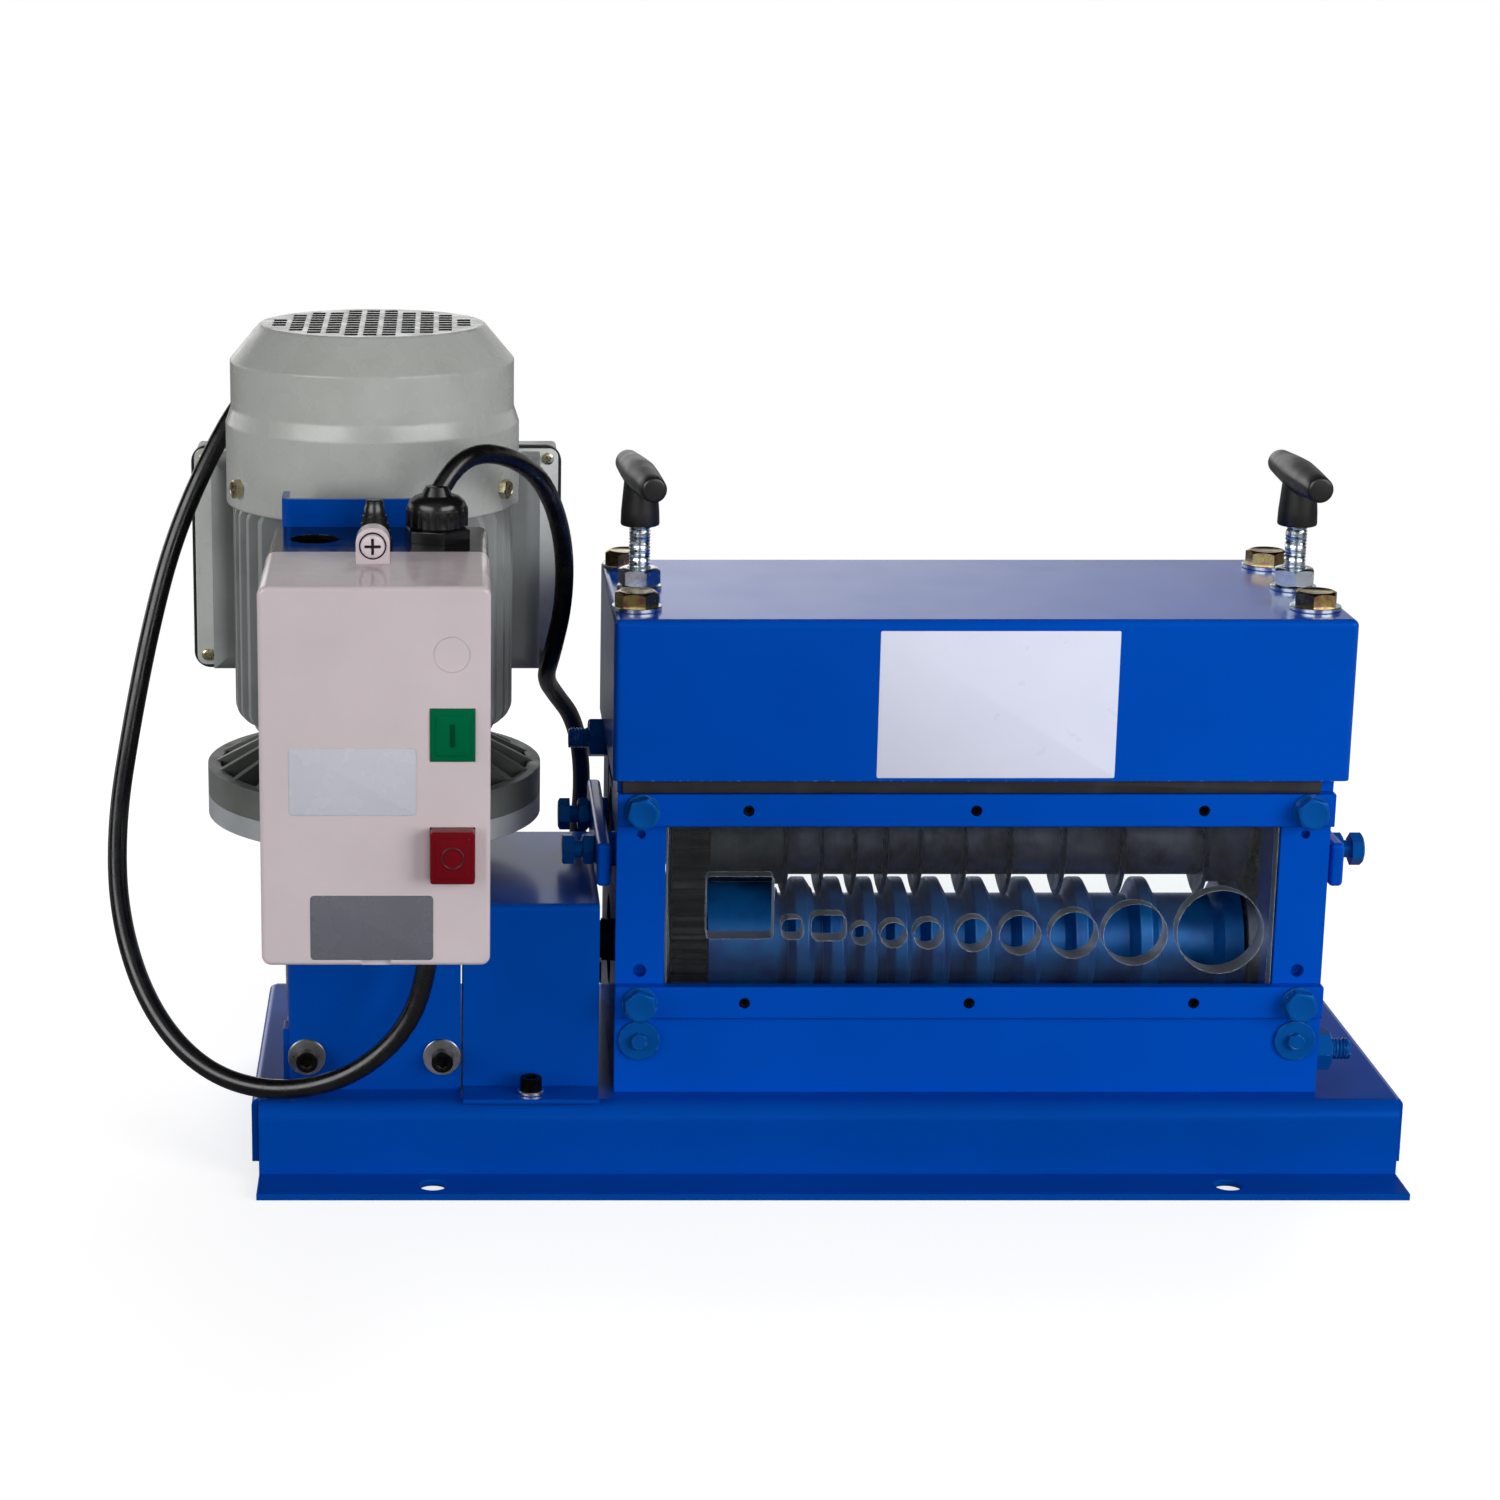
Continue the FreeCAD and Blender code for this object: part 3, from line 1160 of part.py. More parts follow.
# Motor
def make_motor_flange():
    """Cup flange with ribs between its rim and the neck that carries the motor."""
    body = new_body("motor_flange")
    wall = "flange_rim"
    top = "flange_height + neck_height"
    revolve(body, [
        ("hub_radius + 3", 0), ("flange_radius", 0), ("flange_radius", "flange_height"),
        ("flange_radius - " + wall, "flange_height"), ("flange_radius - " + wall, 4),
        ("neck_radius", 4), ("neck_radius", "flange_height"), ("neck_radius + 6", top),
        ("hub_radius + 3", top),
    ])
    rib_top = "flange_height + neck_height * 0.7"
    sketch = outline(sketch_on(body, "XZ", -1.6), [
        ("neck_radius - 2", 3), ("flange_radius - 2", 3), ("flange_radius - 2", "flange_height - 1"),
        ("neck_radius + 4", rib_top), ("neck_radius - 2", rib_top),
    ])
    rib = pad(body, sketch, 3.2)
    turn = sketch_on(body, "XY")
    circle(turn, 0, 0, 1)
    polar(body, rib, "flange_rib_count", turn)
    place(body, "motor_x", MOTOR_Y, FLANGE_LOW)
    node(body, "motor_flange")


def make_motor_frame():
    """Tube that holds the stator, with a row of parallel fins on each of its four sides."""
    limit = new_body("fin_limit")
    disc = circle(sketch_on(limit, "XY", "fin_end_gap"), 0, 0, "frame_radius + fin_reach")
    pad(limit, disc, "frame_height - 2 * fin_end_gap")
    fillet(limit, "fin_corner", lambda e: True)
    place(limit, "motor_x", MOTOR_Y, FRAME_LOW)
    reach = "frame_radius + fin_reach"
    plates = []
    for row in range(int(number("fin_rows"))):
        for side in ("-", "+"):
            start = "%s (%d + 0.5) * fin_pitch - fin_thickness / 2" % (side, row)
            plates.append(box(
                "motor_x - (%s)" % reach, "%s %s" % (MOTOR_Y, start), FRAME_LOW,
                "2 * (%s)" % reach, "fin_thickness", "frame_height",
            ))
            if row < number("fin_rows") - 1:
                plates.append(box(
                    "motor_x " + start, "%s - (%s)" % (MOTOR_Y, reach), FRAME_LOW,
                    "fin_thickness", "2 * (%s)" % reach, "frame_height",
                ))
    fins = doc.addObject("Part::MultiCommon", "Fins")
    fins.Shapes = [fuse(*plates), limit]
    tube = rod("z", "motor_x", MOTOR_Y, FRAME_LOW, "frame_radius", "frame_height")
    bore = rod("z", "motor_x", MOTOR_Y, FRAME_LOW, "frame_radius - frame_wall", "frame_height")
    body = cut(fuse(tube, fins), bore)
    shield = fuse(
        rod("z", "motor_x", MOTOR_Y, COWL_LOW + " - 4", "frame_radius", 10),
        rod("z", "motor_x", MOTOR_Y, COWL_LOW + " - 8", "hub_radius + 9", 12),
    )
    seat = rod("z", "motor_x", MOTOR_Y, COWL_LOW + " - 8", "hub_radius + 4", 8)
    hole = rod("z", "motor_x", MOTOR_Y, COWL_LOW, "motor_shaft_radius + 1", 7)
    node(cut(fuse(body, shield), seat, hole), "motor_frame")


def radial(angle, start, rise, radius, length, sides=0):
    """Cylinder or hexagon that points out from the motor's axis at an angle from the front."""
    way = FreeCAD.Vector(math.sin(math.radians(angle)), -math.cos(math.radians(angle)), 0)
    if sides:
        item = doc.addObject("Part::Prism", "Hexagon")
        item.Polygon = sides
        bind(item, Circumradius=radius, Height=length)
    else:
        item = bind(doc.addObject("Part::Cylinder", "Rod"), Radius=radius, Height=length)
    item.Placement.Rotation = FreeCAD.Rotation(FreeCAD.Vector(0, 0, 1), way)
    x = "motor_x + (%s) * %.6f" % (start, way.x)
    y = "%s + (%s) * %.6f" % (MOTOR_Y, start, way.y)
    return place(item, x, y, rise)


COWL_SCREW_ANGLES = (-62, 62, 118, 242)
COWL_SCREW_Z = COWL_LOW + " + m8_radius"


def make_cowl():
    """Pressed fan cowl with a grid of square holes in its top."""
    body = new_body("pressed_cowl")
    wall = "cowl_gauge"
    outer = [
        ("cowl_radius", "-cowl_lap"), ("cowl_radius", "cowl_flare_rise"),
        ("cowl_band_radius", "cowl_band_rise"), ("cowl_band_radius", "cowl_cone_rise"),
        ("cowl_top_radius", "cowl_height"),
    ]
    inner = [(radius + " - " + wall, rise) for radius, rise in outer[:4]]
    inner.append(("cowl_top_radius - " + wall, "cowl_height - " + wall))
    profile = [(0, "cowl_height - " + wall)] + inner[::-1] + outer + [(0, "cowl_height")]
    revolve(body, profile)
    fillet(body, "cowl_gauge", lambda e: near(e.BoundBox.ZMin, "cowl_height"))
    place(body, "motor_x", MOTOR_Y, COWL_LOW)
    pitch = number("cowl_hole_pitch")
    limit = number("cowl_hole_circle")
    steps = int(limit // pitch) + 1
    holes = []
    for i in range(-steps, steps + 1):
        for j in range(-steps, steps + 1):
            if math.hypot(i * pitch, j * pitch) <= limit:
                holes.append(box(
                    "motor_x + %d * cowl_hole_pitch - cowl_hole / 2" % i,
                    MOTOR_Y + " + %d * cowl_hole_pitch - cowl_hole / 2" % j,
                    COWL_LOW + " + cowl_height - 4 * cowl_gauge",
                    "cowl_hole", "cowl_hole", "5 * cowl_gauge",
                ))
    for angle in COWL_SCREW_ANGLES:
        holes.append(radial(angle, "cowl_radius - 5", COWL_SCREW_Z, "m8_radius / 2", 8))
    node(cut(body, *holes), "fan_cowl")


def make_motor_screws():
    """Bright screws around the cowl and in the corners of the rear plate."""
    heads = ZINC_SCREWS
    for angle in COWL_SCREW_ANGLES:
        head = radial(angle, "cowl_radius", COWL_SCREW_Z, "cowl_screw_head", "cowl_screw_height", 6)
        length = "cowl_radius - frame_radius + 1"
        shank = radial(angle, "frame_radius", COWL_SCREW_Z, "m8_radius / 2", length)
        heads.append(fuse(head, shank))
    middle = REAR_LOW + " + rear_box_height / 2"
    for side in ("-", "+"):
        for level in ("-", "+"):
            x = "motor_x %s %s" % (side, CORNER_X)
            z = "%s %s %s" % (middle, level, CORNER_Z)
            start = REAR_PLATE_Y + " - m8_radius / 2"
            head = rod("y", x, start, z, "corner_screw_head", "m8_radius / 2")
            length = "m8_radius / 2 + rear_plate_gauge + 4"
            heads.append(fuse(head, rod("y", x, start, z, "m8_radius / 2", length)))


CORNER_X = "(rear_plate_width / 2 - corner_screw_inset)"
CORNER_Z = "(rear_plate_height / 2 - corner_screw_inset)"

REAR_PLATE_Y = "(axis_y + worm_distance + rear_box_reach)"
REAR_LOW = "(deck_height + reducer_rise + input_flange_height + rear_box_rise)"


def corner_screws(sketch):
    """Circles for the four corner screws of the rear plate."""
    for side in ("-", "+"):
        for level in ("-", "+"):
            z = "%s + rear_box_height / 2 %s %s" % (REAR_LOW, level, CORNER_Z)
            circle(sketch, "motor_x %s %s" % (side, CORNER_X), z, "m8_radius / 2")
    return sketch


def make_rear_box():
    """Box for terminals and capacitor on the back of the motor: body, plate and lid."""
    left = "motor_x - rear_box_width / 2"
    front = REAR_PLATE_Y + " - rear_box_depth"
    body = new_body("box_moulding")
    right = left + " + rear_box_width"
    top = REAR_LOW + " + rear_box_height"
    outer = rectangle(sketch_on(body, "XZ", REAR_PLATE_Y), left, REAR_LOW, right, top)
    pad(body, outer, "rear_box_depth", toward=-1)
    fillet(body, "rear_box_depth / 3", lambda e: near(max(v.Y for v in e.Vertexes), front))
    wall = "rear_box_wall"
    inner = rectangle(
        sketch_on(body, "XZ", REAR_PLATE_Y), left + " + " + wall, REAR_LOW + " + " + wall,
        left + " + rear_box_width - " + wall, REAR_LOW + " + rear_box_height - " + wall,
    )
    pocket(body, inner, "rear_box_depth - " + wall, toward=-1)
    reach = "frame_radius + fin_reach + running_clear"
    saddle = rod("z", "motor_x", MOTOR_Y, REAR_LOW + " - 1", reach, "rear_box_height + 2")
    saddle_wall = rod(
        "z", "motor_x", MOTOR_Y, REAR_LOW + " + 0.5", reach + " + rear_box_wall", "rear_box_height - 1"
    )
    clip = box(
        left + " + 1", front + " + 1", REAR_LOW + " + 0.5",
        "rear_box_width - 2", "rear_box_depth - 1", "rear_box_height - 1",
    )
    backing = doc.addObject("Part::MultiCommon", "Backing")
    backing.Shapes = [saddle_wall, clip]
    under_cowl = rod("z", "motor_x", MOTOR_Y, COWL_LOW + " - cowl_lap - 1", "cowl_radius + 1", 40)
    shell = cut(fuse(body, backing), saddle, under_cowl)
    node(shell, "rear_box")
    plate_x = "motor_x - rear_plate_width / 2"
    plate_z = REAR_LOW + " + rear_box_height / 2 - rear_plate_height / 2"
    plate = new_body("rear_plate")
    plate_right = plate_x + " + rear_plate_width"
    plate_top = plate_z + " + rear_plate_height"
    sketch = rectangle(sketch_on(plate, "XZ", REAR_PLATE_Y), plate_x, plate_z, plate_right, plate_top)
    corner_screws(sketch)
    pad(plate, sketch, "rear_plate_gauge")
    fillet(plate, "m8_washer_radius", lambda e: along(e, "y"))
    node(plate, "rear_plate")
    lid = new_body("rear_lid")
    start = REAR_PLATE_Y + " + rear_plate_gauge"
    inset = "rear_lid_inset"
    area = (
        plate_x + " + " + inset, plate_z + " + " + inset,
        plate_right + " - " + inset, plate_top + " - " + inset,
    )
    pad(lid, rectangle(sketch_on(lid, "XZ", start), *area), "rear_lid_depth")
    back = start + " + rear_lid_depth"
    fillet(lid, inset, lambda e: along(e, "y") or near(min(v.Y for v in e.Vertexes), back))
    wall = "rear_box_wall * 2.5"
    inner = rectangle(
        sketch_on(lid, "XZ", start), area[0] + " + " + wall, area[1] + " + " + wall,
        area[2] + " - " + wall, area[3] + " - " + wall,
    )
    pocket(lid, inner, "rear_lid_depth - rear_box_wall")
    pocket(lid, corner_screws(sketch_on(lid, "XZ", start)), 4)
    node(lid, "rear_lid")
    middle = REAR_LOW + " + rear_box_height / 2"
    can = rod("x", "motor_x - rear_box_width / 6", start + " + 9", middle, 9, "rear_box_width / 3")
    node(can, "run_capacitor")


def make_stator_and_rotor():
    """Stator stack with its windings, the rotor with the worm, and the fan."""
    low = FRAME_LOW + " + (frame_height - stator_height) / 2"
    bore = "rotor_radius + stator_gap"
    core = ring("z", "motor_x", MOTOR_Y, low, "frame_radius - frame_wall", bore, "stator_height")
    coils = [
        ring("z", "motor_x", MOTOR_Y, start, "frame_radius - frame_wall - 5", bore + " + 3", 13)
        for start in (low + " - 13", low + " + stator_height")
    ]
    node(group(core, *coils), "stator")
    shaft_low = DECK + " + seat_height + 14.5"
    shaft_high = COWL_LOW + " + cowl_cone_rise - fan_height"
    worm_low = FEED_Z + " - wheel_width * 0.8"
    shaft_length = "%s - (%s)" % (shaft_high, shaft_low)
    shaft = [
        rod("z", "motor_x", MOTOR_Y, shaft_low, "motor_shaft_radius", shaft_length),
        rod("z", "motor_x", MOTOR_Y, low, "rotor_radius", "stator_height"),
        rod("z", "motor_x", MOTOR_Y, worm_low, "worm_radius - 1.6", "wheel_width * 1.6"),
    ]
    count = 8
    for i in range(count):
        start = "%s + wheel_width * 1.6 * %d / %d" % (worm_low, i, count)
        step = "wheel_width * 0.8 / %d" % count
        root = "worm_radius - 1.6"
        shaft.append(cone("z", "motor_x", MOTOR_Y, start, root, "worm_radius", step))
        shaft.append(cone("z", "motor_x", MOTOR_Y, start + " + " + step, "worm_radius", root, step))
    node(fuse(*shaft), "rotor")
    shaft_hole = "motor_shaft_radius + running_clear"
    MOTOR_BEARINGS.extend([
        ring("z", "motor_x", MOTOR_Y, COWL_LOW + " - 8", "hub_radius + 4", shaft_hole, 8),
        ring("z", "motor_x", MOTOR_Y, FLANGE_LOW + " + 14", "hub_radius + 3", shaft_hole, 10),
    ])
    node(group(*MOTOR_BEARINGS), "motor_bearings")
    fan_low = COWL_LOW + " + 22"
    hub = rod("z", "motor_x", MOTOR_Y, fan_low, "hub_radius", "fan_height")
    disc = rod("z", "motor_x", MOTOR_Y, fan_low, "fan_radius - 6", 2.5)
    parts = [hub, disc]
    count = int(round(number("fan_blade_count")))
    for i in range(count):
        vane = box(0, 0, 0, "fan_radius - hub_radius + 1", 2, "fan_height")
        angle = 360.0 * i / count
        turn = math.radians(angle)
        vane.Placement.Rotation = FreeCAD.Rotation(FreeCAD.Vector(0, 0, 1), angle)
        place(
            vane,
            "motor_x + (hub_radius - 1) * %.6f + %.6f" % (math.cos(turn), math.sin(turn)),
            "%s + (hub_radius - 1) * %.6f - %.6f" % (MOTOR_Y, math.sin(turn), math.cos(turn)),
            fan_low,
        )
        parts.append(vane)
    fan = cut(fuse(*parts), rod("z", "motor_x", MOTOR_Y, fan_low, "motor_shaft_radius", "fan_height"))
    node(fan, "fan")


# Starter
STARTER_LEFT = "(starter_x - starter_width / 2)"
STARTER_LOW = "(deck_height + starter_rise)"
STARTER_TOP = "(deck_height + starter_rise + starter_height)"
BASE_FRONT = "(head_front + plate_side_gap - starter_base_depth)"
LID_FRONT = "(head_front + plate_side_gap - starter_base_depth - starter_lid_depth)"
BUTTON_X = "(starter_x + button_x)"
STARTER_BACK = "(head_front + plate_side_gap)"


def make_bracket():
    """Tall sheet bracket with a return along its left edge."""
    body = new_body("starter_bracket")
    left = "bracket_x - bracket_width / 2"
    right = "bracket_x + bracket_width / 2"
    front = "head_front"
    profile = [
        (left, front), (right, front), (right, front + " + bracket_gauge"),
        (left + " + bracket_gauge", front + " + bracket_gauge"),
        (left + " + bracket_gauge", front + " + bracket_return"), (left, front + " + bracket_return"),
    ]
    pad(body, outline(sketch_on(body, "XY", DECK), profile), "bracket_rise")
    fillet(
        body,
        "bracket_gauge * 1.5",
        lambda e: along(e, "z") and near(e.Vertexes[0].X, left) and near(e.Vertexes[0].Y, front),
    )
    trim = rectangle(
        sketch_on(body, "YZ", left + " - 1"), front + " + bracket_gauge", DECK,
        front + " + bracket_return + 1", DECK + " + seat_lip + 2",
    )
    pocket(body, trim, "bracket_gauge + 2")
    holes = sketch_on(body, "XZ", front)
    for x in BRACKET_BOLT_X:
        circle(holes, x, DECK + " + bracket_bolt_rise", "m8_radius")
    pocket(body, holes, "2 * bracket_gauge")
    node(body, "starter_bracket")


def make_starter():
    """Two-part starter box with its buttons, contactor and fittings."""
    right = STARTER_LEFT + " + starter_width"
    wall = "starter_wall"
    base = new_body("starter_base")
    sketch = rectangle(sketch_on(base, "XZ", "head_front"), STARTER_LEFT, STARTER_LOW, right, STARTER_TOP)
    pad(base, sketch, "starter_base_depth", toward=-1)
    fillet(base, "starter_corner", lambda e: along(e, "y"))
    hollow = (
        STARTER_LEFT + " + " + wall, STARTER_LOW + " + " + wall, right + " - " + wall,
        STARTER_TOP + " - " + wall,
    )
    back = "head_front - starter_base_depth"
    pocket(base, rectangle(sketch_on(base, "XZ", back), *hollow), "starter_base_depth - " + wall)
    top_holes = sketch_on(base, "XY", STARTER_TOP)
    circle(top_holes, "starter_x + knockout_x", GLAND_Y, "knockout_radius")
    circle(top_holes, "starter_x + gland_x", GLAND_Y, "mains_lead / 2 + 2")
    pocket(base, top_holes, "2 * " + wall, toward=-1)
    low_hole = sketch_on(base, "XY", STARTER_LOW)
    circle(low_hole, "starter_x + lower_gland_x", GLAND_Y, "motor_lead / 2 + 1")
    pocket(base, low_hole, "2 * " + wall)
    node(base, "starter_base")
    make_starter_lid(hollow, right)


def make_starter_lid(hollow, right):
    """Moulded lid with its ear, the two buttons and the contactor behind them."""
    wall = "starter_wall"
    lid = new_body("lid_moulding")
    back = "head_front - starter_base_depth"
    front = back + " - starter_lid_depth"
    outer = rectangle(sketch_on(lid, "XZ", back), STARTER_LEFT, STARTER_LOW, right, STARTER_TOP)
    pad(lid, outer, "starter_lid_depth", toward=-1)
    fillet(lid, "starter_corner", lambda e: along(e, "y"))
    fillet(lid, "starter_corner / 2", lambda e: near(max(v.Y for v in e.Vertexes), front))
    inner = rectangle(sketch_on(lid, "XZ", back), *hollow)
    pocket(lid, inner, "starter_lid_depth - " + wall, toward=-1)
    holes = sketch_on(lid, "XZ", front)
    half_width = "(button_width / 2 + button_clear)"
    half_height = "(button_height / 2 + button_clear)"
    for rise in ("start_rise", "stop_rise"):
        middle = STARTER_LOW + " + " + rise
        rectangle(
            holes, BUTTON_X + " - " + half_width, middle + " - " + half_height,
            BUTTON_X + " + " + half_width, middle + " + " + half_height,
        )
    pocket(lid, holes, "2 * " + wall)
    sketch = sketch_on(lid, "XZ", front)
    notch = rectangle(sketch, "starter_x - 6", STARTER_LOW, "starter_x + 6", STARTER_LOW + " + " + wall)
    pocket(lid, notch, wall + " * 0.6")
    make_tab(lid)

    left = BUTTON_X + " - button_width / 2"
    for name in ("start", "stop"):
        button = new_body(name + "_button")
        proud = name + "_proud"
        low = STARTER_LOW + " + %s_rise - button_height / 2" % name
        face = front + " - " + proud
        sketch = sketch_on(button, "XZ", face)
        rectangle(sketch, left, low, left + " + button_width", low + " + button_height")
        pad(button, sketch, proud + " + button_depth")
        fillet(button, 0.8, lambda e: along(e, "y") or near(max(v.Y for v in e.Vertexes), face))
        node(button, name + "_button")

    seat_y = front + " + button_depth + 6"
    switch = []
    for rise in ("start_rise", "stop_rise"):
        z = STARTER_LOW + " + " + rise
        switch.append(box(
            BUTTON_X + " - button_width / 2", seat_y, z + " - button_height / 2",
            "button_width", "starter_lid_depth - button_depth - 6 - 12", "button_height",
        ))
    contactor = box(
        "starter_x - 30", back + " - 12", STARTER_LOW + " + 18",
        "starter_width - 24", "starter_base_depth - starter_wall + 12", "starter_height - 40",
    )
    slots = [
        box("starter_x - 31", back + " - 13", STARTER_LOW + " + %d" % rise, "starter_width", 7, 14)
        for rise in (22, 120)
    ]
    node(fuse(cut(contactor, *slots), *switch), "contactor")


GLAND_Y = "(head_front - gland_y)"


def make_glands():
    """Cable glands of the leads and the stepped rubber plug on top of the starter."""
    pieces = []
    top = STARTER_TOP
    x = "starter_x + gland_x"
    body = fuse(
        hexagon("z", x, GLAND_Y, top, "gland_radius * 1.75", "gland_height * 0.3"),
        rod("z", x, GLAND_Y, top + " + gland_height * 0.3", "gland_radius * 0.8", "gland_height * 0.08"),
        rod("z", x, GLAND_Y, top + " + gland_height * 0.38", "gland_radius", "gland_height * 0.34"),
        cone("z", x, GLAND_Y, top + " + gland_height * 0.72", "gland_radius", "mains_lead / 2 + 5.6",
             "gland_height * 0.28"),
    )
    mouth = top + " + gland_height - 12"
    pieces.append(cut(body, cone("z", x, GLAND_Y, mouth, "mains_lead / 2 + 4", "mains_lead / 2 + 5", 13)))
    x = "starter_x + lower_gland_x"
    low = STARTER_LOW + " - lower_gland_height"
    half = "lower_gland_height / 2"
    mouth_radius = "motor_lead / 2 + 1.2"
    body = fuse(
        hexagon("z", x, GLAND_Y, low + " + " + half, "lower_gland_radius * 1.9", half),
        cone("z", x, GLAND_Y, low, mouth_radius, "lower_gland_radius", half),
    )
    bore = rod("z", x, GLAND_Y, low + " + 3", "motor_lead / 2 + 0.3", "lower_gland_height")
    pieces.append(cut(body, bore))
    x, y = REAR_GLAND
    body = fuse(
        hexagon("z", x, y, REAR_TOP, "lower_gland_radius * 1.8", half),
        cone("z", x, y, REAR_TOP + " + " + half, "lower_gland_radius", mouth_radius, half),
    )
    pieces.append(body)
    x = "starter_x - 1.4"
    y = "head_front - gland_y - 16"
    pieces.append(fuse(
        rod("z", x, y, top, 7.5, 7),
        cone("z", x, y, top + " + 7", 6.2, 5.4, 8),
        rod("z", x, y, top + " + 15", 6.1, 5),
    ))
    node(group(*pieces), "cable_glands")


REAR_GLAND = ("motor_x + 41", REAR_PLATE_Y + " + rear_plate_gauge + rear_lid_depth / 2")
REAR_TOP = REAR_LOW + " + rear_box_height / 2 + rear_plate_height / 2 - rear_lid_inset"


def make_tab(lid):
    """Fixing ear on top of the lid, with its screw."""
    left = "starter_x - 1.4 - tab_width / 2"
    front = LID_FRONT + " - plate_side_gap + tab_back"
    body = new_body("fixing_ear")
    low = STARTER_TOP + " - starter_wall / 2"
    high = STARTER_TOP + " + tab_height"
    pad(body, rectangle(sketch_on(body, "XZ", front), left, low, left + " + tab_width", high), "tab_depth")
    fillet(body, "tab_width / 2.2", lambda e: along(e, "y") and e.Vertexes[0].Z > number(STARTER_TOP) + 1)
    whole = fuse(lid, body)
    whole.Refine = False
    node(whole, "starter_lid")
    middle = STARTER_TOP + " + tab_height / 2"
    head = cone("y", "starter_x - 1.4", front + " - 2", middle, 4, 5, 2)
    slots = [
        box("starter_x - 1.4 - %s / 2" % wide, front + " - 2", middle + " - %s / 2" % high, wide, 1, high)
        for wide, high in (("5", "1.2"), ("1.2", "5"))
    ]
    ZINC_SCREWS.append(cut(head, *slots))
    node(group(*ZINC_SCREWS), "zinc_screws")


# Leads
def rounded_path(points):
    """Straight runs joined by arcs that touch them, as one wire, and the smallest radius."""
    spots = [FreeCAD.Vector(point) for point in points]
    edges = []
    here = spots[0]
    radii = []
    for i in range(1, len(spots) - 1):
        back = spots[i - 1] - spots[i]
        ahead = spots[i + 1] - spots[i]
        shorter = min(back.Length, ahead.Length)
        turn = math.pi - back.getAngle(ahead)
        radii.append(0.45 * shorter / math.tan(turn / 2))
        back.normalize()
        ahead.normalize()
        start = spots[i] + back * (0.45 * shorter)
        end = spots[i] + ahead * (0.45 * shorter)
        centre_way = back + ahead
        centre_way.normalize()
        centre = spots[i] + centre_way * (radii[-1] / math.cos(turn / 2))
        middle = centre - centre_way * radii[-1]
        edges.append(Part.LineSegment(here, start).toShape())
        edges.append(Part.Arc(start, middle, end).toShape())
        here = end
    edges.append(Part.LineSegment(here, spots[-1]).toShape())
    return Part.Wire(edges), radii


def make_lead(label, points, diameter):
    """Round lead along a rounded path."""
    path, radii = rounded_path(points)
    first = points[0]
    way = points[1] - first
    rim = Part.Wire(Part.makeCircle(diameter / 2, first, way))
    solid = path.makePipeShell([rim], True, True)
    item = doc.addObject("Part::Feature", label)
    item.Shape = solid
    node(item, label)
    ideal = math.pi * diameter * diameter / 4 * path.Length
    print(label, "length %.0f" % path.Length, "volume ratio %.4f" % (solid.Volume / ideal))
    print(label, "radii", " ".join("%.0f" % radius for radius in radii))


def between(points, start, end):
    """Route whose points shift evenly so that it starts and ends at two given places."""
    first = FreeCAD.Vector(*start) - FreeCAD.Vector(*points[0])
    last = FreeCAD.Vector(*end) - FreeCAD.Vector(*points[-1])
    count = len(points) - 1
    return [
        FreeCAD.Vector(*point) + first * (1 - i / count) + last * (i / count)
        for i, point in enumerate(points)
    ]


MOTOR_ROUTE = [
    (-179, -99, 123), (-180, -99, 100), (-191, -100, 72), (-217, -98, 50), (-251, -89, 41),
    (-283, -75, 47), (-308, -56, 70), (-323, -30, 105), (-326, -2, 143), (-320, 25, 185),
    (-312, 43, 226), (-302, 56, 264), (-287, 67, 299), (-270, 82, 329), (-247, 97, 351),
    (-217, 109, 361), (-188, 113, 355), (-169, 114, 335), (-165, 113, 312),
]
MAINS_ROUTE = [
    (-179, -101, 308), (-172, -95, 323), (-159, -82, 331), (-141, -58, 324), (-127, -30, 307),
    (-118, 1, 276), (-117, 23, 243), (-122, 38, 215), (-125, 56, 199), (-120, 76, 187),
    (-109, 95, 169), (-104, 110, 138), (-106, 123, 101), (-108, 133, 64), (-101, 138, 33),
    (-82, 140, 12), (-56, 141, 4.5), (-26, 139, 4.5), (6, 140, 4.5), (32, 141, 4.5),
]


def make_leads():
    """Lead from starter to motor, and the mains lead with its coil and plug."""
    start = (
        number("starter_x + lower_gland_x"), number(GLAND_Y),
        number(STARTER_LOW + " - lower_gland_height"),
    )
    end = (
        number(REAR_GLAND[0]), number(REAR_GLAND[1]), number(REAR_TOP + " + lower_gland_height"),
    )
    make_lead("motor_lead", between(MOTOR_ROUTE, start, end), number("motor_lead"))
    start = (
        number("starter_x + gland_x") - 3, number(GLAND_Y) - 2,
        number(STARTER_TOP + " + gland_height - 11"),
    )
    route = between(MAINS_ROUTE, start, MAINS_ROUTE[-1])
    low = number("mains_lead / 2") + 0.2
    route = [FreeCAD.Vector(spot.x, spot.y, max(spot.z, low)) for spot in route]
    make_lead("mains_lead", route, number("mains_lead"))
    y = "%s + coil_radius" % MAINS_ROUTE[-1][1]
    outer = "coil_radius + mains_lead"
    inner = "coil_radius - mains_lead"
    coil = ring("z", "coil_x", y, 0, outer, inner, "coil_layers * mains_lead + 0.4")
    node(coil, "mains_coil")
    make_plug("coil_x - plug_distance", y + " + coil_radius")


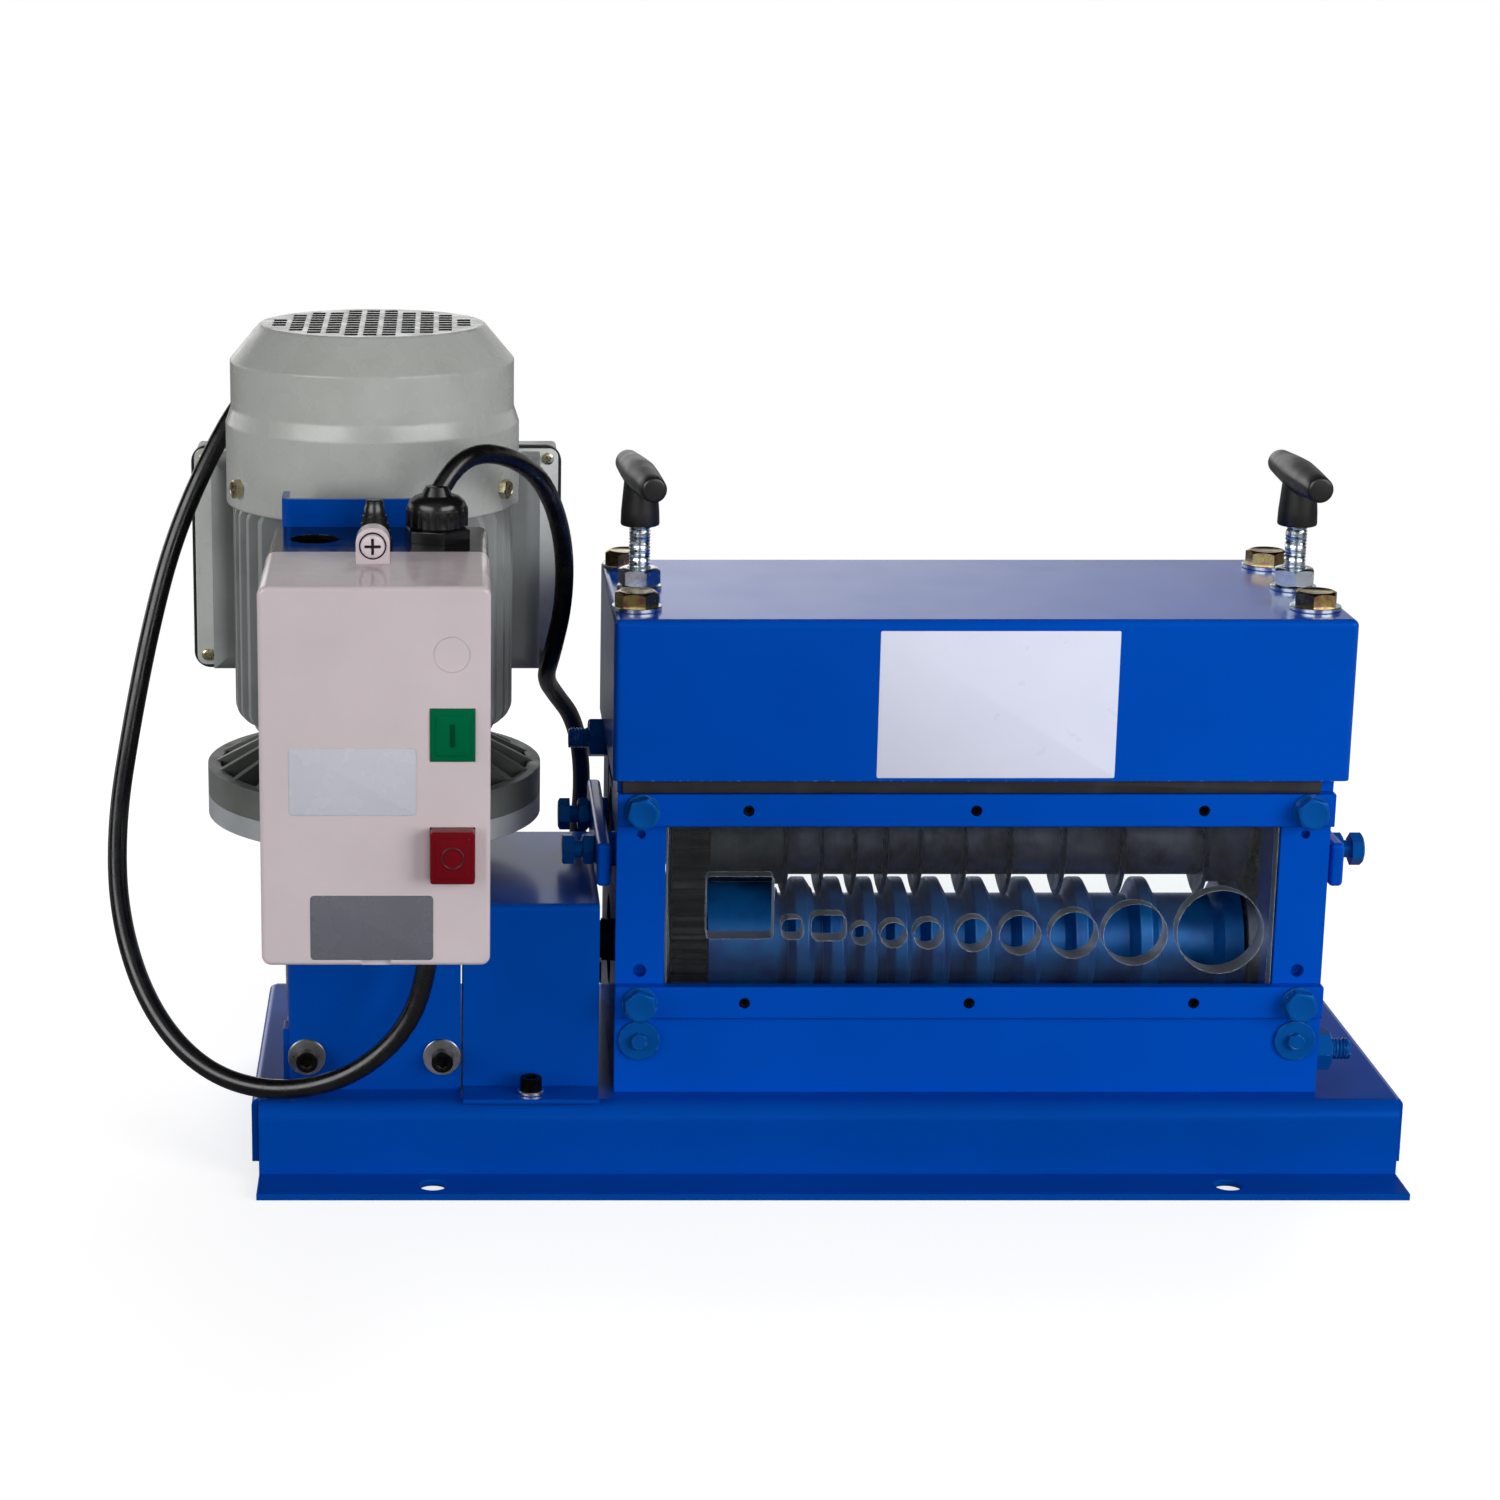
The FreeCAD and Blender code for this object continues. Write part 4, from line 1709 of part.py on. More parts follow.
def make_plug(x, y):
    """Plug that lies behind the machine, with the straight end of its lead in the coil."""
    height = "plug_thickness / 2 + 0.2"
    tail = rod("x", x, y, height, "mains_lead / 2", "plug_tail")
    nose = cone("x", x + " - plug_nose", y, height, "plug_width / 4", "mains_lead / 2", "plug_nose")
    left = x + " - plug_nose - plug_length"
    grip = box(
        left, y + " - plug_width / 2", height + " - plug_thickness / 2",
        "plug_length", "plug_width", "plug_thickness",
    )
    prongs = [
        box(
            left + " - prong_length", "%s %s plug_width / 4 - prong_width / 2" % (y, side),
            height + " - prong_gauge / 2", "prong_length + 1", "prong_width", "prong_gauge",
        )
        for side in ("-", "+")
    ]
    node(fuse(tail, nose, grip, *prongs), "mains_plug")


def main():
    """Build every sub-part."""
    make_base()
    make_deck_bolts()
    make_side("left_side_plate", "head_left", LEFT_PRESS)
    make_side("right_side_plate", RIGHT_INSIDE, RIGHT_PRESS)
    make_bar("lower_front_bar", "lower_bar_rise")
    make_bar("upper_front_bar", "upper_bar_rise")
    make_apron()
    make_front_fasteners()
    make_tie_rods()
    make_hood()
    make_hood_fasteners()
    make_feed_plate()
    make_set_screws()
    make_shafts()
    make_grooved_roller()
    make_cutter_stack()
    make_gear("feed_gear", FEED_Z, True)
    make_gear("cutter_gear", CUTTER_Z, True)
    make_bearings()
    make_blocks()
    make_springs()
    make_keepers()
    make_press_screws()
    make_seat()
    make_reducer()
    make_drive_cover()
    make_socket_screws()
    make_motor_flange()
    make_motor_frame()
    make_cowl()
    make_motor_screws()
    make_rear_box()
    make_stator_and_rotor()
    make_bracket()
    make_starter()
    make_glands()
    make_leads()


main()
doc.recompute()
for item in doc.Objects:
    for fault in ("Invalid", "Error"):
        if fault in item.State:
            raise RuntimeError("%s (%s) is %s" % (item.Name, item.Label, fault))
os.makedirs("parts", exist_ok=True)
for item in NODES:
    shape = item.Shape
    if shape.isNull() or not shape.isValid() or not shape.Solids:
        raise RuntimeError("%s has no valid solid" % item.Label)
    shape.exportStep("parts/%s.step" % item.Label)
print(len(NODES), "sub-parts")
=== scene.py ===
"""Looks of an electric wire stripping machine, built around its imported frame.

The frame brings every rigid solid of the machine. This script dresses those solids in
procedural finishes, lays finer pieces over the ones that carry detail (screw heads,
threads, the knurled drum, grips, glands, buttons and leads) and sets a plain studio.

Sizes are millimetres in the machine's own frame: X along the rollers, Y to the back,
Z up, origin on the floor between the four feet. Meshes are scaled to metres when they
are finished.
"""

import logging
import math
from dataclasses import dataclass, field
from enum import Enum
from typing import Callable, Iterable, Sequence, Union

import bpy
from mathutils import Matrix, Vector

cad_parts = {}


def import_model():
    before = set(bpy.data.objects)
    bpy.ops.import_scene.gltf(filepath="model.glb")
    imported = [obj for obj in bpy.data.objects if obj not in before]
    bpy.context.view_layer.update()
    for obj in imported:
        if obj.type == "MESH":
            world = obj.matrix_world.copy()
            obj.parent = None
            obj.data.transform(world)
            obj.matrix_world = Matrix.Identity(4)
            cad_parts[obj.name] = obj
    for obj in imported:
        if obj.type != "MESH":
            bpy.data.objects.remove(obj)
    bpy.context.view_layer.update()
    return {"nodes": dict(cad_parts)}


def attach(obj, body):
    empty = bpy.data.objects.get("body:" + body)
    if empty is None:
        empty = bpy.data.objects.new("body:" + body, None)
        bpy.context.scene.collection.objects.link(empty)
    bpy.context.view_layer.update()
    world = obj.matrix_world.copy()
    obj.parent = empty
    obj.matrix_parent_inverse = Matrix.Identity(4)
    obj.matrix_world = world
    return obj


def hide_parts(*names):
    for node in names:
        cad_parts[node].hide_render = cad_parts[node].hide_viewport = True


log = logging.getLogger("wire_stripper")

MM = 0.001
STEPS = 48
SHARP = math.radians(32)
Point = tuple[float, float, float]
Span = tuple[float, float]
Outline = Callable[[float], float]
Tree = bpy.types.NodeTree
Node = bpy.types.Node
Socket = bpy.types.NodeSocket
Mesh = bpy.types.Mesh


class Way(Enum):
    """Directions that a fastener's head can face, in the machine's frame."""

    LEFT = (-1.0, 0.0, 0.0)
    RIGHT = (1.0, 0.0, 0.0)
    FRONT = (0.0, -1.0, 0.0)
    BACK = (0.0, 1.0, 0.0)
    UP = (0.0, 0.0, 1.0)
    DOWN = (0.0, 0.0, -1.0)


def linear(colour: str) -> tuple[float, float, float, float]:
    """Turn an sRGB hex colour into the linear values that Blender's sockets hold.

    Args:
        colour: Six hex digits after a hash mark.

    Returns:
        Red, green, blue and alpha.
    """
    values = [int(colour[i : i + 2], 16) / 255 for i in (1, 3, 5)]
    red, green, blue = (v / 12.92 if v <= 0.04045 else ((v + 0.055) / 1.055) ** 2.4 for v in values)
    return red, green, blue, 1.0


def cells(size: float) -> float:
    """Pattern scale, in cells a metre, that gives a cell of this many millimetres."""
    return 1 / (size * MM)


def add(tree: Tree, kind: str, inputs: dict | None = None, **settings) -> Node:
    """Add a node with its settings, values and links.

    Args:
        tree: Tree that takes the node.
        kind: The node's type name.
        inputs: Value or linked output socket for each input, by name or by place.
        settings: The node's own properties.

    Returns:
        The new node.
    """
    node = tree.nodes.new(kind)
    for name, value in settings.items():
        setattr(node, name, value)
    for key, value in (inputs or {}).items():
        if isinstance(value, Socket):
            tree.links.new(value, node.inputs[key])
        else:
            node.inputs[key].default_value = value
    return node


def blank(owner: bpy.types.Material | bpy.types.World) -> Tree:
    """Empty the node tree of a material or a world, and return it."""
    owner.use_nodes = True
    owner.node_tree.nodes.clear()
    return owner.node_tree


def linked(name: str, data: bpy.types.ID) -> bpy.types.Object:
    """Make an object of some data, and put it in the scene."""
    made = bpy.data.objects.new(name, data)
    bpy.context.scene.collection.objects.link(made)
    return made


def ray_kinds(tree: Tree) -> tuple[Socket, Socket]:
    """Tell rays that reach the eye from mirrored ones, which clear sheet would mix up.

    Args:
        tree: Tree that takes the nodes.

    Returns:
        1 on a camera ray or one through clear sheet, and 1 on a mirrored ray.
    """
    path = add(tree, "ShaderNodeLightPath")
    through = path.outputs["Is Transmission Ray"]
    seen = add(tree, "ShaderNodeMath", {0: path.outputs["Is Camera Ray"], 1: through}, operation="MAXIMUM")
    mirrored = add(
        tree, "ShaderNodeMath", {0: path.outputs["Is Glossy Ray"], 1: through}, operation="SUBTRACT",
        use_clamp=True,
    )
    return seen.outputs[0], mirrored.outputs[0]


# Finishes


@dataclass(frozen=True)
class Finish:
    """A surface finish: one procedural material, made the first time it is asked for."""

    name: str
    colour: str = "#808080"

    def material(self) -> bpy.types.Material:
        """Return the finish's material."""
        made = bpy.data.materials.get(self.name)
        if made:
            return made
        made = bpy.data.materials.new(self.name)
        tree = blank(made)
        shader = add(tree, "ShaderNodeBsdfPrincipled", {"Base Color": linear(self.colour)})
        self.wire(tree, shader, add(tree, "ShaderNodeTexCoord").outputs["Object"])
        add(tree, "ShaderNodeOutputMaterial", {"Surface": self.surface(tree, shader)})
        return made

    def wire(self, tree: Tree, shader: Node, where: Socket) -> None:
        """Set the shader's values and patterns.

        Args:
            tree: The material's tree.
            shader: Its shader, which holds the main colour.
            where: Coordinates of the patterns, fixed to the piece.
        """
        raise NotImplementedError

    def surface(self, tree: Tree, shader: Node) -> Socket:
        """Return the output that reaches the surface."""
        return shader.outputs["BSDF"]

    def cloud(
        self, tree: Tree, where: Socket, size: float, ends: Span, share: Span = (0.3, 0.7),
        detail: float = 3.0,
    ) -> Socket:
        """Return a value that drifts over the surface like a cloud.

        Args:
            tree: Tree that takes the nodes.
            where: Coordinates of the pattern.
            size: Size of its cells in millimetres.
            ends: Lowest and highest value.
            share: Levels of the noise that give them.
            detail: How ragged the cloud is.

        Returns:
            The value.
        """
        noise = add(tree, "ShaderNodeTexNoise", {"Vector": where, "Scale": cells(size), "Detail": detail})
        drift = add(
            tree, "ShaderNodeMapRange",
            {
                "Value": noise.outputs[0], "From Min": share[0], "From Max": share[1],
                "To Min": ends[0], "To Max": ends[1],
            },
        )
        return drift.outputs[0]

    def lay(self, tree: Tree, shader: Node, share: Socket, tone: str) -> None:
        """Lay a tone over the colour that the shader has so far, by a share from 0 to 1."""
        colour = shader.inputs["Base Color"]
        under = colour.links[0].from_socket if colour.is_linked else tuple(colour.default_value)
        mixed = add(tree, "ShaderNodeMix", {0: share, 6: under, 7: linear(tone)}, data_type="RGBA")
        tree.links.new(mixed.outputs[2], colour)

    def gloss(self, tree: Tree, shader: Node, where: Socket, size: float, ends: Span) -> None:
        """Let the roughness drift between two ends, in patches of this size."""
        tree.links.new(self.cloud(tree, where, size, ends), shader.inputs["Roughness"])

    def soft_edges(self, tree: Tree, shader: Node, radius: float) -> Node:
        """Round the sharp edges to this radius in the shading, and return the node that does it."""
        rounded = add(tree, "ShaderNodeBevel", {"Radius": radius * MM}, samples=4)
        tree.links.new(rounded.outputs[0], shader.inputs["Normal"])
        return rounded

    def worn_edge(self, tree: Tree, rounded: Node, low: float = 0.8) -> Socket:
        """Return 1 on sharp edges and 0 elsewhere, from how far the rounding turns the surface."""
        flat = add(tree, "ShaderNodeNewGeometry").outputs["True Normal"]
        facing = add(tree, "ShaderNodeVectorMath", {0: rounded.outputs[0], 1: flat}, operation="DOT_PRODUCT")
        share = add(
            tree, "ShaderNodeMapRange",
            {
                "Value": facing.outputs["Value"], "From Min": low, "From Max": 0.97,
                "To Min": 1.0, "To Max": 0.0,
            },
        )
        return share.outputs[0]

    def relief(self, tree: Tree, shader: Node, height: Socket, depth: float, strength: float = 0.5) -> None:
        """Raise the surface by a height pattern, this many millimetres deep."""
        normal = shader.inputs["Normal"]
        inputs = {"Height": height, "Strength": strength, "Distance": depth * MM}
        if normal.is_linked:
            inputs["Normal"] = normal.links[0].from_socket
        tree.links.new(add(tree, "ShaderNodeBump", inputs).outputs[0], normal)

    def grain(
        self, tree: Tree, shader: Node, where: Socket, size: float, detail: float, depth: float,
        strength: float = 0.5,
    ) -> None:
        """Raise the surface by a fine grain, its size and depth in millimetres."""
        noise = add(tree, "ShaderNodeTexNoise", {"Vector": where, "Scale": cells(size), "Detail": detail})
        self.relief(tree, shader, noise.outputs[0], depth, strength)


@dataclass(frozen=True)
class SprayedEnamel(Finish):
    """Glossy enamel sprayed on steel plate: orange peel, soft edges and a few chips.

    The sheen is blue, because the thick wet-looking coat tints what it mirrors head on.
    """

    colour: str = "#004AB8"
    thin: str = "#0046AE"
    sheen: str = "#3089E7"
    roughness: float = 0.17
    drift: float = 75.0
    patch: float = 22.0
    peel: float = 1.7
    edge: float = 0.7
    chips: float = 0.0
    speck: float = 2.4
    primer: str = "#2A2F3A"

    def wire(self, tree: Tree, shader: Node, where: Socket) -> None:
        """Uneven coat, orange peel, rounded sheet edges and worn edge specks."""
        self.lay(tree, shader, self.cloud(tree, where, self.drift, (0.0, 1.0)), self.thin)
        rounded = self.soft_edges(tree, shader, self.edge)
        if self.chips:
            specks = self.cloud(tree, where, self.speck, (0.0, self.chips), (0.56, 0.62), 5.0)
            worn = add(
                tree, "ShaderNodeMath", {0: self.worn_edge(tree, rounded), 1: specks}, operation="MULTIPLY"
            )
            self.lay(tree, shader, worn.outputs[0], self.primer)
        self.gloss(tree, shader, where, self.patch, (self.roughness - 0.01, self.roughness + 0.02))
        self.grain(tree, shader, where, self.peel, 2.0, 0.03, 0.25)
        shader.inputs["IOR"].default_value = 1.52
        shader.inputs["Specular Tint"].default_value = linear(self.sheen)


@dataclass(frozen=True)
class TurnedSteel(Finish):
    """Machined bar steel: fine turning marks around X, an oil film and dull patches."""

    colour: str = "#A9A8A6"
    stain: str = "#6E6C6A"
    roughness: float = 0.34
    mark: float = 0.5
    along: Point = (1.0, 0.04, 0.04)
    depth: float = 0.02
    metal: float = 1.0
    patch: float = 16.0

    def wire(self, tree: Tree, shader: Node, where: Socket) -> None:
        """Turning marks from noise that is squeezed along one axis, under oil stains."""
        lines = add(tree, "ShaderNodeMapping", {"Vector": where, "Scale": self.along})
        marks = add(
            tree, "ShaderNodeTexNoise", {"Vector": lines.outputs[0], "Scale": cells(self.mark), "Detail": 2.0}
        )
        self.lay(tree, shader, self.cloud(tree, where, self.patch, (0.0, 1.0), (0.42, 0.68), 5.0), self.stain)
        dull = add(
            tree, "ShaderNodeMapRange",
            {
                "Value": marks.outputs[0], "From Min": 0.3, "From Max": 0.7,
                "To Min": self.roughness - 0.08, "To Max": self.roughness + 0.12,
            },
        )
        tree.links.new(dull.outputs[0], shader.inputs["Roughness"])
        self.relief(tree, shader, marks.outputs[0], self.depth, 0.6)
        shader.inputs["Metallic"].default_value = self.metal


@dataclass(frozen=True)
class PlatedSteel(Finish):
    """Zinc plate on a fastener: bright, with hues that drift where it is passivated."""

    colour: str = "#CDD2D6"
    drift: str = "#BFC8D0"
    third: str = "#C6CCD2"
    roughness: float = 0.24
    patch: float = 9.0

    def wire(self, tree: Tree, shader: Node, where: Socket) -> None:
        """Three hues that run into each other over a few millimetres."""
        first = self.cloud(tree, where, self.patch, (0.0, 1.0), (0.4, 0.6), 2.0)
        self.lay(tree, shader, first, self.drift)
        second = self.cloud(tree, where, self.patch * 1.7, (0.0, 1.0), (0.48, 0.66), 1.0)
        self.lay(tree, shader, second, self.third)
        self.gloss(tree, shader, where, 2.5, (self.roughness - 0.05, self.roughness + 0.08))
        self.grain(tree, shader, where, 1.5, 3.0, 0.004, 0.3)
        shader.inputs["Metallic"].default_value = 1.0


@dataclass(frozen=True)
class PaintedMetal(Finish):
    """Satin machine paint on a casting or a pressing: grain of the metal, grime in patches."""

    colour: str = "#9A9E9D"
    grime: str = "#6F7271"
    roughness: float = 0.4
    grit: float = 1.4
    depth: float = 0.08
    dirt: float = 0.5
    edge: float = 0.5

    def wire(self, tree: Tree, shader: Node, where: Socket) -> None:
        """Colour darkened by grime, with the grain of the metal under the paint."""
        self.lay(tree, shader, self.cloud(tree, where, 28.0, (0.0, self.dirt), (0.45, 0.75), 6.0), self.grime)
        self.gloss(tree, shader, where, 11.0, (self.roughness - 0.06, self.roughness + 0.1))
        self.soft_edges(tree, shader, self.edge)
        self.grain(tree, shader, where, self.grit, 4.0, self.depth)


@dataclass(frozen=True)
class CowlPaint(PaintedMetal):
    """Gloss paint on the outside of a pressed cowl, with painted shade on the faces toward its axis and on
    the walls of the grille's holes.
    """

    # Colour of the painted shade on the faces toward the axis and the grille's hole walls.
    shade_inside: str = "#161717"
    axis: Point = (-206.0, 22.0, 0.0)
    grille: float = 50.0

    def wire(self, tree: Tree, shader: Node, where: Socket) -> None:
        """Paint the outside, then paint shade on what faces the axis and on the walls of the grille's holes.
        """
        super().wire(tree, shader, where)
        axis = tuple(value * MM for value in self.axis)
        level = (1.0, 1.0, 0.0)
        away = add(tree, "ShaderNodeVectorMath", {0: where, 1: axis}, operation="SUBTRACT").outputs[0]
        away = add(tree, "ShaderNodeVectorMath", {0: away, 1: level}, operation="MULTIPLY").outputs[0]
        reach = add(tree, "ShaderNodeVectorMath", {0: away}, operation="LENGTH").outputs["Value"]
        way = add(tree, "ShaderNodeVectorMath", {0: away}, operation="NORMALIZE").outputs[0]
        flat = add(tree, "ShaderNodeNewGeometry").outputs["True Normal"]
        facing = add(tree, "ShaderNodeVectorMath", {0: way, 1: flat}, operation="DOT_PRODUCT")
        upward = add(tree, "ShaderNodeSeparateXYZ", {0: flat}).outputs["Z"]
        inner, near, side = (
            add(
                tree, "ShaderNodeMapRange",
                {"Value": value, "From Min": low, "From Max": high, "To Min": 1.0, "To Max": 0.0},
            ).outputs[0]
            for value, low, high in (
                (facing.outputs["Value"], -0.4, -0.2),
                (reach, self.grille * MM, (self.grille + 1.0) * MM),
                (upward, 0.3, 0.6),
            )
        )
        walls = add(tree, "ShaderNodeMath", {0: near, 1: side}, operation="MULTIPLY").outputs[0]
        # Painted shade: a mask of the faces toward the axis and of the grille's hole walls, laid in the dark
        # colour.
        bare = add(tree, "ShaderNodeMath", {0: inner, 1: walls}, operation="MAXIMUM").outputs[0]
        self.lay(tree, shader, bare, self.shade_inside)


@dataclass(frozen=True)
class MouldedPlastic(Finish):
    """Injection moulded plastic: fine spark texture of the mould, faint flow clouds."""

    colour: str = "#C6BFC0"
    haze: str = "#BDB5B6"
    roughness: float = 0.42
    grit: float = 0.7
    depth: float = 0.02
    edge: float = 0.4
    scatter: float = 0.0
    tint: str = "#FFFFFF"

    def wire(self, tree: Tree, shader: Node, where: Socket) -> None:
        """Faint clouds in the colour and the mould's grain in the surface."""
        self.lay(tree, shader, self.cloud(tree, where, 40.0, (0.0, 1.0)), self.haze)
        self.gloss(tree, shader, where, 9.0, (self.roughness - 0.05, self.roughness + 0.07))
        self.soft_edges(tree, shader, self.edge)
        self.grain(tree, shader, where, self.grit, 2.0, self.depth)
        shader.inputs["IOR"].default_value = 1.5
        shader.inputs["Specular Tint"].default_value = linear(self.tint)
        if self.scatter:
            shader.inputs["Subsurface Weight"].default_value = self.scatter
            shader.inputs["Subsurface Scale"].default_value = 1.0 * MM


@dataclass(frozen=True)
class ClearSheet(Finish):
    """Cast acrylic sheet: clear faces, frosted cut walls and chipped white rims."""

    colour: str = "#F2F6F7"
    wall: str = "#B0B5B8"
    chipped: str = "#F1F4F5"
    seen_through: str = "#D5DEDF"
    sawn: float = 0.42
    edge: float = 0.5
    mirror: float = 0.2

    def wire(self, tree: Tree, shader: Node, where: Socket) -> None:
        """Smooth where the sheet faces front or back, rough on every cut wall, white on rims."""
        flat = add(tree, "ShaderNodeNewGeometry").outputs["True Normal"]
        sides = add(tree, "ShaderNodeSeparateXYZ", {0: flat}).outputs["Y"]
        facing = add(tree, "ShaderNodeMath", {0: sides}, operation="ABSOLUTE").outputs[0]
        cut = add(
            tree, "ShaderNodeMapRange",
            {"Value": facing, "From Min": 0.5, "From Max": 0.9, "To Min": 1.0, "To Max": 0.0},
        ).outputs[0]
        rounded = add(tree, "ShaderNodeBevel", {"Radius": self.edge * MM}, samples=4)
        chips = self.cloud(tree, where, 1.3, (0.25, 1.0), (0.4, 0.6), 4.0)
        scuffs = self.cloud(tree, where, 3.0, (0.0, 0.02), (0.56, 0.75), 6.0)
        rim = add(
            tree, "ShaderNodeMath", {0: self.worn_edge(tree, rounded, 0.7), 1: chips}, operation="MULTIPLY"
        ).outputs[0]
        walls, through_walls, through_rims = (
            add(tree, "ShaderNodeMapRange", {"Value": value, "To Min": start, "To Max": end}).outputs[0]
            for value, start, end in ((cut, 0.0, self.sawn), (cut, 1.0, 0.7), (rim, 1.0, 0.1))
        )
        clear = add(tree, "ShaderNodeMath", {0: through_walls, 1: through_rims}, operation="MULTIPLY")
        tree.links.new(clear.outputs[0], shader.inputs["Transmission Weight"])
        rough = add(tree, "ShaderNodeMath", {0: walls, 1: scuffs}, operation="ADD")
        tree.links.new(rough.outputs[0], shader.inputs["Roughness"])
        self.lay(tree, shader, cut, self.wall)
        self.lay(tree, shader, rim, self.chipped)
        marks = add(tree, "ShaderNodeMath", {0: chips, 1: cut}, operation="MULTIPLY")
        self.relief(tree, shader, marks.outputs[0], 0.1, 0.4)
        shader.inputs["IOR"].default_value = 1.49
        shader.inputs["Specular IOR Level"].default_value = self.mirror

    def surface(self, tree: Tree, shader: Node) -> Socket:
        """Let lamp light and mirrored rays through the sheet, which it would otherwise lose."""
        path = add(tree, "ShaderNodeLightPath")
        lost = path.outputs["Is Shadow Ray"]
        for ray in (path.outputs["Is Diffuse Ray"], ray_kinds(tree)[1]):
            lost = add(tree, "ShaderNodeMath", {0: lost, 1: ray}, operation="MAXIMUM").outputs[0]
        clear = add(tree, "ShaderNodeBsdfTransparent", {"Color": linear(self.seen_through)})
        mixed = add(tree, "ShaderNodeMixShader", {0: lost, 1: shader.outputs[0], 2: clear.outputs[0]})
        return mixed.outputs[0]


@dataclass(frozen=True)
class Jacket(Finish):
    """Extruded PVC lead jacket: black, half gloss, dusty in streaks."""

    colour: str = "#0A0A0B"
    dust: str = "#1C1C1E"
    roughness: float = 0.22

    def wire(self, tree: Tree, shader: Node, where: Socket) -> None:
        """Dust in the colour and a soft waviness from the extruder."""
        self.lay(tree, shader, self.cloud(tree, where, 14.0, (0.0, 0.8), (0.5, 0.8), 5.0), self.dust)
        self.gloss(tree, shader, where, 6.0, (self.roughness - 0.06, self.roughness + 0.12))
        self.grain(tree, shader, where, 2.5, 3.0, 0.06, 0.3)


@dataclass(frozen=True)
class WoundCopper(Finish):
    """Stacked laminations with varnished copper windings: bands of steel and copper."""

    colour: str = "#5B5550"
    copper: str = "#9A5A32"
    band: float = 2.5

    def wire(self, tree: Tree, shader: Node, where: Socket) -> None:
        """Thin level bands, as thick as five laminations so that they show."""
        bands = add(
            tree, "ShaderNodeTexWave", {"Vector": where, "Scale": cells(self.band) / 20, "Distortion": 0.4},
            bands_direction="Z",
        ).outputs[0]
        self.lay(tree, shader, bands, self.copper)
        shader.inputs["Metallic"].default_value = 0.8
        shader.inputs["Roughness"].default_value = 0.45
        self.relief(tree, shader, bands, 0.1)


# Blue enamel on plate looks wet and even; on bolt heads and the hood's edges it is chipped.
BLUE = SprayedEnamel("blue_enamel_sprayed")
BLUE_WORN = SprayedEnamel("blue_enamel_worn_edges", chips=0.9, primer="#A9B4C4")
# A darker copy of the blue enamel: painted shade on the base, the starter bracket, the reducer seat and the
# drive cover.
BLUE_SHADED = SprayedEnamel("blue_enamel_painted_shade", colour="#0042A0", thin="#003E98")
BLUE_HEADS = SprayedEnamel(
    "blue_enamel_on_bolt_heads", colour="#074E9C", thin="#03458A", roughness=0.14, peel=1.1, chips=0.8,
    primer="#8E9AA0", edge=0.4,
)
# Turned and ground steel shows rings and oil; the roller's blue is a painted reflection of the blue paint
# around it, so it reads as blue metal.
ROLLER_BLUE_REFLECTION = TurnedSteel(
    "grooved_roller_painted_blue_reflection", colour="#0C5EA4", stain="#053B80", roughness=0.36, mark=0.7, metal=0.35
)
# The feed shaft's steel is darkened: painted shade for the gap beside the drive cover, where it shows.
SHADED_FEED_SHAFT = TurnedSteel("feed_shaft_painted_shade", colour="#2A2826", stain="#151413", roughness=0.45)
SHAFT = TurnedSteel("bright_drawn_bar", colour="#B9B8B5", stain="#8A8886", roughness=0.28)
SPACER = TurnedSteel(
    "spacer_turned_steel", colour="#8E8A9C", stain="#4C4856", roughness=0.5, mark=1.1, depth=0.08
)
BLADE = TurnedSteel("disc_blade_ground_steel", colour="#7E93AC", stain="#2E4A74", roughness=0.3, mark=0.35)
DRUM = TurnedSteel(
    "knurled_drum_steel", colour="#6A6C70", stain="#3A3A3A", roughness=0.5, mark=0.9, depth=0.04
)
GEAR = TurnedSteel("cut_gear_oiled_steel", colour="#3C3A38", stain="#1C1B19", roughness=0.5, mark=0.9)
BEARING = TurnedSteel(
    "bearing_ring_ground_steel", colour="#C4C5C6", stain="#A5A6A8", roughness=0.2, mark=0.3
)
BLOCK = TurnedSteel(
    "bearing_block_milled_steel", colour="#8F8F8E", stain="#5E5D5B", roughness=0.44, mark=1.2,
    along=(0.1, 0.1, 1.0),
)
SPRING = TurnedSteel("spring_wire", colour="#8A8A8C", stain="#58585A", roughness=0.3, along=(1.0, 1.0, 1.0))
# Plated fasteners mirror the room: clear zinc is bluish, passivated zinc drifts from gold to pink.
ZINC = PlatedSteel("clear_zinc_plate", colour="#DDE4E8", drift="#CFD9DF", third="#D6DDE0", roughness=0.2)
YELLOW_ZINC = PlatedSteel(
    "yellow_passivated_zinc", colour="#B9A45E", drift="#9E725C", third="#A99F6C", roughness=0.2, patch=3.5
)
PALE_ZINC = PlatedSteel(
    "pale_yellow_zinc_on_screws", colour="#CFC49A", drift="#BFA98A", third="#B9B79A", roughness=0.26,
    patch=3.0,
)
WASHER_STEEL = PlatedSteel(
    "plain_washer_steel", colour="#D2D2D2", drift="#B4B2B0", third="#DADADA", roughness=0.3, patch=5.0
)
BLACK_OXIDE = PlatedSteel(
    "black_oxide_steel", colour="#1B1B1C", drift="#131313", third="#262422", roughness=0.42
)
BRONZE = PlatedSteel(
    "worm_wheel_bronze", colour="#A87B3E", drift="#94692F", third="#7E5A2C", roughness=0.36
)
# Grey machine paint is satin on castings, with the sand's grain, and glossy on the pressed cowl.
COWL_GREY = CowlPaint(
    "cowl_grey_gloss_paint", colour="#ADAFAB", grime="#92938C", roughness=0.25, grit=2.2, depth=0.07,
    dirt=0.3, edge=1.6,
)
CAST_GREY = PaintedMetal(
    "motor_grey_on_casting", colour="#8F9392", grime="#5E615F", roughness=0.42, grit=1.1
)
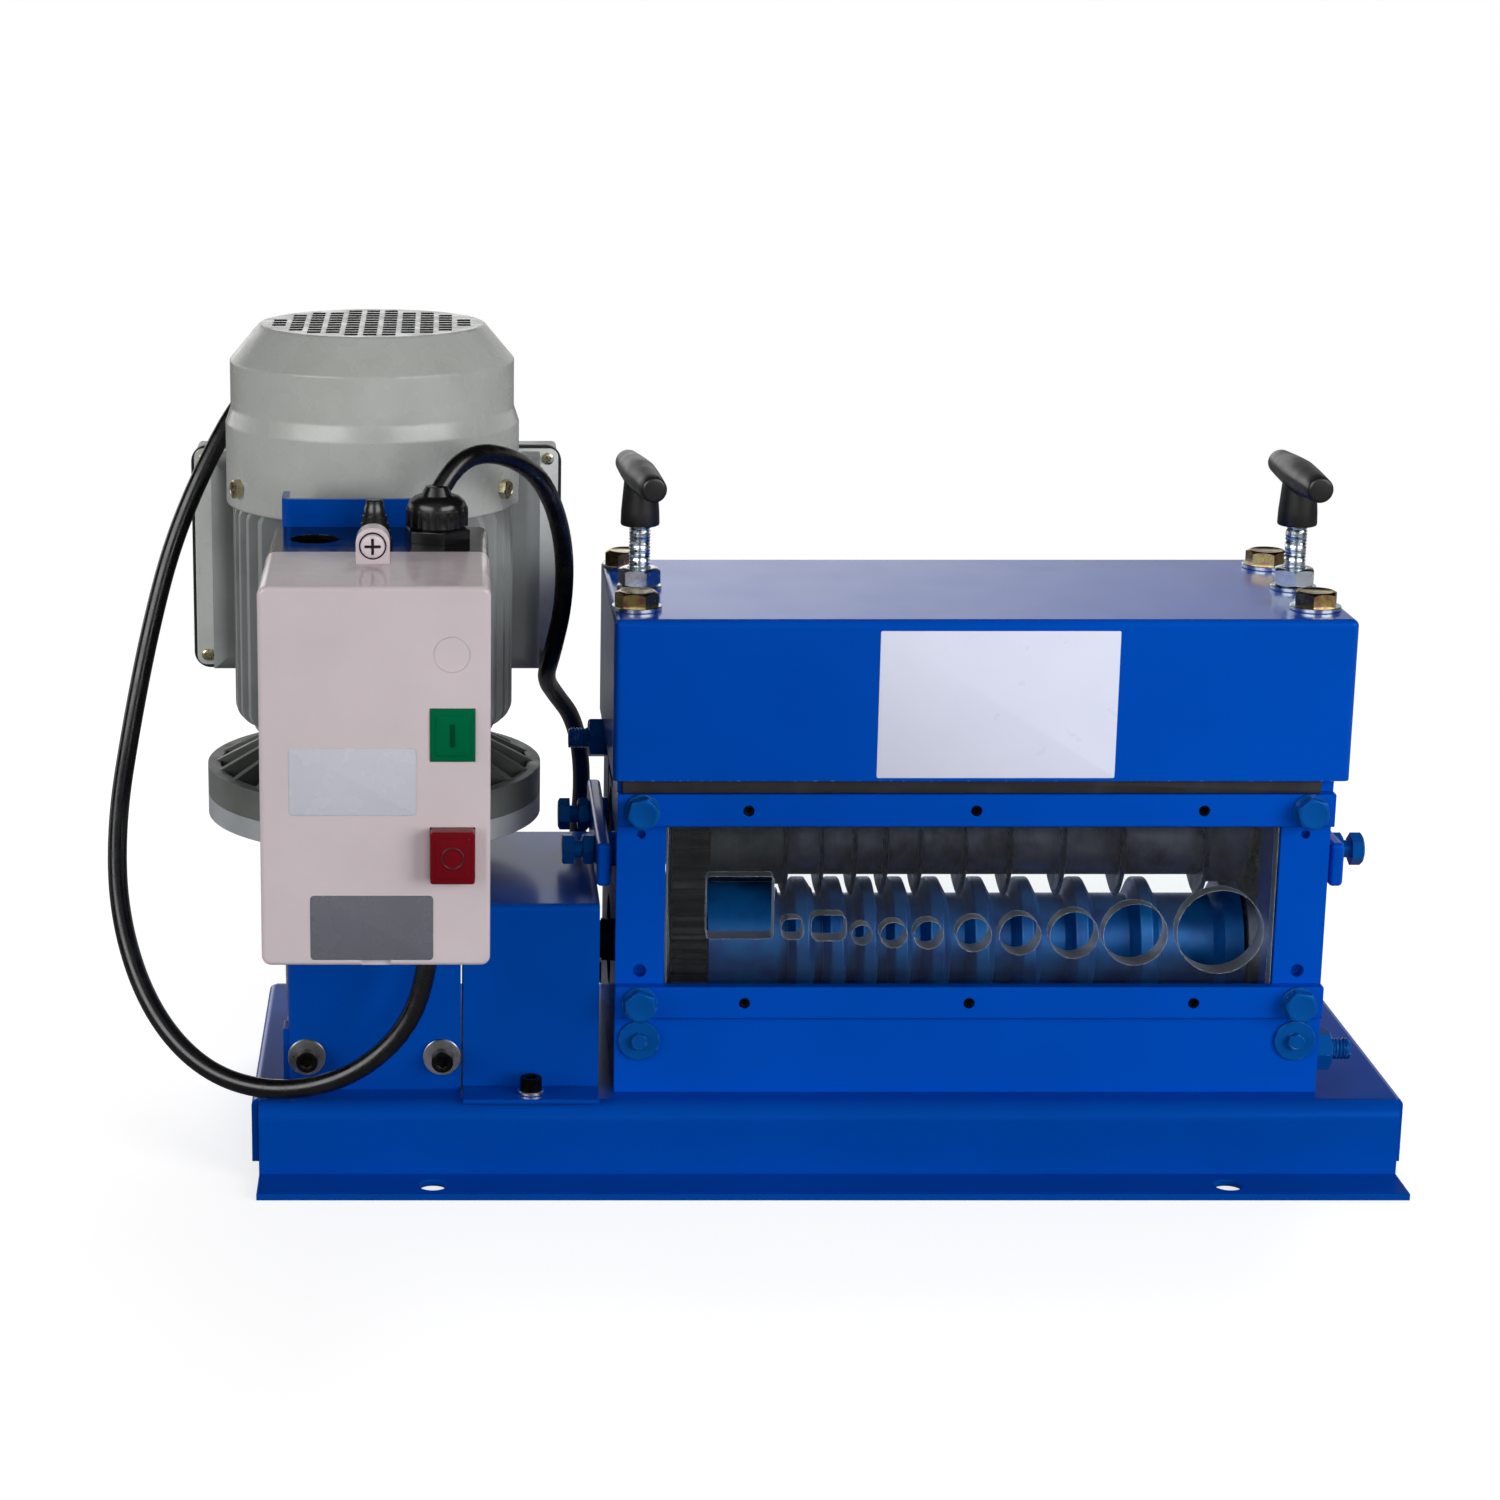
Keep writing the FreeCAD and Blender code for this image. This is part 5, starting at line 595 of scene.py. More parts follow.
# A darker copy of the motor grey: painted shade on the flange.
FLANGE_GREY_SHADED = PaintedMetal(
    "flange_grey_painted_shade", colour="#666A66", grime="#383B37", roughness=0.34, grit=1.3
)
REDUCER_GREY = PaintedMetal("reducer_pale_grey_casting", colour="#A7ABAE", grime="#7B7E80", roughness=0.34)
BOX_GREY = PaintedMetal(
    "terminal_box_grey_paint", colour="#8E9291", grime="#6A6D6C", roughness=0.34, grit=2.0, depth=0.04
)
# The rear cover is pale grey paint made lighter still: painted light for the lamps that the motor and the box
# keep off it.
COVER_GREY_LIGHTENED = PaintedMetal(
    "rear_cover_grey_painted_light", colour="#D2D5D2", grime="#A8AAA6", roughness=0.3, grit=2.0, depth=0.04,
    dirt=0.3,
)
# Moulded plastics: pale glossy ABS lid, black phenolic case, dyed buttons that glow a little.
# Black on the plate behind the motor's box, which shows as a dark rim around the pale cover sheet.
REAR_PLATE_BLACK = MouldedPlastic("rear_plate_black", colour="#1E1F20", haze="#191A1B", roughness=0.4)
LID = MouldedPlastic(
    "lid_pale_grey_abs", colour="#CBBFC3", haze="#C4B8BC", roughness=0.17, depth=0.008, scatter=0.05
)
CASE = MouldedPlastic("case_black_phenolic", colour="#0C0D0E", haze="#121314", roughness=0.12, depth=0.006)
POLYAMIDE = MouldedPlastic(
    "black_polyamide_moulding", colour="#0E0E0F", haze="#161617", roughness=0.2, depth=0.01
)
GRIP = MouldedPlastic(
    "grip_glass_filled_nylon", colour="#111111", haze="#1A1A1A", roughness=0.36, grit=1.0, depth=0.04
)
GREEN = MouldedPlastic(
    "start_green_moulding", colour="#005E3A", haze="#005635", roughness=0.2, scatter=0.05, tint="#3FA57C"
)
GREEN_MARK = MouldedPlastic(
    "start_mark_deep_green", colour="#003A20", haze="#00341C", roughness=0.45, tint="#3FA57C"
)
RED = MouldedPlastic(
    "stop_red_moulding", colour="#6A0C17", haze="#600A14", roughness=0.2, scatter=0.05, tint="#C8606A"
)
RED_MARK = MouldedPlastic("stop_mark_deep_red", colour="#4E0610", haze="#46050E", roughness=0.3)
# Bare label films: smooth, faintly mottled where they were pressed on.
PALE_FILM = MouldedPlastic(
    "blank_label_pale_film", colour="#BFC0C9", haze="#B8B9C3", roughness=0.25, depth=0.003
)
# The lower film is silver; its flat grey is a painted reflection of what the metal mirrors.
GREY_FILM_PAINTED_REFLECTION = MouldedPlastic(
    "silver_film_painted_reflection", colour="#61626B", haze="#5D5D66", roughness=0.25, depth=0.003
)
VINYL = MouldedPlastic(
    "blank_label_white_vinyl", colour="#DDE1F3", haze="#D8DCEF", roughness=0.32, depth=0.004
)
# Leads are black PVC with a soft gloss; the plug and the strip are duller rubber.
LEAD = Jacket("lead_black_pvc")
RUBBER = Jacket("rubber_plug_black", colour="#141415", dust="#2A2A2B", roughness=0.55)
ACRYLIC = ClearSheet("feed_plate_cast_acrylic")
WINDING = WoundCopper("laminations_and_copper")

NODE_FINISHES: dict[str, Finish] = {
    "base_channel": BLUE_SHADED, "left_side_plate": BLUE, "right_side_plate": BLUE, "lower_front_bar": BLUE,
    "upper_front_bar": BLUE, "front_apron": BLUE, "hood": BLUE_WORN, "block_keeper_bars": BLUE_WORN,
    "starter_bracket": BLUE_SHADED, "reducer_seat": BLUE_SHADED, "drive_cover": BLUE_SHADED, "m8_bolts": BLUE_HEADS,
    "tie_rods": BLUE_HEADS, "feed_shaft": SHADED_FEED_SHAFT, "cutter_shaft": SHAFT, "grooved_roller": ROLLER_BLUE_REFLECTION,
    "blade_spacers": SPACER, "cutter_blades": BLADE, "knurled_drum": DRUM, "feed_gear": GEAR,
    "cutter_gear": GEAR, "feed_bearings": BEARING, "cutter_bearings": BEARING, "feed_inner_rings": BEARING,
    "cutter_inner_rings": BEARING, "bearing_caps": BLOCK, "bearing_blocks": BLOCK, "block_springs": SPRING,
    "left_press_screw": ZINC, "right_press_screw": ZINC, "plated_nuts_and_washers": ZINC,
    "hood_bolts": YELLOW_ZINC, "zinc_screws": YELLOW_ZINC, "socket_screws": BLACK_OXIDE,
    "feed_plate": ACRYLIC, "left_tee_handle": GRIP, "right_tee_handle": GRIP,
    "reducer_housing": REDUCER_GREY, "worm_wheel": BRONZE, "motor_bearings": BEARING,
    "motor_flange": FLANGE_GREY_SHADED, "motor_frame": CAST_GREY, "fan_cowl": COWL_GREY, "stator": WINDING,
    "rotor": SHAFT, "fan": POLYAMIDE, "rear_box": BOX_GREY, "rear_plate": REAR_PLATE_BLACK, "rear_lid": BOX_GREY,
    "run_capacitor": CAST_GREY, "starter_base": CASE, "starter_lid": LID, "contactor": POLYAMIDE,
    "cable_glands": POLYAMIDE, "start_button": GREEN, "stop_button": RED, "motor_lead": LEAD,
    "mains_lead": LEAD, "mains_coil": LEAD, "mains_plug": RUBBER,
}


# Meshes


@dataclass(frozen=True)
class Ring:
    """One closed ring of a solid that is built up along Z.

    Attributes:
        reach: Radius, or the radius at an angle in radians.
        level: Height, or the height at an angle in radians.
    """

    reach: Union[float, Outline]
    level: Union[float, Outline]

    def point(self, angle: float) -> Vector:
        """Return the ring's point at an angle."""
        reach = self.reach(angle) if callable(self.reach) else self.reach
        level = self.level(angle) if callable(self.level) else self.level
        return Vector((reach * math.cos(angle), reach * math.sin(angle), level))


def solid(name: str, points: Iterable[Sequence[float]], faces: list[tuple[int, ...]]) -> Mesh:
    """Make a mesh of points and faces, smooth with sharp edges where its faces turn."""
    mesh = bpy.data.meshes.new(name)
    mesh.from_pydata([tuple(point) for point in points], [], faces)
    mesh.shade_smooth()
    mesh.set_sharp_from_angle(angle=SHARP)
    return mesh


def stack(name: str, rings: Sequence[Ring], steps: int = STEPS, closed: bool = False) -> Mesh:
    """Build a closed solid from rings, from the outside of one end to the other.

    Args:
        name: Name of the mesh.
        rings: Rings in order, from the lower end's middle outward, up the side and inward again.
        steps: Points around each ring.
        closed: Join the last ring to the first, as on a washer, in place of end caps.

    Returns:
        The mesh, smooth with sharp edges where it turns.
    """
    angles = [2 * math.pi * i / steps for i in range(steps)]
    points = [ring.point(angle) for ring in rings for angle in angles]
    faces = []
    pairs = len(rings) if closed else len(rings) - 1
    for row in range(pairs):
        low, high = row * steps, ((row + 1) % len(rings)) * steps
        for i in range(steps):
            j = (i + 1) % steps
            faces.append((low + i, low + j, high + j, high + i))
    if not closed:
        for row, turn in ((0, -1), (len(rings) - 1, 1)):
            ends = points[row * steps : (row + 1) * steps]
            points.append(sum(ends, Vector()) / steps)
            centre = len(points) - 1
            for i in range(steps):
                edge = (row * steps + i, row * steps + (i + 1) % steps)
                faces.append((*edge[::turn], centre))
    return solid(name, points, faces)


def joined(name: str, meshes: Iterable[Mesh]) -> Mesh:
    """Put several meshes into one, and drop the separate ones."""
    points, faces = [], []
    parts = list(meshes)
    for part in parts:
        start = len(points)
        points += [vertex.co for vertex in part.vertices]
        faces += [tuple(start + i for i in face.vertices) for face in part.polygons]
    whole = solid(name, points, faces)
    for part in parts:
        bpy.data.meshes.remove(part)
    return whole


def moved(mesh: Mesh, place: Point = (0, 0, 0), way: Way = Way.UP, turn: float = 0.0) -> Mesh:
    """Turn a mesh about Z by some degrees, point its Z along a way, and set it in place."""
    aim = Vector((0, 0, 1)).rotation_difference(Vector(way.value)).to_matrix().to_4x4()
    spin = Matrix.Rotation(math.radians(turn), 4, "Z")
    mesh.transform(Matrix.Translation(Vector(place)) @ aim @ spin)
    return mesh


def rounded_slab(
    name: str, wide: float, high: float, deep: float, corner: float, bevel: float, steps: int = 6
) -> Mesh:
    """Build a slab with round corners and a bevelled front, its back at Z 0.

    Args:
        name: Name of the mesh.
        wide: Size along X.
        high: Size along Y.
        deep: Thickness along Z.
        corner: Radius of the four corners.
        bevel: Radius of the front edge.
        steps: Points on each corner.

    Returns:
        The slab, with its front at Z = deep.
    """

    def rim(inset: float, level: float) -> list[Vector]:
        """Outline moved inward by an inset, at a level."""
        radius = max(corner - inset, 0.01)
        spots = []
        for k, (sx, sy) in enumerate(((1, 1), (-1, 1), (-1, -1), (1, -1))):
            centre = Vector((sx * (wide / 2 - corner), sy * (high / 2 - corner), level))
            for i in range(steps + 1):
                angle = math.pi / 2 * (k + i / steps)
                spots.append(centre + Vector((math.cos(angle), math.sin(angle), 0)) * radius)
        return spots

    rows = [rim(0, 0.0), rim(0, deep - bevel)]
    for i in range(1, 4):
        angle = math.pi / 2 * i / 3
        rows.append(rim(bevel * (1 - math.cos(angle)), deep - bevel + bevel * math.sin(angle)))
    count = len(rows[0])
    points = [spot for row in rows for spot in row]
    faces = [
        (r * count + i, r * count + (i + 1) % count, (r + 1) * count + (i + 1) % count, (r + 1) * count + i)
        for r in range(len(rows) - 1)
        for i in range(count)
    ]
    faces.append(tuple(range(count))[::-1])
    faces.append(tuple(range((len(rows) - 1) * count, len(rows) * count)))
    return solid(name, points, faces)


# Geometry node trees


def new_tree(name: str, inputs: dict[str, tuple[str, object]]) -> tuple[Tree, Node]:
    """Start a geometry node tree with named inputs.

    Args:
        name: Name of the tree.
        inputs: Socket type and default of each input after the geometry, by name.

    Returns:
        The tree and its input node.
    """
    tree = bpy.data.node_groups.new(name, "GeometryNodeTree")
    tree.interface.new_socket("Geometry", in_out="INPUT", socket_type="NodeSocketGeometry")
    for label, (kind, value) in inputs.items():
        socket = tree.interface.new_socket(label, in_out="INPUT", socket_type=kind)
        if value is not None:
            socket.default_value = value
    tree.interface.new_socket("Geometry", in_out="OUTPUT", socket_type="NodeSocketGeometry")
    return tree, add(tree, "NodeGroupInput")


def end_tree(tree: Tree, geometry: Socket, finish: Socket) -> None:
    """Finish a tree: realize its instances, set its material and send it out."""
    real = add(tree, "GeometryNodeRealizeInstances", {"Geometry": geometry})
    dressed = add(tree, "GeometryNodeSetMaterial", {"Geometry": real.outputs[0], "Material": finish})
    add(tree, "NodeGroupOutput", {"Geometry": dressed.outputs[0]})


def grow(name: str, tree: Tree, start: Mesh | None = None, **values) -> Mesh:
    """Run a geometry node tree and return its result as a plain mesh.

    Args:
        name: Name of the result.
        tree: The tree to run.
        start: Mesh that the tree works on.
        values: The tree's inputs; an underscore stands for a space.

    Returns:
        The mesh, without a modifier.
    """
    holder = linked(name, start or bpy.data.meshes.new(name))
    modifier = holder.modifiers.new(name, "NODES")
    modifier.node_group = tree
    sockets = {
        item.name: item.identifier
        for item in tree.interface.items_tree
        if item.item_type == "SOCKET" and item.in_out == "INPUT"
    }
    for label, value in values.items():
        modifier[sockets[label.replace("_", " ")]] = value
    bpy.context.view_layer.update()
    evaluated = holder.evaluated_get(bpy.context.evaluated_depsgraph_get())
    mesh = bpy.data.meshes.new_from_object(evaluated)
    holder.modifiers.clear()
    bpy.data.objects.remove(holder)
    mesh.name = name
    return mesh


def fastener_tree() -> Tree:
    """Tree that sets one kind of fastener at each point, facing the point's own way."""
    tree, given = new_tree(
        "set_fasteners",
        {
            "Fastener": ("NodeSocketObject", None),
            "Finish": ("NodeSocketMaterial", None),
            "Loosest turn": ("NodeSocketFloat", math.radians(60)),
            "Turn seed": ("NodeSocketInt", 3),
        },
    )
    shape = add(tree, "GeometryNodeObjectInfo", {"Object": given.outputs["Fastener"]})
    way = add(tree, "GeometryNodeInputNamedAttribute", {"Name": "way"}, data_type="FLOAT_VECTOR")
    aim = add(tree, "FunctionNodeAlignRotationToVector", {"Vector": way.outputs[0]}, axis="Z")
    put = add(
        tree, "GeometryNodeInstanceOnPoints",
        {
            "Points": given.outputs["Geometry"], "Instance": shape.outputs["Geometry"],
            "Rotation": aim.outputs[0],
        },
    )
    turn = add(
        tree, "FunctionNodeRandomValue",
        {2: 0.0, 3: given.outputs["Loosest turn"], "Seed": given.outputs["Turn seed"]}, data_type="FLOAT",
    )
    about = add(tree, "ShaderNodeCombineXYZ", {"Z": turn.outputs[1]})
    turned = add(
        tree, "GeometryNodeRotateInstances",
        {"Instances": put.outputs[0], "Rotation": about.outputs[0], "Local Space": True},
    )
    end_tree(tree, turned.outputs[0], given.outputs["Finish"])
    return tree


def thread_tree() -> Tree:
    """Tree for a right-hand screw thread: a ridge that winds up around Z from Z 0."""
    tree, given = new_tree(
        "screw_thread",
        {
            "Radius": ("NodeSocketFloat", 4.6),
            "Pitch": ("NodeSocketFloat", 1.5),
            "Length": ("NodeSocketFloat", 20.0),
            "Ridge": ("NodeSocketFloat", 0.75),
            "Finish": ("NodeSocketMaterial", None),
        },
    )
    turns = add(
        tree, "ShaderNodeMath", {0: given.outputs["Length"], 1: given.outputs["Pitch"]}, operation="DIVIDE"
    )
    helix = add(
        tree, "GeometryNodeCurveSpiral",
        {
            "Resolution": 20, "Rotations": turns.outputs[0], "Start Radius": given.outputs["Radius"],
            "End Radius": given.outputs["Radius"], "Height": given.outputs["Length"],
        },
    )
    ridge = add(tree, "GeometryNodeCurvePrimitiveCircle", {"Resolution": 4, "Radius": given.outputs["Ridge"]})
    wound = add(
        tree, "GeometryNodeCurveToMesh",
        {"Curve": helix.outputs[0], "Profile Curve": ridge.outputs[0], "Fill Caps": True},
    )
    end_tree(tree, wound.outputs[0], given.outputs["Finish"])
    return tree


def knurl_tree() -> Tree:
    """Tree for a knurled drum along X: a sheet rolled up with every other point raised."""
    tree, given = new_tree(
        "knurled_sheet",
        {
            "Radius": ("NodeSocketFloat", 22.6),
            "Height": ("NodeSocketFloat", 0.8),
            "Length": ("NodeSocketFloat", 34.0),
            "Points along": ("NodeSocketInt", 47),
            "Points around": ("NodeSocketInt", 145),
            "Finish": ("NodeSocketMaterial", None),
        },
    )
    sheet = add(
        tree, "GeometryNodeMeshGrid",
        {
            "Size X": given.outputs["Length"], "Size Y": 2 * math.pi,
            "Vertices X": given.outputs["Points along"], "Vertices Y": given.outputs["Points around"],
        },
    )
    place = add(tree, "ShaderNodeSeparateXYZ", {0: add(tree, "GeometryNodeInputPosition").outputs[0]})
    index = add(tree, "GeometryNodeInputIndex").outputs[0]
    odd = add(tree, "ShaderNodeMath", {0: index, 1: 2.0}, operation="MODULO")
    rise = add(
        tree, "ShaderNodeMath", {0: odd.outputs[0], 1: given.outputs["Height"], 2: given.outputs["Radius"]},
        operation="MULTIPLY_ADD",
    )
    across = add(tree, "ShaderNodeMath", {0: place.outputs["Y"]}, operation="COSINE")
    upward = add(tree, "ShaderNodeMath", {0: place.outputs["Y"]}, operation="SINE")
    wide = add(tree, "ShaderNodeMath", {0: across.outputs[0], 1: rise.outputs[0]}, operation="MULTIPLY")
    high = add(tree, "ShaderNodeMath", {0: upward.outputs[0], 1: rise.outputs[0]}, operation="MULTIPLY")
    rolled = add(
        tree, "ShaderNodeCombineXYZ", {"X": place.outputs["X"], "Y": wide.outputs[0], "Z": high.outputs[0]}
    )
    moved_points = add(
        tree, "GeometryNodeSetPosition", {"Geometry": sheet.outputs[0], "Position": rolled.outputs[0]}
    )
    closed = add(tree, "GeometryNodeMergeByDistance", {"Geometry": moved_points.outputs[0], "Distance": 0.01})
    end_tree(tree, closed.outputs[0], given.outputs["Finish"])
    return tree


def rib_tree() -> Tree:
    """Tree that stands ribs around a circle, as on the nut of a cable gland."""
    tree, given = new_tree(
        "ribs_around",
        {
            "Rib": ("NodeSocketObject", None),
            "Count": ("NodeSocketInt", 16),
            "Radius": ("NodeSocketFloat", 12.0),
            "Finish": ("NodeSocketMaterial", None),
        },
    )
    circle = add(
        tree, "GeometryNodeMeshCircle",
        {"Vertices": given.outputs["Count"], "Radius": given.outputs["Radius"]},
    )
    shape = add(tree, "GeometryNodeObjectInfo", {"Object": given.outputs["Rib"]})
    where = add(tree, "GeometryNodeInputPosition").outputs[0]
    outward = add(tree, "FunctionNodeAlignRotationToVector", {"Vector": where}, axis="X", pivot_axis="Z")
    put = add(
        tree, "GeometryNodeInstanceOnPoints",
        {"Points": circle.outputs[0], "Instance": shape.outputs["Geometry"], "Rotation": outward.outputs[0]},
    )
    end_tree(tree, put.outputs[0], given.outputs["Finish"])
    return tree


# Workshop that makes and registers pieces


@dataclass
class Workshop:
    """Makes objects from finished meshes and registers them with the frame."""

    made: list[str] = field(default_factory=list)

    def piece(
        self, name: str, mesh: Mesh, finish: Finish, body: str, slot: str,
        replaced: Sequence[str] = (),
    ) -> bpy.types.Object:
        """Scale a mesh from millimetres and register it as a piece.

        Args:
            name: Name of the piece.
            mesh: Mesh in millimetres, in the machine's frame.
            finish: The piece's finish.
            body: Body that it moves with.
            slot: Material slot of the record; not used.
            replaced: Nodes that it stands for.

        Returns:
            The piece's object, at the origin.
        """
        mesh.transform(Matrix.Scale(MM, 4))
        mesh.name = name
        made = linked(name, mesh)
        mesh.materials.clear()
        mesh.materials.append(finish.material())
        return self.register(made, body, replaced)

    def register(
        self, made: bpy.types.Object, body: str, replaced: Sequence[str] = ()
    ) -> bpy.types.Object:
        """Let a finished object ride on its body, and hide the nodes that it stands for."""
        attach(made, body)
        if replaced:
            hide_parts(*replaced)
        self.made.append(made.name)
        log.info("piece %s on %s", made.name, body)
        return made

    def template(self, name: str, mesh: Mesh) -> bpy.types.Object:
        """Wrap a mesh in an object that a node tree can repeat."""
        return bpy.data.objects.new(name, mesh)


# Fasteners


# Radius of the round face that the chamfer leaves on a hexagon, as a share of its flats, and its slope.
FACE = 0.465
CHAMFER = math.tan(math.radians(30))


def hexagon(flats: float) -> Outline:
    """Radius of a hexagon of this width across its flats, at any angle."""

    def reach(angle: float) -> float:
        """Radius at an angle."""
        part = (angle + math.pi / 6) % (math.pi / 3) - math.pi / 6
        return flats / 2 / math.cos(part)

    return reach


def chamfer(flats: float, level: float, fall: float) -> Outline:
    """Height of the edge that a turned chamfer leaves on a hexagon's corners."""
    reach = hexagon(flats)
    return lambda angle: level - fall * (reach(angle) - flats * FACE) * CHAMFER


def cross(arm: float, half_width: float) -> Outline:
    """Radius of a cross with this reach and half width, at any angle."""

    def reach(angle: float) -> float:
        """Radius at an angle."""
        level, upright = abs(math.cos(angle)) + 1e-6, abs(math.sin(angle)) + 1e-6
        return max(min(arm / level, half_width / upright), min(arm / upright, half_width / level))

    return reach


@dataclass(frozen=True)
class HexBolt:
    """Hexagon head with a turned chamfer, the shank behind it, and a cross recess if it has an arm."""

    flats: float = 13.0
    height: float = 5.6
    shank: float = 4.0
    length: float = 6.0
    arm: float = 0.0

    def mesh(self) -> Mesh:
        """Head above Z 0 and shank below it."""
        outline = hexagon(self.flats)
        face = self.flats * FACE
        rings = [
            Ring(self.shank * 0.9, -self.length), Ring(self.shank, -self.length + 0.4),
            Ring(self.shank, 0.0), Ring(outline, 0.0),
            Ring(outline, chamfer(self.flats, self.height, 1.0)),
            Ring(face, self.height), Ring(face * 0.9, self.height), Ring(face * 0.86, self.height - 0.12),
        ]
        if self.arm:
            recess = cross(self.arm, self.arm * 0.24)
            rings += [Ring(recess, self.height - 0.12), Ring(recess, self.height - self.arm * 0.6)]
        return stack("hex_bolt", rings, 96 if self.arm else STEPS)


@dataclass(frozen=True)
class HexNut:
    """Hexagon nut with a chamfer on both faces and an open bore."""

    flats: float = 17.0
    height: float = 8.0
    bore: float = 5.0

    def mesh(self) -> Mesh:
        """Nut that stands on Z 0."""
        outline = hexagon(self.flats)
        face = self.flats * FACE
        return stack(
            "hex_nut",
            [
                Ring(self.bore + 0.6, 0.0), Ring(face, 0.0), Ring(outline, chamfer(self.flats, 0.0, -1.0)),
                Ring(outline, chamfer(self.flats, self.height, 1.0)), Ring(face, self.height),
                Ring(self.bore + 0.6, self.height), Ring(self.bore, self.height - 0.6), Ring(self.bore, 0.6),
            ],
            closed=True,
        )


@dataclass(frozen=True)
class Washer:
    """Flat washer with a rolled edge."""

    radius: float = 8.0
    bore: float = 4.2
    gauge: float = 1.6

    def mesh(self) -> Mesh:
        """Washer that lies on Z 0."""
        roll = min(0.3, self.gauge / 3)
        return stack(
            "washer",
            [
                Ring(self.bore, 0.0), Ring(self.radius - roll, 0.0), Ring(self.radius, roll),
                Ring(self.radius, self.gauge - roll), Ring(self.radius - roll, self.gauge),
                Ring(self.bore, self.gauge),
            ],
            closed=True,
        )


@dataclass(frozen=True)
class SocketScrew:
    """Cylindrical head with a hexagon socket."""

    radius: float = 6.5
    height: float = 8.0
    key: float = 6.0
    depth: float = 4.0

    def mesh(self) -> Mesh:
        """Head that stands on Z 0, with its socket in the top."""
        socket = hexagon(self.key)
        roll = self.radius * 0.1
        return stack(
            "socket_screw",
            [
                Ring(self.radius * 0.6, 0.0), Ring(self.radius, 0.0), Ring(self.radius, self.height - roll),
                Ring(self.radius - roll, self.height), Ring(self.key * 0.62, self.height),
                Ring(socket, self.height - 0.25), Ring(socket, self.height - self.depth),
            ],
        )


@dataclass(frozen=True)
class CrossScrew:
    """Low domed head with a cross recess."""

    radius: float = 3.4
    height: float = 2.0
    arm: float = 2.1
    half_width: float = 0.55

    def mesh(self) -> Mesh:
        """Head that stands on Z 0, with its recess in the top."""
        recess = cross(self.arm, self.half_width)
        crown = self.height
        return stack(
            "cross_screw",
            [
                Ring(self.radius * 0.6, 0.0), Ring(self.radius, 0.0), Ring(self.radius, crown * 0.4),
                Ring(self.radius * 0.93, crown * 0.72), Ring(self.radius * 0.75, crown * 0.94),
                Ring(recess, crown), Ring(recess, crown * 0.35),
            ],
            steps=96,
        )


Kind = Union[HexBolt, HexNut, Washer, SocketScrew, CrossScrew]


@dataclass(frozen=True)
class Group:
    """Fasteners of one kind: where each stands and which way it faces."""

    kind: Kind
    places: tuple[tuple[Point, Union[Way, Point]], ...]


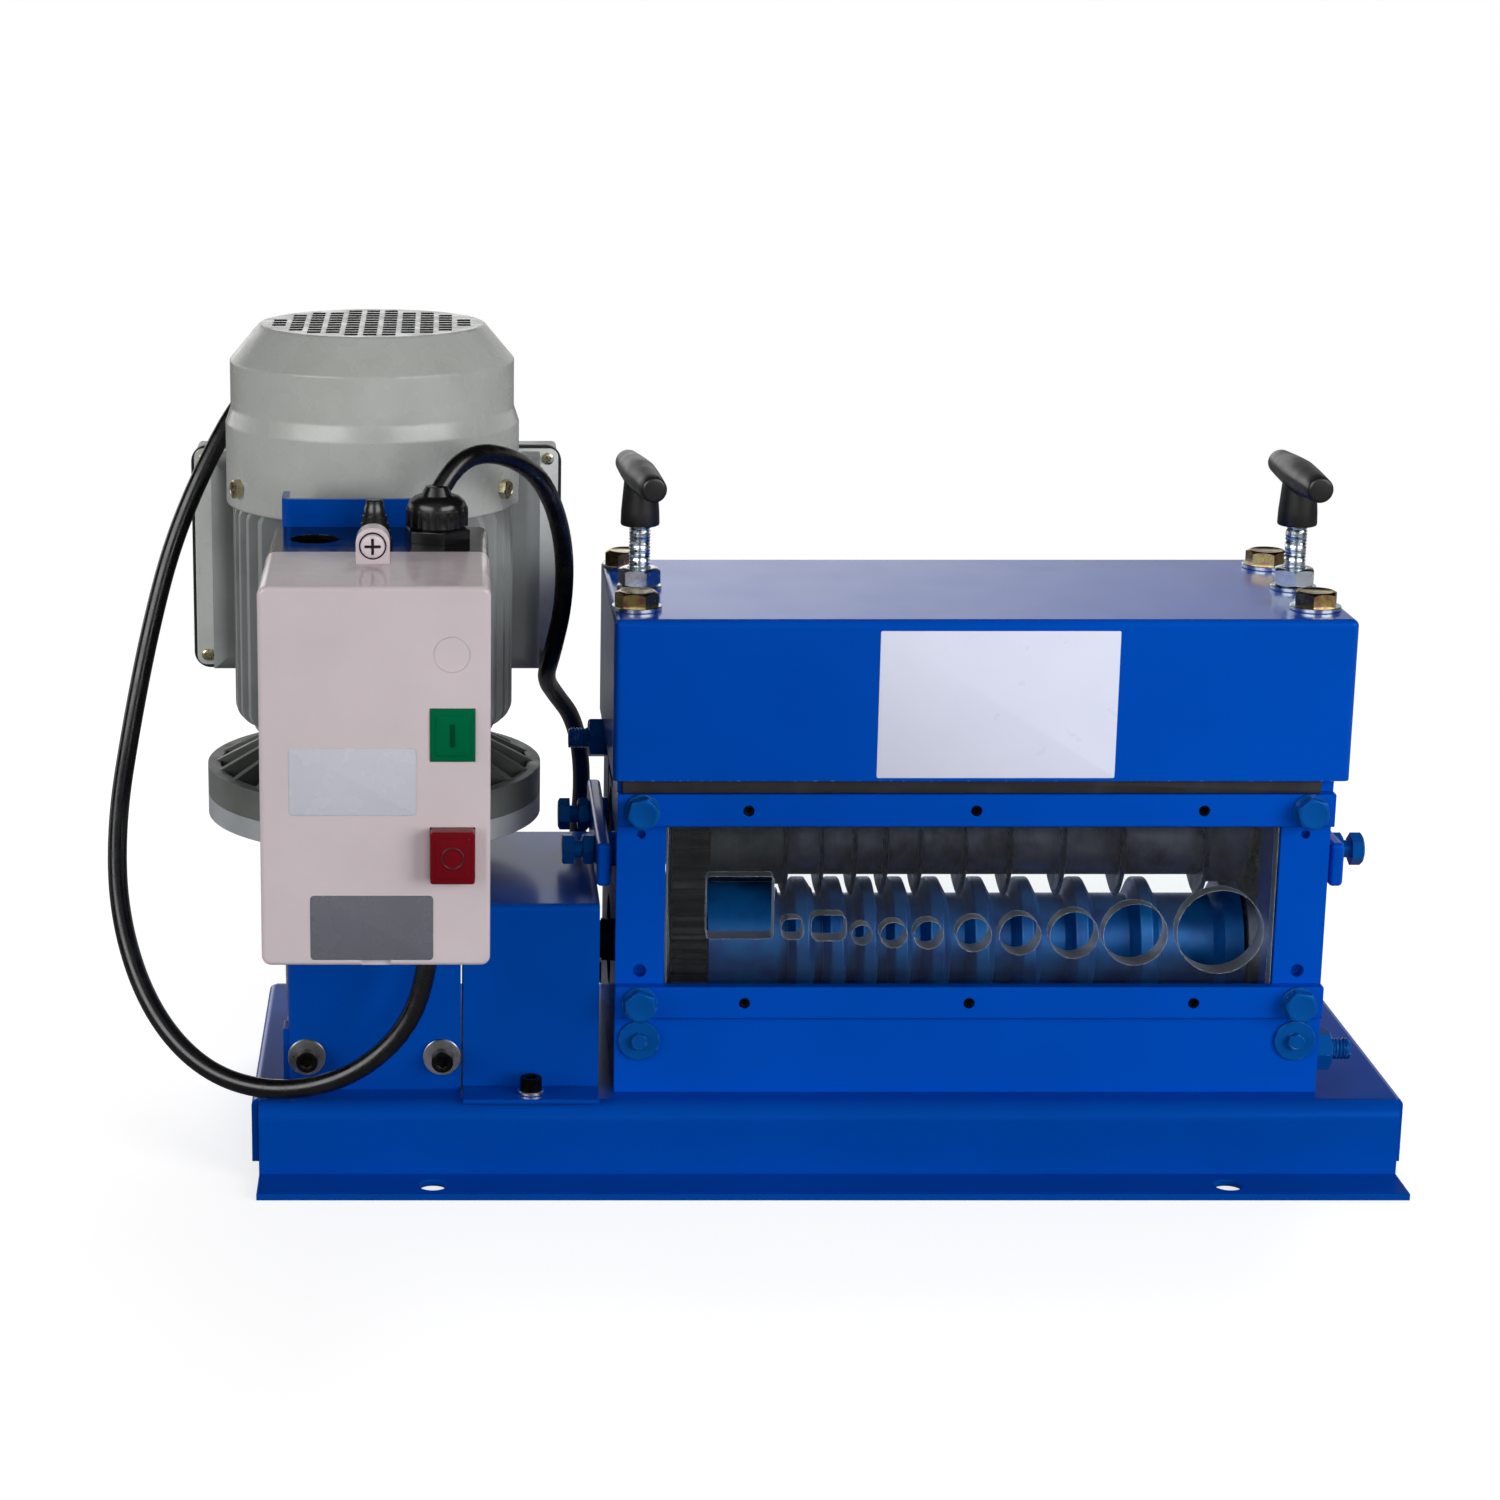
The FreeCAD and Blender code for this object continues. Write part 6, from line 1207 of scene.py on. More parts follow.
@dataclass
class Fasteners:
    """All screws, nuts and washers, set by one node tree."""

    shop: Workshop
    bolt_x: tuple[float, float] = (-85.0, 211.3)
    bar_z: tuple[float, float] = (79.3, 169.0)
    bar_front: float = -76.7
    set_screw_x: tuple[float, float, float] = (-37.9, 63.2, 164.2)
    deck_under: float = 33.0
    hood_x: tuple[float, float] = (-87.5, 213.8)
    hood_y: tuple[float, float] = (-52.7, 42.5)
    press_x: tuple[float, float] = (-84.0, 214.5)
    axle_y: float = -8.0
    hood_top: float = 255.4
    washer: float = 1.6
    motor: tuple[float, float] = (-206.0, 22.0)
    cowl_radius: float = 67.4
    cowl_screw_z: float = 301.9

    def set_group(self, tree: Tree, name: str, group: Group, finish: Finish) -> Mesh:
        """Set one group of fasteners and return them as a mesh."""
        points = bpy.data.meshes.new(name)
        points.from_pydata([place for place, _ in group.places], [], [])
        ways = points.attributes.new("way", "FLOAT_VECTOR", "POINT")
        flat = [c for _, way in group.places for c in (way.value if isinstance(way, Way) else way)]
        ways.data.foreach_set("vector", flat)
        shape = self.shop.template(name + "_template", group.kind.mesh())
        mesh = grow(name, tree, points, Fastener=shape, Finish=finish.material(), Turn_seed=len(name))
        bpy.data.objects.remove(shape)
        return mesh

    def build(self) -> None:
        """Set every group and register one piece for each finish and body."""
        tree = fastener_tree()
        for name, finish, slot, replaced, groups in self.sets():
            meshes = [self.set_group(tree, f"{name}_{i}", group, finish) for i, group in enumerate(groups)]
            self.shop.piece(name, joined(name, meshes), finish, "frame", slot, replaced)

    def sets(self) -> list[tuple[str, Finish, str, tuple[str, ...], list[Group]]]:
        """List the sets of fasteners: name, finish, slot, nodes replaced and groups."""
        front, up, down = Way.FRONT, Way.UP, Way.DOWN
        bar_washers = [((x, self.bar_front, z), front) for x in self.bolt_x for z in self.bar_z]
        bar_heads = [((x, self.bar_front - self.washer, z), front) for x in self.bolt_x for z in self.bar_z]
        deck = [((x, y, self.deck_under), down) for x in self.bolt_x for y in (-43.0, 27.0)]
        deck += [((x, y, self.deck_under), down) for x in (-229.0, -183.0) for y in (-50.7, 39.8)]
        apron = [((x, -73.7, 61.0), front) for x in self.bolt_x]
        apron_heads = [((x, -73.7 - self.washer, 61.0), front) for x in self.bolt_x]
        keeper_y = (-38.0, 22.0)
        keeper_nuts = [((-104.5, y, 140.6), Way.LEFT) for y in keeper_y]
        keeper_nuts += [((230.8, y, 140.6), Way.RIGHT) for y in keeper_y]
        keeper_heads = [((-113.7, y, 140.6), Way.LEFT) for y in keeper_y]
        keeper_heads += [((240.0, y, 140.6), Way.RIGHT) for y in keeper_y]
        hood = [((x, y, self.hood_top), up) for x in self.hood_x for y in self.hood_y]
        hood_heads = [((x, y, self.hood_top + 2.0), up) for x in self.hood_x for y in self.hood_y]
        locks = [((x, self.axle_y, self.hood_top), up) for x in self.press_x]
        lock_nuts = [((x, self.axle_y, self.hood_top + 2.0), up) for x in self.press_x]
        bracket = [((x, -70.7, 52.0), front) for x in (-235.2, -174.0)]
        bracket_heads = [((x + 0.2, -72.3, 51.2), front) for x in (-235.2, -174.0)]
        cowl = []
        for angle in (-62.0, 62.0, 118.0, 242.0):
            way = (math.sin(math.radians(angle)), -math.cos(math.radians(angle)), 0.0)
            spot = (
                self.motor[0] + self.cowl_radius * way[0], self.motor[1] + self.cowl_radius * way[1],
                self.cowl_screw_z,
            )
            cowl.append((spot, way))
        corners = [((x, 97.3, z), front) for x in (-289.0, -123.0) for z in (200.8, 297.8)]
        set_screws = [((x, self.bar_front + 3.0, z), front) for x in self.set_screw_x for z in self.bar_z]
        return [
            (
                "painted_bolts", BLUE_HEADS, "blue_bolt_paint", ("m8_bolts",),
                [
                    Group(Washer(), tuple(bar_washers)), Group(HexBolt(length=1.6), tuple(bar_heads)),
                    Group(HexBolt(length=4.0), tuple(deck)), Group(Washer(9.3, 3.6), tuple(apron)),
                    Group(HexBolt(7.0, 2.8, 3.0, 1.0), tuple(apron_heads)),
                    Group(HexNut(13.0, 5.6, 4.0), tuple(keeper_nuts)),
                    Group(HexBolt(length=14.0), tuple(keeper_heads)),
                ],
            ),
            (
                "hood_bolt_heads", YELLOW_ZINC, "yellow_zinc", ("hood_bolts",),
                [Group(HexBolt(17.0, 6.4, 5.0, 8.0), tuple(hood_heads))],
            ),
            (
                "zinc_nuts_and_washers", ZINC, "zinc", ("plated_nuts_and_washers",),
                [
                    Group(Washer(11.2, 5.2, 2.0), tuple(hood)), Group(Washer(10.2, 5.2, 2.0), tuple(locks)),
                    Group(HexNut(), tuple(lock_nuts)),
                ],
            ),
            (
                "plain_washers", WASHER_STEEL, "zinc", (),
                [
                    Group(Washer(8.6, 4.2), tuple(bracket)),
                    Group(Washer(6.0, 3.2), (((-133.8, -79.8, 38.0), up),)),
                ],
            ),
            (
                "socket_heads", BLACK_OXIDE, "black_oxide", ("socket_screws",),
                [
                    Group(SocketScrew(2.5, 2.0, 2.6, 1.5), tuple(set_screws)),
                    Group(SocketScrew(4.9, 5.0, 4.4, 3.0), tuple(bracket_heads)),
                    Group(SocketScrew(5.0, 6.0, 5.0, 3.0), (((-133.8, -79.8, 39.6), up),)),
                ],
            ),
            (
                "cowl_and_box_screws", PALE_ZINC, "yellow_zinc", ("zinc_screws",),
                [
                    Group(HexBolt(7.9, 3.4, 2.4, 5.0, 2.1), tuple(cowl)),
                    Group(CrossScrew(2.9, 1.5, 1.8, 0.45), tuple(corners)),
                ],
            ),
        ]


# Leads


@dataclass(frozen=True)
class Lead:
    """A round lead on one smooth route.

    Attributes:
        name: Name of the piece.
        diameter: Outside diameter of the jacket.
        route: Control points, in millimetres.
        far_end: What the lead ends in; not used.
        length: Real length, in millimetres; not used.
    """

    name: str
    diameter: float
    route: tuple[Point, ...]
    far_end: str
    length: float

    def build(self, shop: Workshop, replaced: Sequence[str], riders: Sequence[bpy.types.Object] = ()) -> None:
        curve = bpy.data.curves.new(self.name, "CURVE")
        curve.dimensions = "3D"
        curve.bevel_depth = self.diameter / 2 * MM
        curve.bevel_resolution = 6
        curve.resolution_u = 10
        curve.use_fill_caps = True
        spline = curve.splines.new("NURBS")
        spline.points.add(len(self.route) - 1)
        for spot, place in zip(spline.points, self.route):
            spot.co = (*(value * MM for value in place), 1.0)
        spline.order_u = 3
        spline.use_endpoint_u = True
        curve.materials.append(LEAD.material())
        made = linked(self.name, curve)
        shop.register(made, "frame", replaced)


@dataclass
class Leads:
    """Lead from the starter to the motor, and the mains lead with its coil and plug."""

    shop: Workshop
    motor_route: tuple[Point, ...] = (
        (-179, -98.7, 123), (-180, -99, 100), (-191, -100, 72), (-217, -98, 50), (-251, -89, 41),
        (-283, -75, 47), (-308, -56, 70), (-323, -30, 105), (-326, -2, 143), (-320, 25, 185),
        (-312, 43, 226), (-302, 56, 264), (-287, 67, 299), (-270, 82, 329), (-247, 97, 351),
        (-217, 109, 361), (-188, 113, 355), (-169, 114, 335), (-165, 113, 316),
    )
    mains_route: tuple[Point, ...] = (
        (-178.9, -100.7, 308), (-172, -95, 323), (-159, -82, 331), (-141, -58, 324), (-127, -30, 307),
        (-118, 1, 276), (-117, 23, 243), (-122, 38, 215), (-125, 56, 199), (-120, 76, 187),
        (-109, 95, 169), (-104, 110, 138), (-106, 123, 101), (-108, 133, 64), (-101, 138, 33),
        (-82, 140, 12), (-56, 141, 4.5), (-26, 139, 4.5), (6, 137.5, 4.5), (32, 136.6, 4.5),
    )
    mains_diameter: float = 8.6
    coil_centre: tuple[float, float] = (60.0, 190.5)
    coil_radius: float = 49.5
    coil_points: int = 14
    plug_way: tuple[Point, ...] = (
        (36, 243.5, 22.4), (12, 242.5, 19.5), (-8, 241, 13.5), (-22, 240, 9.8), (-40, 240, 9.8),
    )

    def coil(self) -> list[Point]:
        """Control points of the coil: turns beside and on each other, a diameter apart."""
        inner, outer = (self.coil_radius + side * (self.mains_diameter / 2 + 0.15) for side in (-1, 1))
        low = self.mains_diameter / 2 + 0.2
        lift = self.mains_diameter + 0.1
        grow_out = 2 / (1 + math.cos(math.pi / self.coil_points))

        def ease(angle: float, start: float, end: float) -> float:
            """Share, from 0 to 1, of a smooth change between two angles."""
            part = min(max((angle - start) / (end - start), 0.0), 1.0)
            return part * part * (3 - 2 * part)

        spots = []
        step = 360 / self.coil_points
        angle = -90 + step
        while angle < 1170:
            inward = ease(angle, 125, 215) - ease(angle, 680, 765)
            layer = ease(angle, 400, 485) + ease(angle, 950, 1035)
            radius = (outer + (inner - outer) * inward) * grow_out
            turn = math.radians(angle)
            spots.append(
                (
                    self.coil_centre[0] + radius * math.cos(turn),
                    self.coil_centre[1] + radius * math.sin(turn), low + lift * layer,
                )
            )
            angle += step
        return spots

    def build(self) -> None:
        """Lay both leads."""
        Lead("motor_lead_pvc", 9.0, self.motor_route, "object", 650).build(self.shop, ("motor_lead",))
        plug = Plug(self.shop).build()
        route = self.mains_route + tuple(self.coil()) + self.plug_way
        Lead("mains_lead_pvc", self.mains_diameter, route, "plug", 1740).build(
            self.shop, ("mains_lead", "mains_coil"), [plug]
        )


@dataclass
class Plug:
    """Moulded mains plug with two flat pins and a ribbed strain relief."""

    shop: Workshop
    tip: Point = (-40.0, 240.0, 9.8)
    relief: float = 20.0
    grip: float = 46.0
    wide: float = 26.0
    thick: float = 15.6
    pin: tuple[float, float, float] = (17.0, 6.4, 1.6)

    def build(self) -> bpy.types.Object:
        """Make the plug, which lies on the floor with its pins to the left."""
        x, y, z = self.tip

        def oval(wide: float, thick: float) -> Outline:
            """Radius of a rounded rectangle at an angle."""

            def reach(angle: float) -> float:
                """Radius at an angle."""
                across, upright = abs(math.cos(angle)) / (wide / 2), abs(math.sin(angle)) / (thick / 2)
                return (across**3.2 + upright**3.2) ** (-1 / 3.2)

            return reach

        rings = [Ring(4.5, -self.relief)]
        count = 5
        for i in range(count):
            low = -self.relief + self.relief * i / count
            radius = 4.9 + 2.0 * i / count
            rings += [Ring(radius, low + 0.3), Ring(radius + 0.5, low + 2.6), Ring(radius - 0.5, low + 3.0)]
        rings += [
            Ring(oval(16, 13), 0.6), Ring(oval(20, 14.4), 5.0), Ring(oval(24, 15.2), 14.0),
            Ring(oval(self.wide, self.thick), 24.0), Ring(oval(self.wide, self.thick), self.grip - 1.5),
            Ring(oval(self.wide - 2, self.thick - 2), self.grip),
        ]
        grip = moved(stack("grip", rings, 64), (x, y, z), Way.LEFT, 90)
        long, high, gauge = self.pin
        pins = [
            moved(
                rounded_slab("pin", gauge, high, long + 1, 0.3, 0.5),
                (x - self.grip + 1, y + side * self.wide / 4, z), Way.LEFT, 90,
            )
            for side in (-1, 1)
        ]
        body = self.shop.piece("plug_grip", grip, RUBBER, "frame", "black_rubber", ("mains_plug",))
        blades = self.shop.piece("plug_pins", joined("pins", pins), ZINC, "frame", "zinc")
        blades.parent = body
        return body


# Sub-assemblies


@dataclass
class PressScrew:
    """Screw that presses one bearing block down, with its thread and its cross grip."""

    shop: Workshop
    side: str
    x: float
    turn: float
    y: float = -8.0
    foot: float = 164.9
    root: float = 4.25
    crest: float = 5.0
    pitch: float = 1.5
    grip_foot: float = 285.0
    bar_z: float = 307.6
    half_bar: float = 39.0
    bar_end: float = 5.8
    bar_middle: float = 7.6
    neck_foot: float = 8.9
    neck_top: float = 7.3

    def build(self, tree: Tree) -> None:
        """Make the threaded rod and the grip, each on the screw's own body."""
        length = self.grip_foot + 4 - self.foot
        thread = grow(
            "thread", tree, Radius=self.root + 0.05, Pitch=self.pitch, Length=length - 1.0,
            Ridge=self.crest - self.root - 0.05, Finish=ZINC.material(),
        )
        core = stack("core", [Ring(self.root - 0.6, 0.0), Ring(self.root, 0.6), Ring(self.root, length)])
        rod = joined("rod", [moved(thread, (0, 0, 0.5)), core])
        rod.set_sharp_from_angle(angle=math.radians(40))
        body = f"{self.side}_screw"
        node = f"{self.side}_press_screw"
        self.shop.piece(
            f"{self.side}_threaded_rod", moved(rod, (self.x, self.y, self.foot)), ZINC, body,
            "bright_steel", (node,),
        )
        self.shop.piece(
            f"{self.side}_cross_grip", self.grip(), GRIP, body, "black_moulding", (f"{self.side}_tee_handle",)
        )

    def grip(self) -> Mesh:
        """Tapered bar with rounded ends on a round neck that narrows upward."""
        end = self.half_bar
        bar = []
        for i in range(13):
            share = i / 6 - 1
            radius = self.bar_end + (self.bar_middle - self.bar_end) * (1 - abs(share) ** 1.3)
            bar.append(Ring(radius, share * (end - 1.4)))
        tip = self.bar_end
        low = [Ring(tip - 1.6, -end), Ring(tip - 0.8, -end + 0.2), Ring(tip - 0.25, -end + 0.7)]
        high = [Ring(tip - 0.25, end - 0.7), Ring(tip - 0.8, end - 0.2), Ring(tip - 1.6, end)]
        across = moved(stack("bar", [*low, *bar, *high]), (0, 0, 0), Way.BACK)
        across = moved(across, (self.x, self.y, self.bar_z), Way.UP, self.turn)
        rise = self.bar_z - self.grip_foot
        neck = stack(
            "neck",
            [
                Ring(5.3, 0.0), Ring(self.neck_foot - 0.9, 0.0), Ring(self.neck_foot - 0.25, 0.3),
                Ring(self.neck_foot, 1.0), Ring(self.neck_foot - 0.2, rise * 0.3),
                Ring(self.neck_top, rise),
            ],
        )
        return joined("grip", [across, moved(neck, (self.x, self.y, self.grip_foot))])


@dataclass
class TieRods:
    """Threaded rods that hold the side plates together, with their painted nuts."""

    shop: Workshop
    places: tuple[tuple[float, float], ...] = ((-59.7, 52.0), (42.0, 52.0), (42.0, 172.7))
    right_face: float = 222.3
    right_end: float = 240.3
    left_face: float = -96.0
    left_end: float = -114.0
    root: float = 4.3

    def build(self, tree: Tree) -> None:
        """Make the rods, their threads and their nuts."""
        parts = []
        for i, (y, z) in enumerate(self.places):
            left = self.left_end if i == 2 else self.left_face
            core = [Ring(self.root - 0.6, 0.0), Ring(self.root, 0.8)]
            length = self.right_end - left
            core += [Ring(self.root, length - 0.8), Ring(self.root - 0.6, length)]
            parts.append(moved(stack("rod", core), (left, y, z), Way.RIGHT))
            parts.append(self.thread(tree, (self.right_face + 0.5, y, z)))
            parts.append(moved(HexNut(17.0, 8.6, 4.4).mesh(), (self.right_face, y, z), Way.RIGHT, 11 * i))
            if i == 2:
                parts.append(self.thread(tree, (self.left_end + 0.5, y, z)))
                parts.append(moved(HexNut(17.0, 8.6, 4.4).mesh(), (self.left_face, y, z), Way.LEFT, 20))
        self.shop.piece("painted_tie_rods", joined("rods", parts), BLUE_HEADS, "frame", "zinc", ("tie_rods",))

    def thread(self, tree: Tree, place: Point) -> Mesh:
        """Thread on the end of a rod, from a place to the right."""
        wound = grow(
            "rod_thread", tree, Radius=self.root + 0.05, Pitch=1.5, Length=16.8, Ridge=0.65,
            Finish=BLUE_HEADS.material(),
        )
        return moved(wound, place, Way.RIGHT)


@dataclass
class KnurledDrum:
    """Drum with a diamond knurl that pulls flat wire through."""

    shop: Workshop
    left: float = -51.5
    right: float = -17.4
    axle: tuple[float, float] = (-8.0, 140.6)
    radius: float = 23.4
    tooth: float = 0.8
    bore: float = 17.0

    def build(self) -> None:
        """Roll the knurled sheet and close its ends."""
        edge = self.radius - 0.7
        middle = (self.left + self.right) / 2
        length = self.right - self.left - 0.8
        skin = grow(
            "knurl", knurl_tree(), Radius=self.radius - self.tooth, Height=self.tooth, Length=length,
            Finish=DRUM.material(),
        )
        hub = stack(
            "hub",
            [
                Ring(self.bore, 0.0), Ring(self.radius - 1.4, 0.0), Ring(edge, 0.5),
                Ring(edge, length + 0.3), Ring(self.radius - 1.4, length + 0.8),
                Ring(self.bore, length + 0.8),
            ],
        )
        drum = joined(
            "drum",
            [moved(skin, (middle, *self.axle)), moved(hub, (self.left, *self.axle), Way.RIGHT)],
        )
        self.shop.piece("drum_with_knurl", drum, DRUM, "cutter", "dark_steel", ("knurled_drum",))


@dataclass
class Gland:
    """Cable gland: hexagon foot, ribbed nut, domed end and the seal around the lead."""

    place: Point
    radius: float
    height: float
    lead: float
    way: Way = Way.UP
    ribs: int = 18

    def mesh(self, tree: Tree, shop: Workshop) -> Mesh:
        """Build the gland on Z 0 and set it in place."""
        foot = self.height * 0.24
        nut = self.height * 0.62
        hexagonal = hexagon(self.radius * 1.86)
        base = stack(
            "foot",
            [
                Ring(self.radius * 0.8, 0.0), Ring(hexagonal, 0.0), Ring(hexagonal, foot * 0.86),
                Ring(self.radius * 0.88, foot),
            ],
        )
        cap = stack(
            "cap",
            [
                Ring(self.radius * 0.8, foot), Ring(self.radius * 0.9, foot + 0.4),
                Ring(self.radius * 0.93, nut), Ring(self.radius * 0.86, nut + self.height * 0.1),
                Ring(self.radius * 0.7, nut + self.height * 0.18),
                Ring(self.radius * 0.56, nut + self.height * 0.21),
                Ring(self.radius * 0.5, nut + self.height * 0.2),
                Ring(self.lead / 2 + 1.0, self.height - 1.2), Ring(self.lead / 2 + 0.5, self.height - 0.3),
                Ring(self.lead / 2 - 0.5, self.height),
            ],
        )
        rib = rounded_slab("rib", 1.1, nut - foot - 1.0, self.radius * 0.1, 0.3, 0.25, 3)
        rib.transform(Matrix.Rotation(math.radians(90), 4, "X"))
        rib.transform(Matrix.Rotation(math.radians(90), 4, "Z"))
        shape = shop.template("rib_template", rib)
        ribs = grow(
            "ribs", tree, Rib=shape, Count=self.ribs, Radius=self.radius * 0.87, Finish=POLYAMIDE.material()
        )
        bpy.data.objects.remove(shape)
        ribs = moved(ribs, (0, 0, (foot + nut) / 2))
        return moved(joined("gland", [base, cap, ribs]), self.place, self.way, 12)


@dataclass
class StarterBox:
    """Dress of the starter box: buttons, marks, glands, ear screw and bare label places."""

    shop: Workshop
    front: float = -200.4
    button_x: float = -169.3
    start_z: float = 234.7
    stop_z: float = 185.0
    wide: float = 18.2
    high: float = 22.0

    def build(self) -> None:
        """Make all the small parts of the box."""
        self.button("start", self.start_z, 1.2, GREEN, GREEN_MARK, "green_button")
        self.button("stop", self.stop_z, 8.0, RED, RED_MARK, "red_button")
        self.glands()
        self.ear_screw()
        self.labels()
        self.blind_ring()

    def button(
        self, name: str, z: float, proud: float, finish: Finish, mark_finish: Finish, slot: str
    ) -> None:
        """Make a push button with a raised panel and its mark, on the button's body.

        Args:
            name: Which button, also the name of its body.
            z: Height of its middle.
            proud: How far it stands out of the lid.
            finish: Finish of the button.
            mark_finish: Finish of the mark.
            slot: Material slot of the record.
        """
        body = rounded_slab("button", self.wide, self.high, proud + 8.6, 1.2, 0.7)
        panel = rounded_slab("panel", self.wide - 4.4, self.high - 5.0, proud + 9.0, 0.8, 0.35)
        place = (self.button_x, self.front + 9.0, z)
        cap = joined(name, [moved(part, place, Way.FRONT) for part in (body, panel)])
        self.shop.piece(f"{name}_push", cap, finish, name, slot, (f"{name}_button",))
        level = proud + 9.0
        if name == "start":
            mark = rounded_slab("bar", 2.0, 9.6, level + 0.25, 0.3, 0.2)
        else:
            radius = 4.8
            inner = radius - 0.9
            mark = stack(
                "circle",
                [
                    Ring(inner, level - 0.5), Ring(radius, level - 0.5), Ring(radius, level + 0.15),
                    Ring(radius - 0.2, level + 0.25), Ring(radius - 0.7, level + 0.25),
                    Ring(inner, level + 0.15),
                ],
                closed=True,
            )
        self.shop.piece(f"{name}_mark", moved(mark, place, Way.FRONT), mark_finish, name, slot)

    def glands(self) -> None:
        """Make the glands of both leads and the stepped blanking plug."""
        tree = rib_tree()
        glands = [
            Gland((-175.9, -98.7, 295.8), 13.8, 23.2, 8.6),
            Gland((-179.0, -98.7, 137.0), 9.9, 14.0, 9.0, Way.DOWN, 14),
            Gland((-165.0, 113.0, 302.3), 9.4, 14.0, 9.0, Way.UP, 14),
        ]
        parts = [gland.mesh(tree, self.shop) for gland in glands]
        steps = [Ring(7.5, 0.0), Ring(7.5, 3.6)]
        for i in range(4):
            low = 4.0 + i * 3.2
            steps += [Ring(6.9 - i * 0.75, low), Ring(6.7 - i * 0.75, low + 2.8)]
        steps += [Ring(3.9, 17.4), Ring(3.7, 19.4), Ring(3.0, 20.0)]
        parts.append(moved(stack("steps", steps), (-202.2, -114.7, 295.8)))
        self.shop.piece(
            "glands_and_blank", joined("glands", parts), POLYAMIDE, "frame", "black_moulding",
            ("cable_glands",),
        )

    def ear_screw(self) -> None:
        """Make the pale cross screw of the fixing ear, with black pieces in its recess and in a ring around
        it that paint their shade.
        """
        middle = (-202.2, -153.4, 303.3)
        screw = CrossScrew(5.0, 2.0, 3.4, 0.6).mesh()
        self.shop.piece("ear_screw", moved(screw, middle, Way.FRONT), LID, "frame", "lid_moulding")
        # The black cross in the recess and the black ring around the head are painted shade.
        recess = stack("recess", [Ring(cross(3.3, 0.56), 0.3), Ring(cross(3.3, 0.56), 1.7)], steps=96)
        gap = stack("gap", [Ring(5.05, 0.0), Ring(5.7, 0.0), Ring(5.7, 0.12), Ring(5.05, 0.12)], closed=True)
        dark = joined("dark", [moved(part, middle, Way.FRONT) for part in (recess, gap)])
        self.shop.piece("ear_screw_gaps", dark, CASE, "frame", "black_moulding")

    def labels(self) -> None:
        """Lay the bare films of the two label places on the lid."""
        place, form = (self.front + 0.05, "lid_moulding"), (0.22, 1.6, 0.08)
        Sheet("upper_bare_film", PALE_FILM, (-209.9, 215.1), (51.7, 28.2), *place, *form).build(self.shop)
        Sheet("lower_bare_film", GREY_FILM_PAINTED_REFLECTION, (-202.4, 153.4), (50.3, 27.5), *place, *form).build(self.shop)

    def blind_ring(self) -> None:
        """Mark the blind round knockout of the lid with its thin ridge."""
        ring = stack(
            "blind",
            [Ring(7.1, 0.0), Ring(7.5, 0.0), Ring(7.5, 0.1), Ring(7.3, 0.18), Ring(7.1, 0.1)],
            closed=True,
        )
        place = (-169.5, self.front + 0.02, 268.0)
        self.shop.piece("blind_ring", moved(ring, place, Way.FRONT), LID, "frame", "lid_moulding")


@dataclass(frozen=True)
class Sheet:
    """A bare sheet that faces the front.

    Attributes:
        name: Name of the piece.
        finish: Its finish.
        middle: X and Z of its middle.
        size: Width and height.
        back: Y of its back.
        slot: Material slot of the record.
        gauge: Thickness.
        corner: Radius of its corners.
        bevel: Radius of its front edge.
    """

    name: str
    finish: Finish
    middle: Span
    size: Span
    back: float
    slot: str
    gauge: float
    corner: float
    bevel: float

    def build(self, shop: Workshop) -> None:
        """Lay the sheet in its place."""
        slab = rounded_slab(self.name, *self.size, self.gauge, self.corner, self.bevel)
        place = (self.middle[0], self.back, self.middle[1])
        shop.piece(self.name, moved(slab, place, Way.FRONT), self.finish, "frame", self.slot)


# The pale cover, lightened past its paint as painted light, leaves a dark rim of the plate behind the motor's
# box; the sign on the hood is bare; a black strip closes the gap between the hood's edge and the upper bar.
SHEETS = (
    Sheet("rear_cover_sheet", COVER_GREY_LIGHTENED, (-206.0, 249.3), (176.0, 107.0), 98.0, "grey_paint", 0.7, 4.5, 0.3),
    Sheet("bare_sign_sheet", VINYL, (70.8, 217.45), (105.2, 66.5), -76.75, "blue_paint", 0.25, 0.8, 0.08),
    Sheet("hood_edge_strip", RUBBER, (61.0, 182.3), (310.0, 11.4), -71.5, "black_moulding", 3.2, 0.8, 0.4),
)


# Studio


@dataclass
class Lamp:
    """A square soft lamp that looks at the machine."""

    name: str
    place: Point
    size: float
    power: float

    def build(self, aim: Vector) -> None:
        """Hang the lamp."""
        light = bpy.data.lights.new(self.name, "AREA")
        light.shape = "SQUARE"
        light.size = self.size
        light.energy = self.power
        lamp = linked(self.name, light)
        lamp.visible_glossy = False
        lamp.location = self.place
        lamp.rotation_euler = (aim - Vector(self.place)).to_track_quat("-Z", "Y").to_euler()


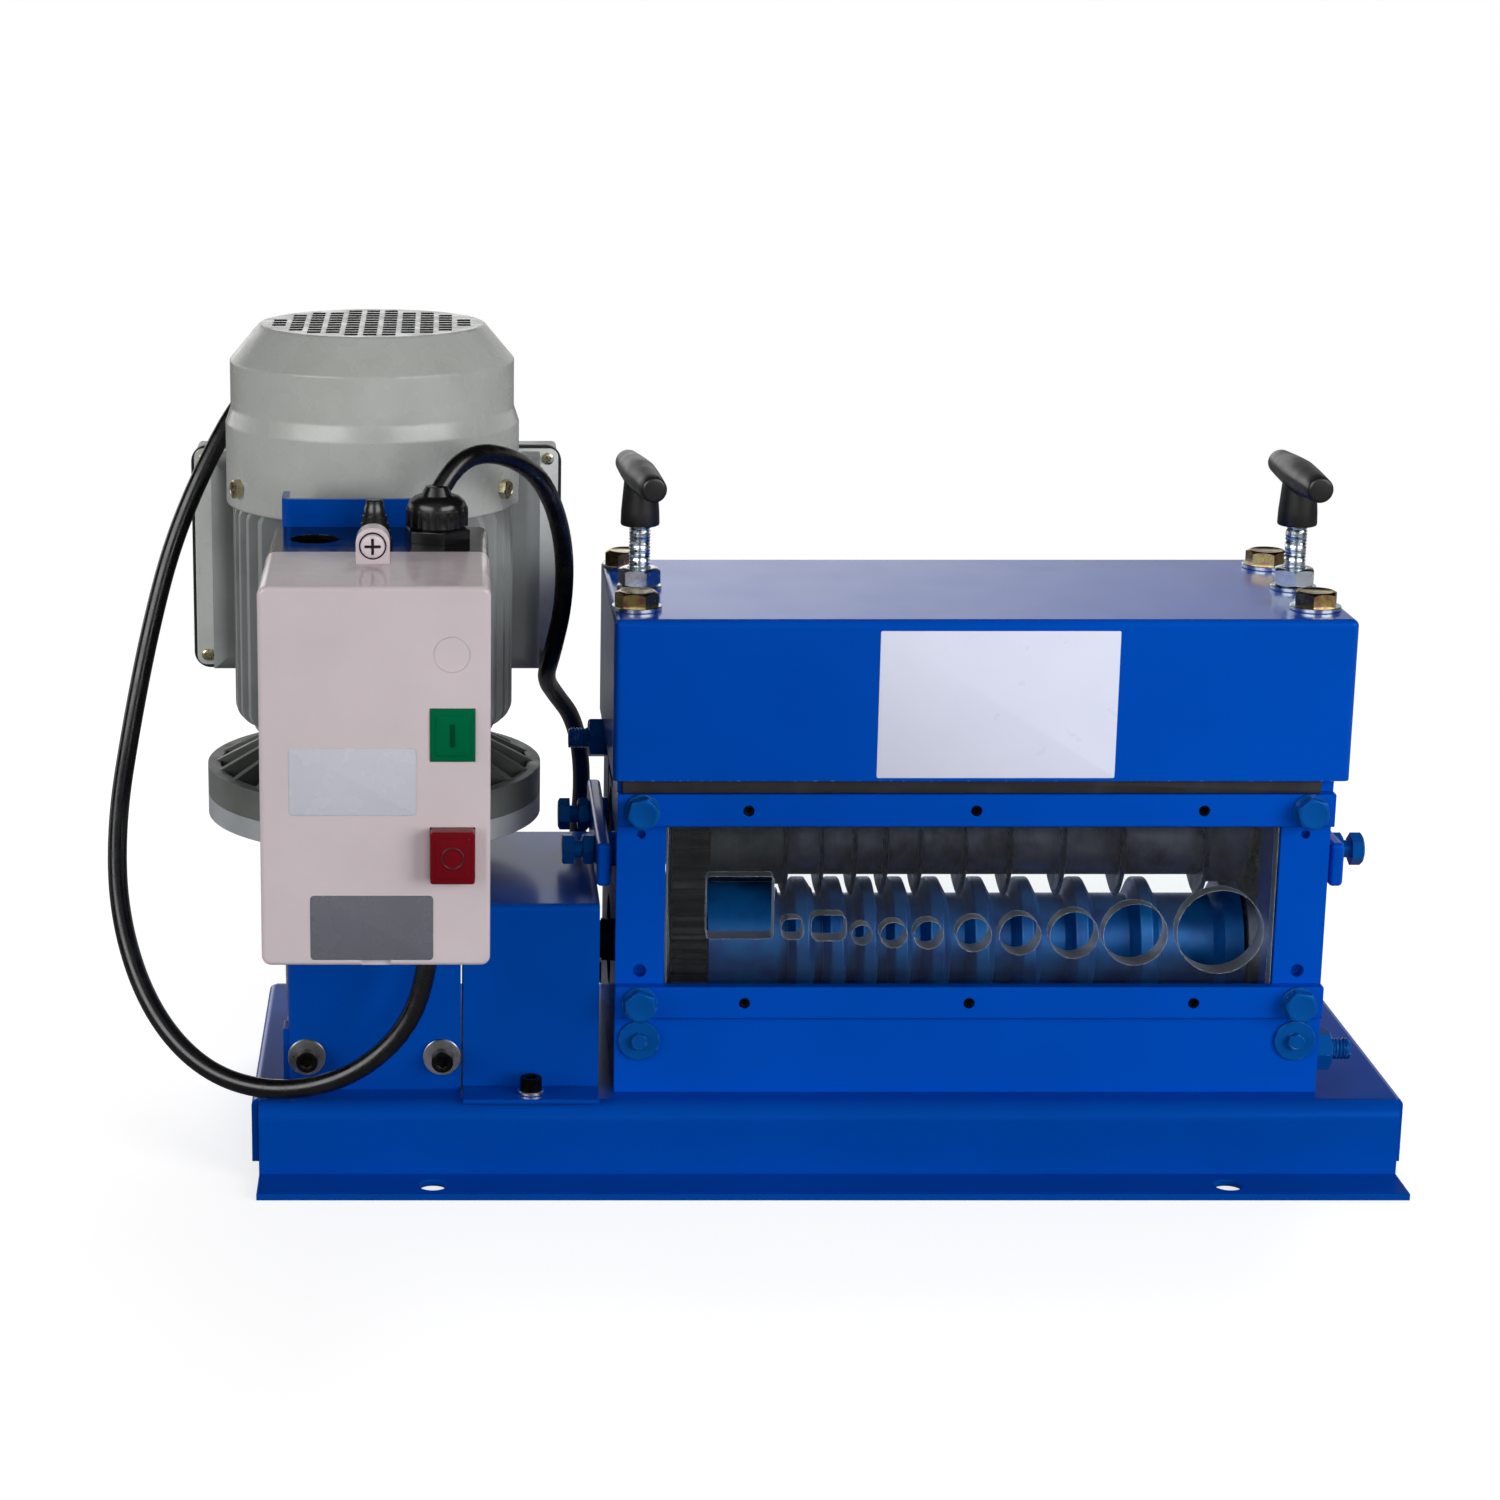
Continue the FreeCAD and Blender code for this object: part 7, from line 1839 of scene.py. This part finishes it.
@dataclass
class Studio:
    """Camera, white surroundings, lamps and floor.

    Attributes:
        camera_place: Where the photograph was taken from, in metres.
        tilt: How far the camera looks down, in radians.
        lens: Focal length in millimetres, for a sensor 36 mm wide.
        shift: Sideways shift of the lens, as a share of the picture.
        fill: Soft light from all around.
        dark: What gloss mirrors where there is no panel.
        front: What gloss mirrors of the room in front.
        glow: Brightness of the floor at the machine; it is 1 far away.
        panel: Brightness of the two side panels, which only gloss mirrors.
        lamps: The four lamps.
        near: Distance from the machine up to which the floor takes its shadow, in metres.
        far: Distance from which the floor is white.
        lit: Share of the floor's own light near the machine.
        half: Half of the floor's width.
        drop: How far the floor lies under the machine, so that they don't flicker.
        tones: Floor seen by soft light, by the eye and by gloss.
    """

    camera_place: Point = (-0.1706, -1.5411, 0.5712)
    tilt: float = 0.2502
    lens: float = 82.2
    shift: float = 0.2004
    fill: float = 0.11
    dark: float = 0.02
    front: float = 0.3
    glow: float = 1.62
    panel: float = 5.0
    lamps: tuple[Lamp, ...] = (
        Lamp("left_lamp", (-2.0, -0.9, 0.6), 1.2, 26.0),
        Lamp("right_lamp", (1.5, -1.4, 0.55), 1.2, 33.0),
        Lamp("front_lamp", (0.2, -2.0, 0.45), 0.8, 9.0),
        Lamp("back_lamp", (0.3, 1.6, 1.9), 1.6, 27.0),
    )
    near: float = 0.4
    far: float = 1.0
    lit: float = 0.44
    half: float = 16.0
    drop: float = 0.0002
    tones: tuple[str, str, str] = ("#5A5A5A", "#F4F4F4", "#8A8A8E")

    def build(self) -> None:
        """Set the camera first, then the light and the floor."""
        self.camera()
        self.surroundings()
        for lamp in self.lamps:
            lamp.build(Vector((0.0, 0.0, 0.15)))
        self.floor()
        bpy.context.scene.view_settings.view_transform = "Standard"

    def camera(self) -> None:
        """Place the camera where the photograph was taken."""
        data = bpy.data.cameras.new("photo_camera")
        data.lens = self.lens
        data.sensor_width = 36.0
        data.sensor_fit = "HORIZONTAL"
        data.shift_x = self.shift
        data.clip_start = 0.05
        camera = linked("photo_camera", data)
        camera.location = self.camera_place
        camera.rotation_euler = (math.pi / 2 - self.tilt, 0.0, 0.0)
        bpy.context.scene.camera = camera

    def surroundings(self) -> None:
        """White for the eye, soft as light, and for gloss a dark room with bright panels."""
        world = bpy.data.worlds.new("white_studio")
        tree = blank(world)
        way = add(tree, "ShaderNodeSeparateXYZ", {0: add(tree, "ShaderNodeTexCoord").outputs["Generated"]})
        x, y, z = way.outputs
        side = add(tree, "ShaderNodeMath", {0: x}, operation="ABSOLUTE").outputs[0]

        # Each part of the mirrored room is a product of smooth ramps along the view's axes.
        sheen = 0.0
        for ramps in (
            ((y, -0.6, 0.1, self.front, 0.0),),
            ((y, 0.1, 0.75, self.dark, 1.3), (z, 0.21, 0.34, 1.0, self.dark), (x, 0.03, 0.3, 1.15, 0.4)),
            (
                (side, 0.22, 0.36, 0.0, self.panel), (side, 0.8, 0.92, 1.0, 0.0),
                (z, 0.14, 0.24, 0.0, 1.0), (z, 0.6, 0.72, 1.0, 0.0), (y, -0.3, -0.15, 1.0, 0.0),
            ),
        ):
            part = 1.0
            for axis, start, end, low, high in ramps:
                ramp = add(
                    tree, "ShaderNodeMapRange",
                    {"Value": axis, "From Min": start, "From Max": end, "To Min": low, "To Max": high},
                    interpolation_type="SMOOTHSTEP",
                ).outputs[0]
                part = add(tree, "ShaderNodeMath", {0: part, 1: ramp}, operation="MULTIPLY").outputs[0]
            sheen = add(tree, "ShaderNodeMath", {0: sheen, 1: part}, operation="ADD").outputs[0]
        seen, mirrored = ray_kinds(tree)
        level = add(tree, "ShaderNodeMapRange", {"Value": seen, "To Min": self.fill, "To Max": 1.0})
        level = add(
            tree, "ShaderNodeMix", {0: mirrored, 2: level.outputs[0], 3: sheen}, data_type="FLOAT"
        )
        light = add(tree, "ShaderNodeBackground", {"Color": (1, 1, 1, 1), "Strength": level.outputs[0]})
        add(tree, "ShaderNodeOutputWorld", {"Surface": light.outputs[0]})
        bpy.context.scene.world = world

    def floor(self) -> None:
        """Lay a pale floor that still shows the machine's shadow."""
        half, level = self.half, -self.drop
        mesh = bpy.data.meshes.new("floor")
        mesh.from_pydata(
            [(-half, -half, level), (half, -half, level), (half, half, level), (-half, half, level)],
            [], [(0, 1, 2, 3)],
        )
        floor = linked("floor", mesh)
        paper = bpy.data.materials.new("white_paper_floor")
        tree = blank(paper)
        seen, mirrored = ray_kinds(tree)
        where = add(tree, "ShaderNodeTexCoord").outputs["Object"]
        away = add(tree, "ShaderNodeVectorMath", {0: where}, operation="LENGTH").outputs["Value"]
        glow, strength = (
            add(
                tree, "ShaderNodeMapRange",
                {"Value": away, "From Min": self.near, "From Max": self.far, "To Min": start, "To Max": 1.0},
            ).outputs[0]
            for start in (self.lit, self.glow)
        )
        share = add(tree, "ShaderNodeMath", {0: seen, 1: glow}, operation="MULTIPLY")
        soft, direct, gloss = (linear(tone) for tone in self.tones)
        tone = add(tree, "ShaderNodeMix", {0: seen, 6: soft, 7: direct}, data_type="RGBA").outputs[2]
        tone = add(tree, "ShaderNodeMix", {0: mirrored, 6: tone, 7: gloss}, data_type="RGBA").outputs[2]
        matt = add(tree, "ShaderNodeBsdfDiffuse", {"Color": tone})
        bright = add(tree, "ShaderNodeEmission", {"Color": (1, 1, 1, 1), "Strength": strength})
        mixed = add(
            tree, "ShaderNodeMixShader", {0: share.outputs[0], 1: matt.outputs[0], 2: bright.outputs[0]}
        )
        add(tree, "ShaderNodeOutputMaterial", {"Surface": mixed.outputs[0]})
        mesh.materials.append(paper)


def dress_nodes(nodes: dict[str, bpy.types.Object]) -> None:
    """Give every CAD node that stays its finish."""
    for name, node in nodes.items():
        finish = NODE_FINISHES[name].material()
        if not node.material_slots:
            node.data.materials.append(finish)
        for slot in node.material_slots:
            slot.material = finish
        log.info("node %s in %s", name, finish.name)


def corners(box: Sequence[Vector]) -> list[list[float]]:
    """Turn a box's two corners into plain lists."""
    return [[round(value, 5) for value in corner] for corner in box]


def main() -> None:
    """Build the machine's looks and the studio around them."""
    logging.basicConfig(level=logging.INFO, format="%(name)s: %(message)s")
    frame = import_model()
    shop = Workshop()
    Studio().build()
    Leads(shop).build()
    dress_nodes(frame["nodes"])
    Fasteners(shop).build()
    threads = thread_tree()
    TieRods(shop).build(threads)
    PressScrew(shop, "left", -84.0, 6.0).build(threads)
    PressScrew(shop, "right", 214.5, 0.0).build(threads)
    KnurledDrum(shop).build()
    StarterBox(shop).build()
    for sheet in SHEETS:
        sheet.build(shop)
    log.info("%d pieces beside the frame's nodes", len(shop.made))


if __name__ == "__main__":
    main()
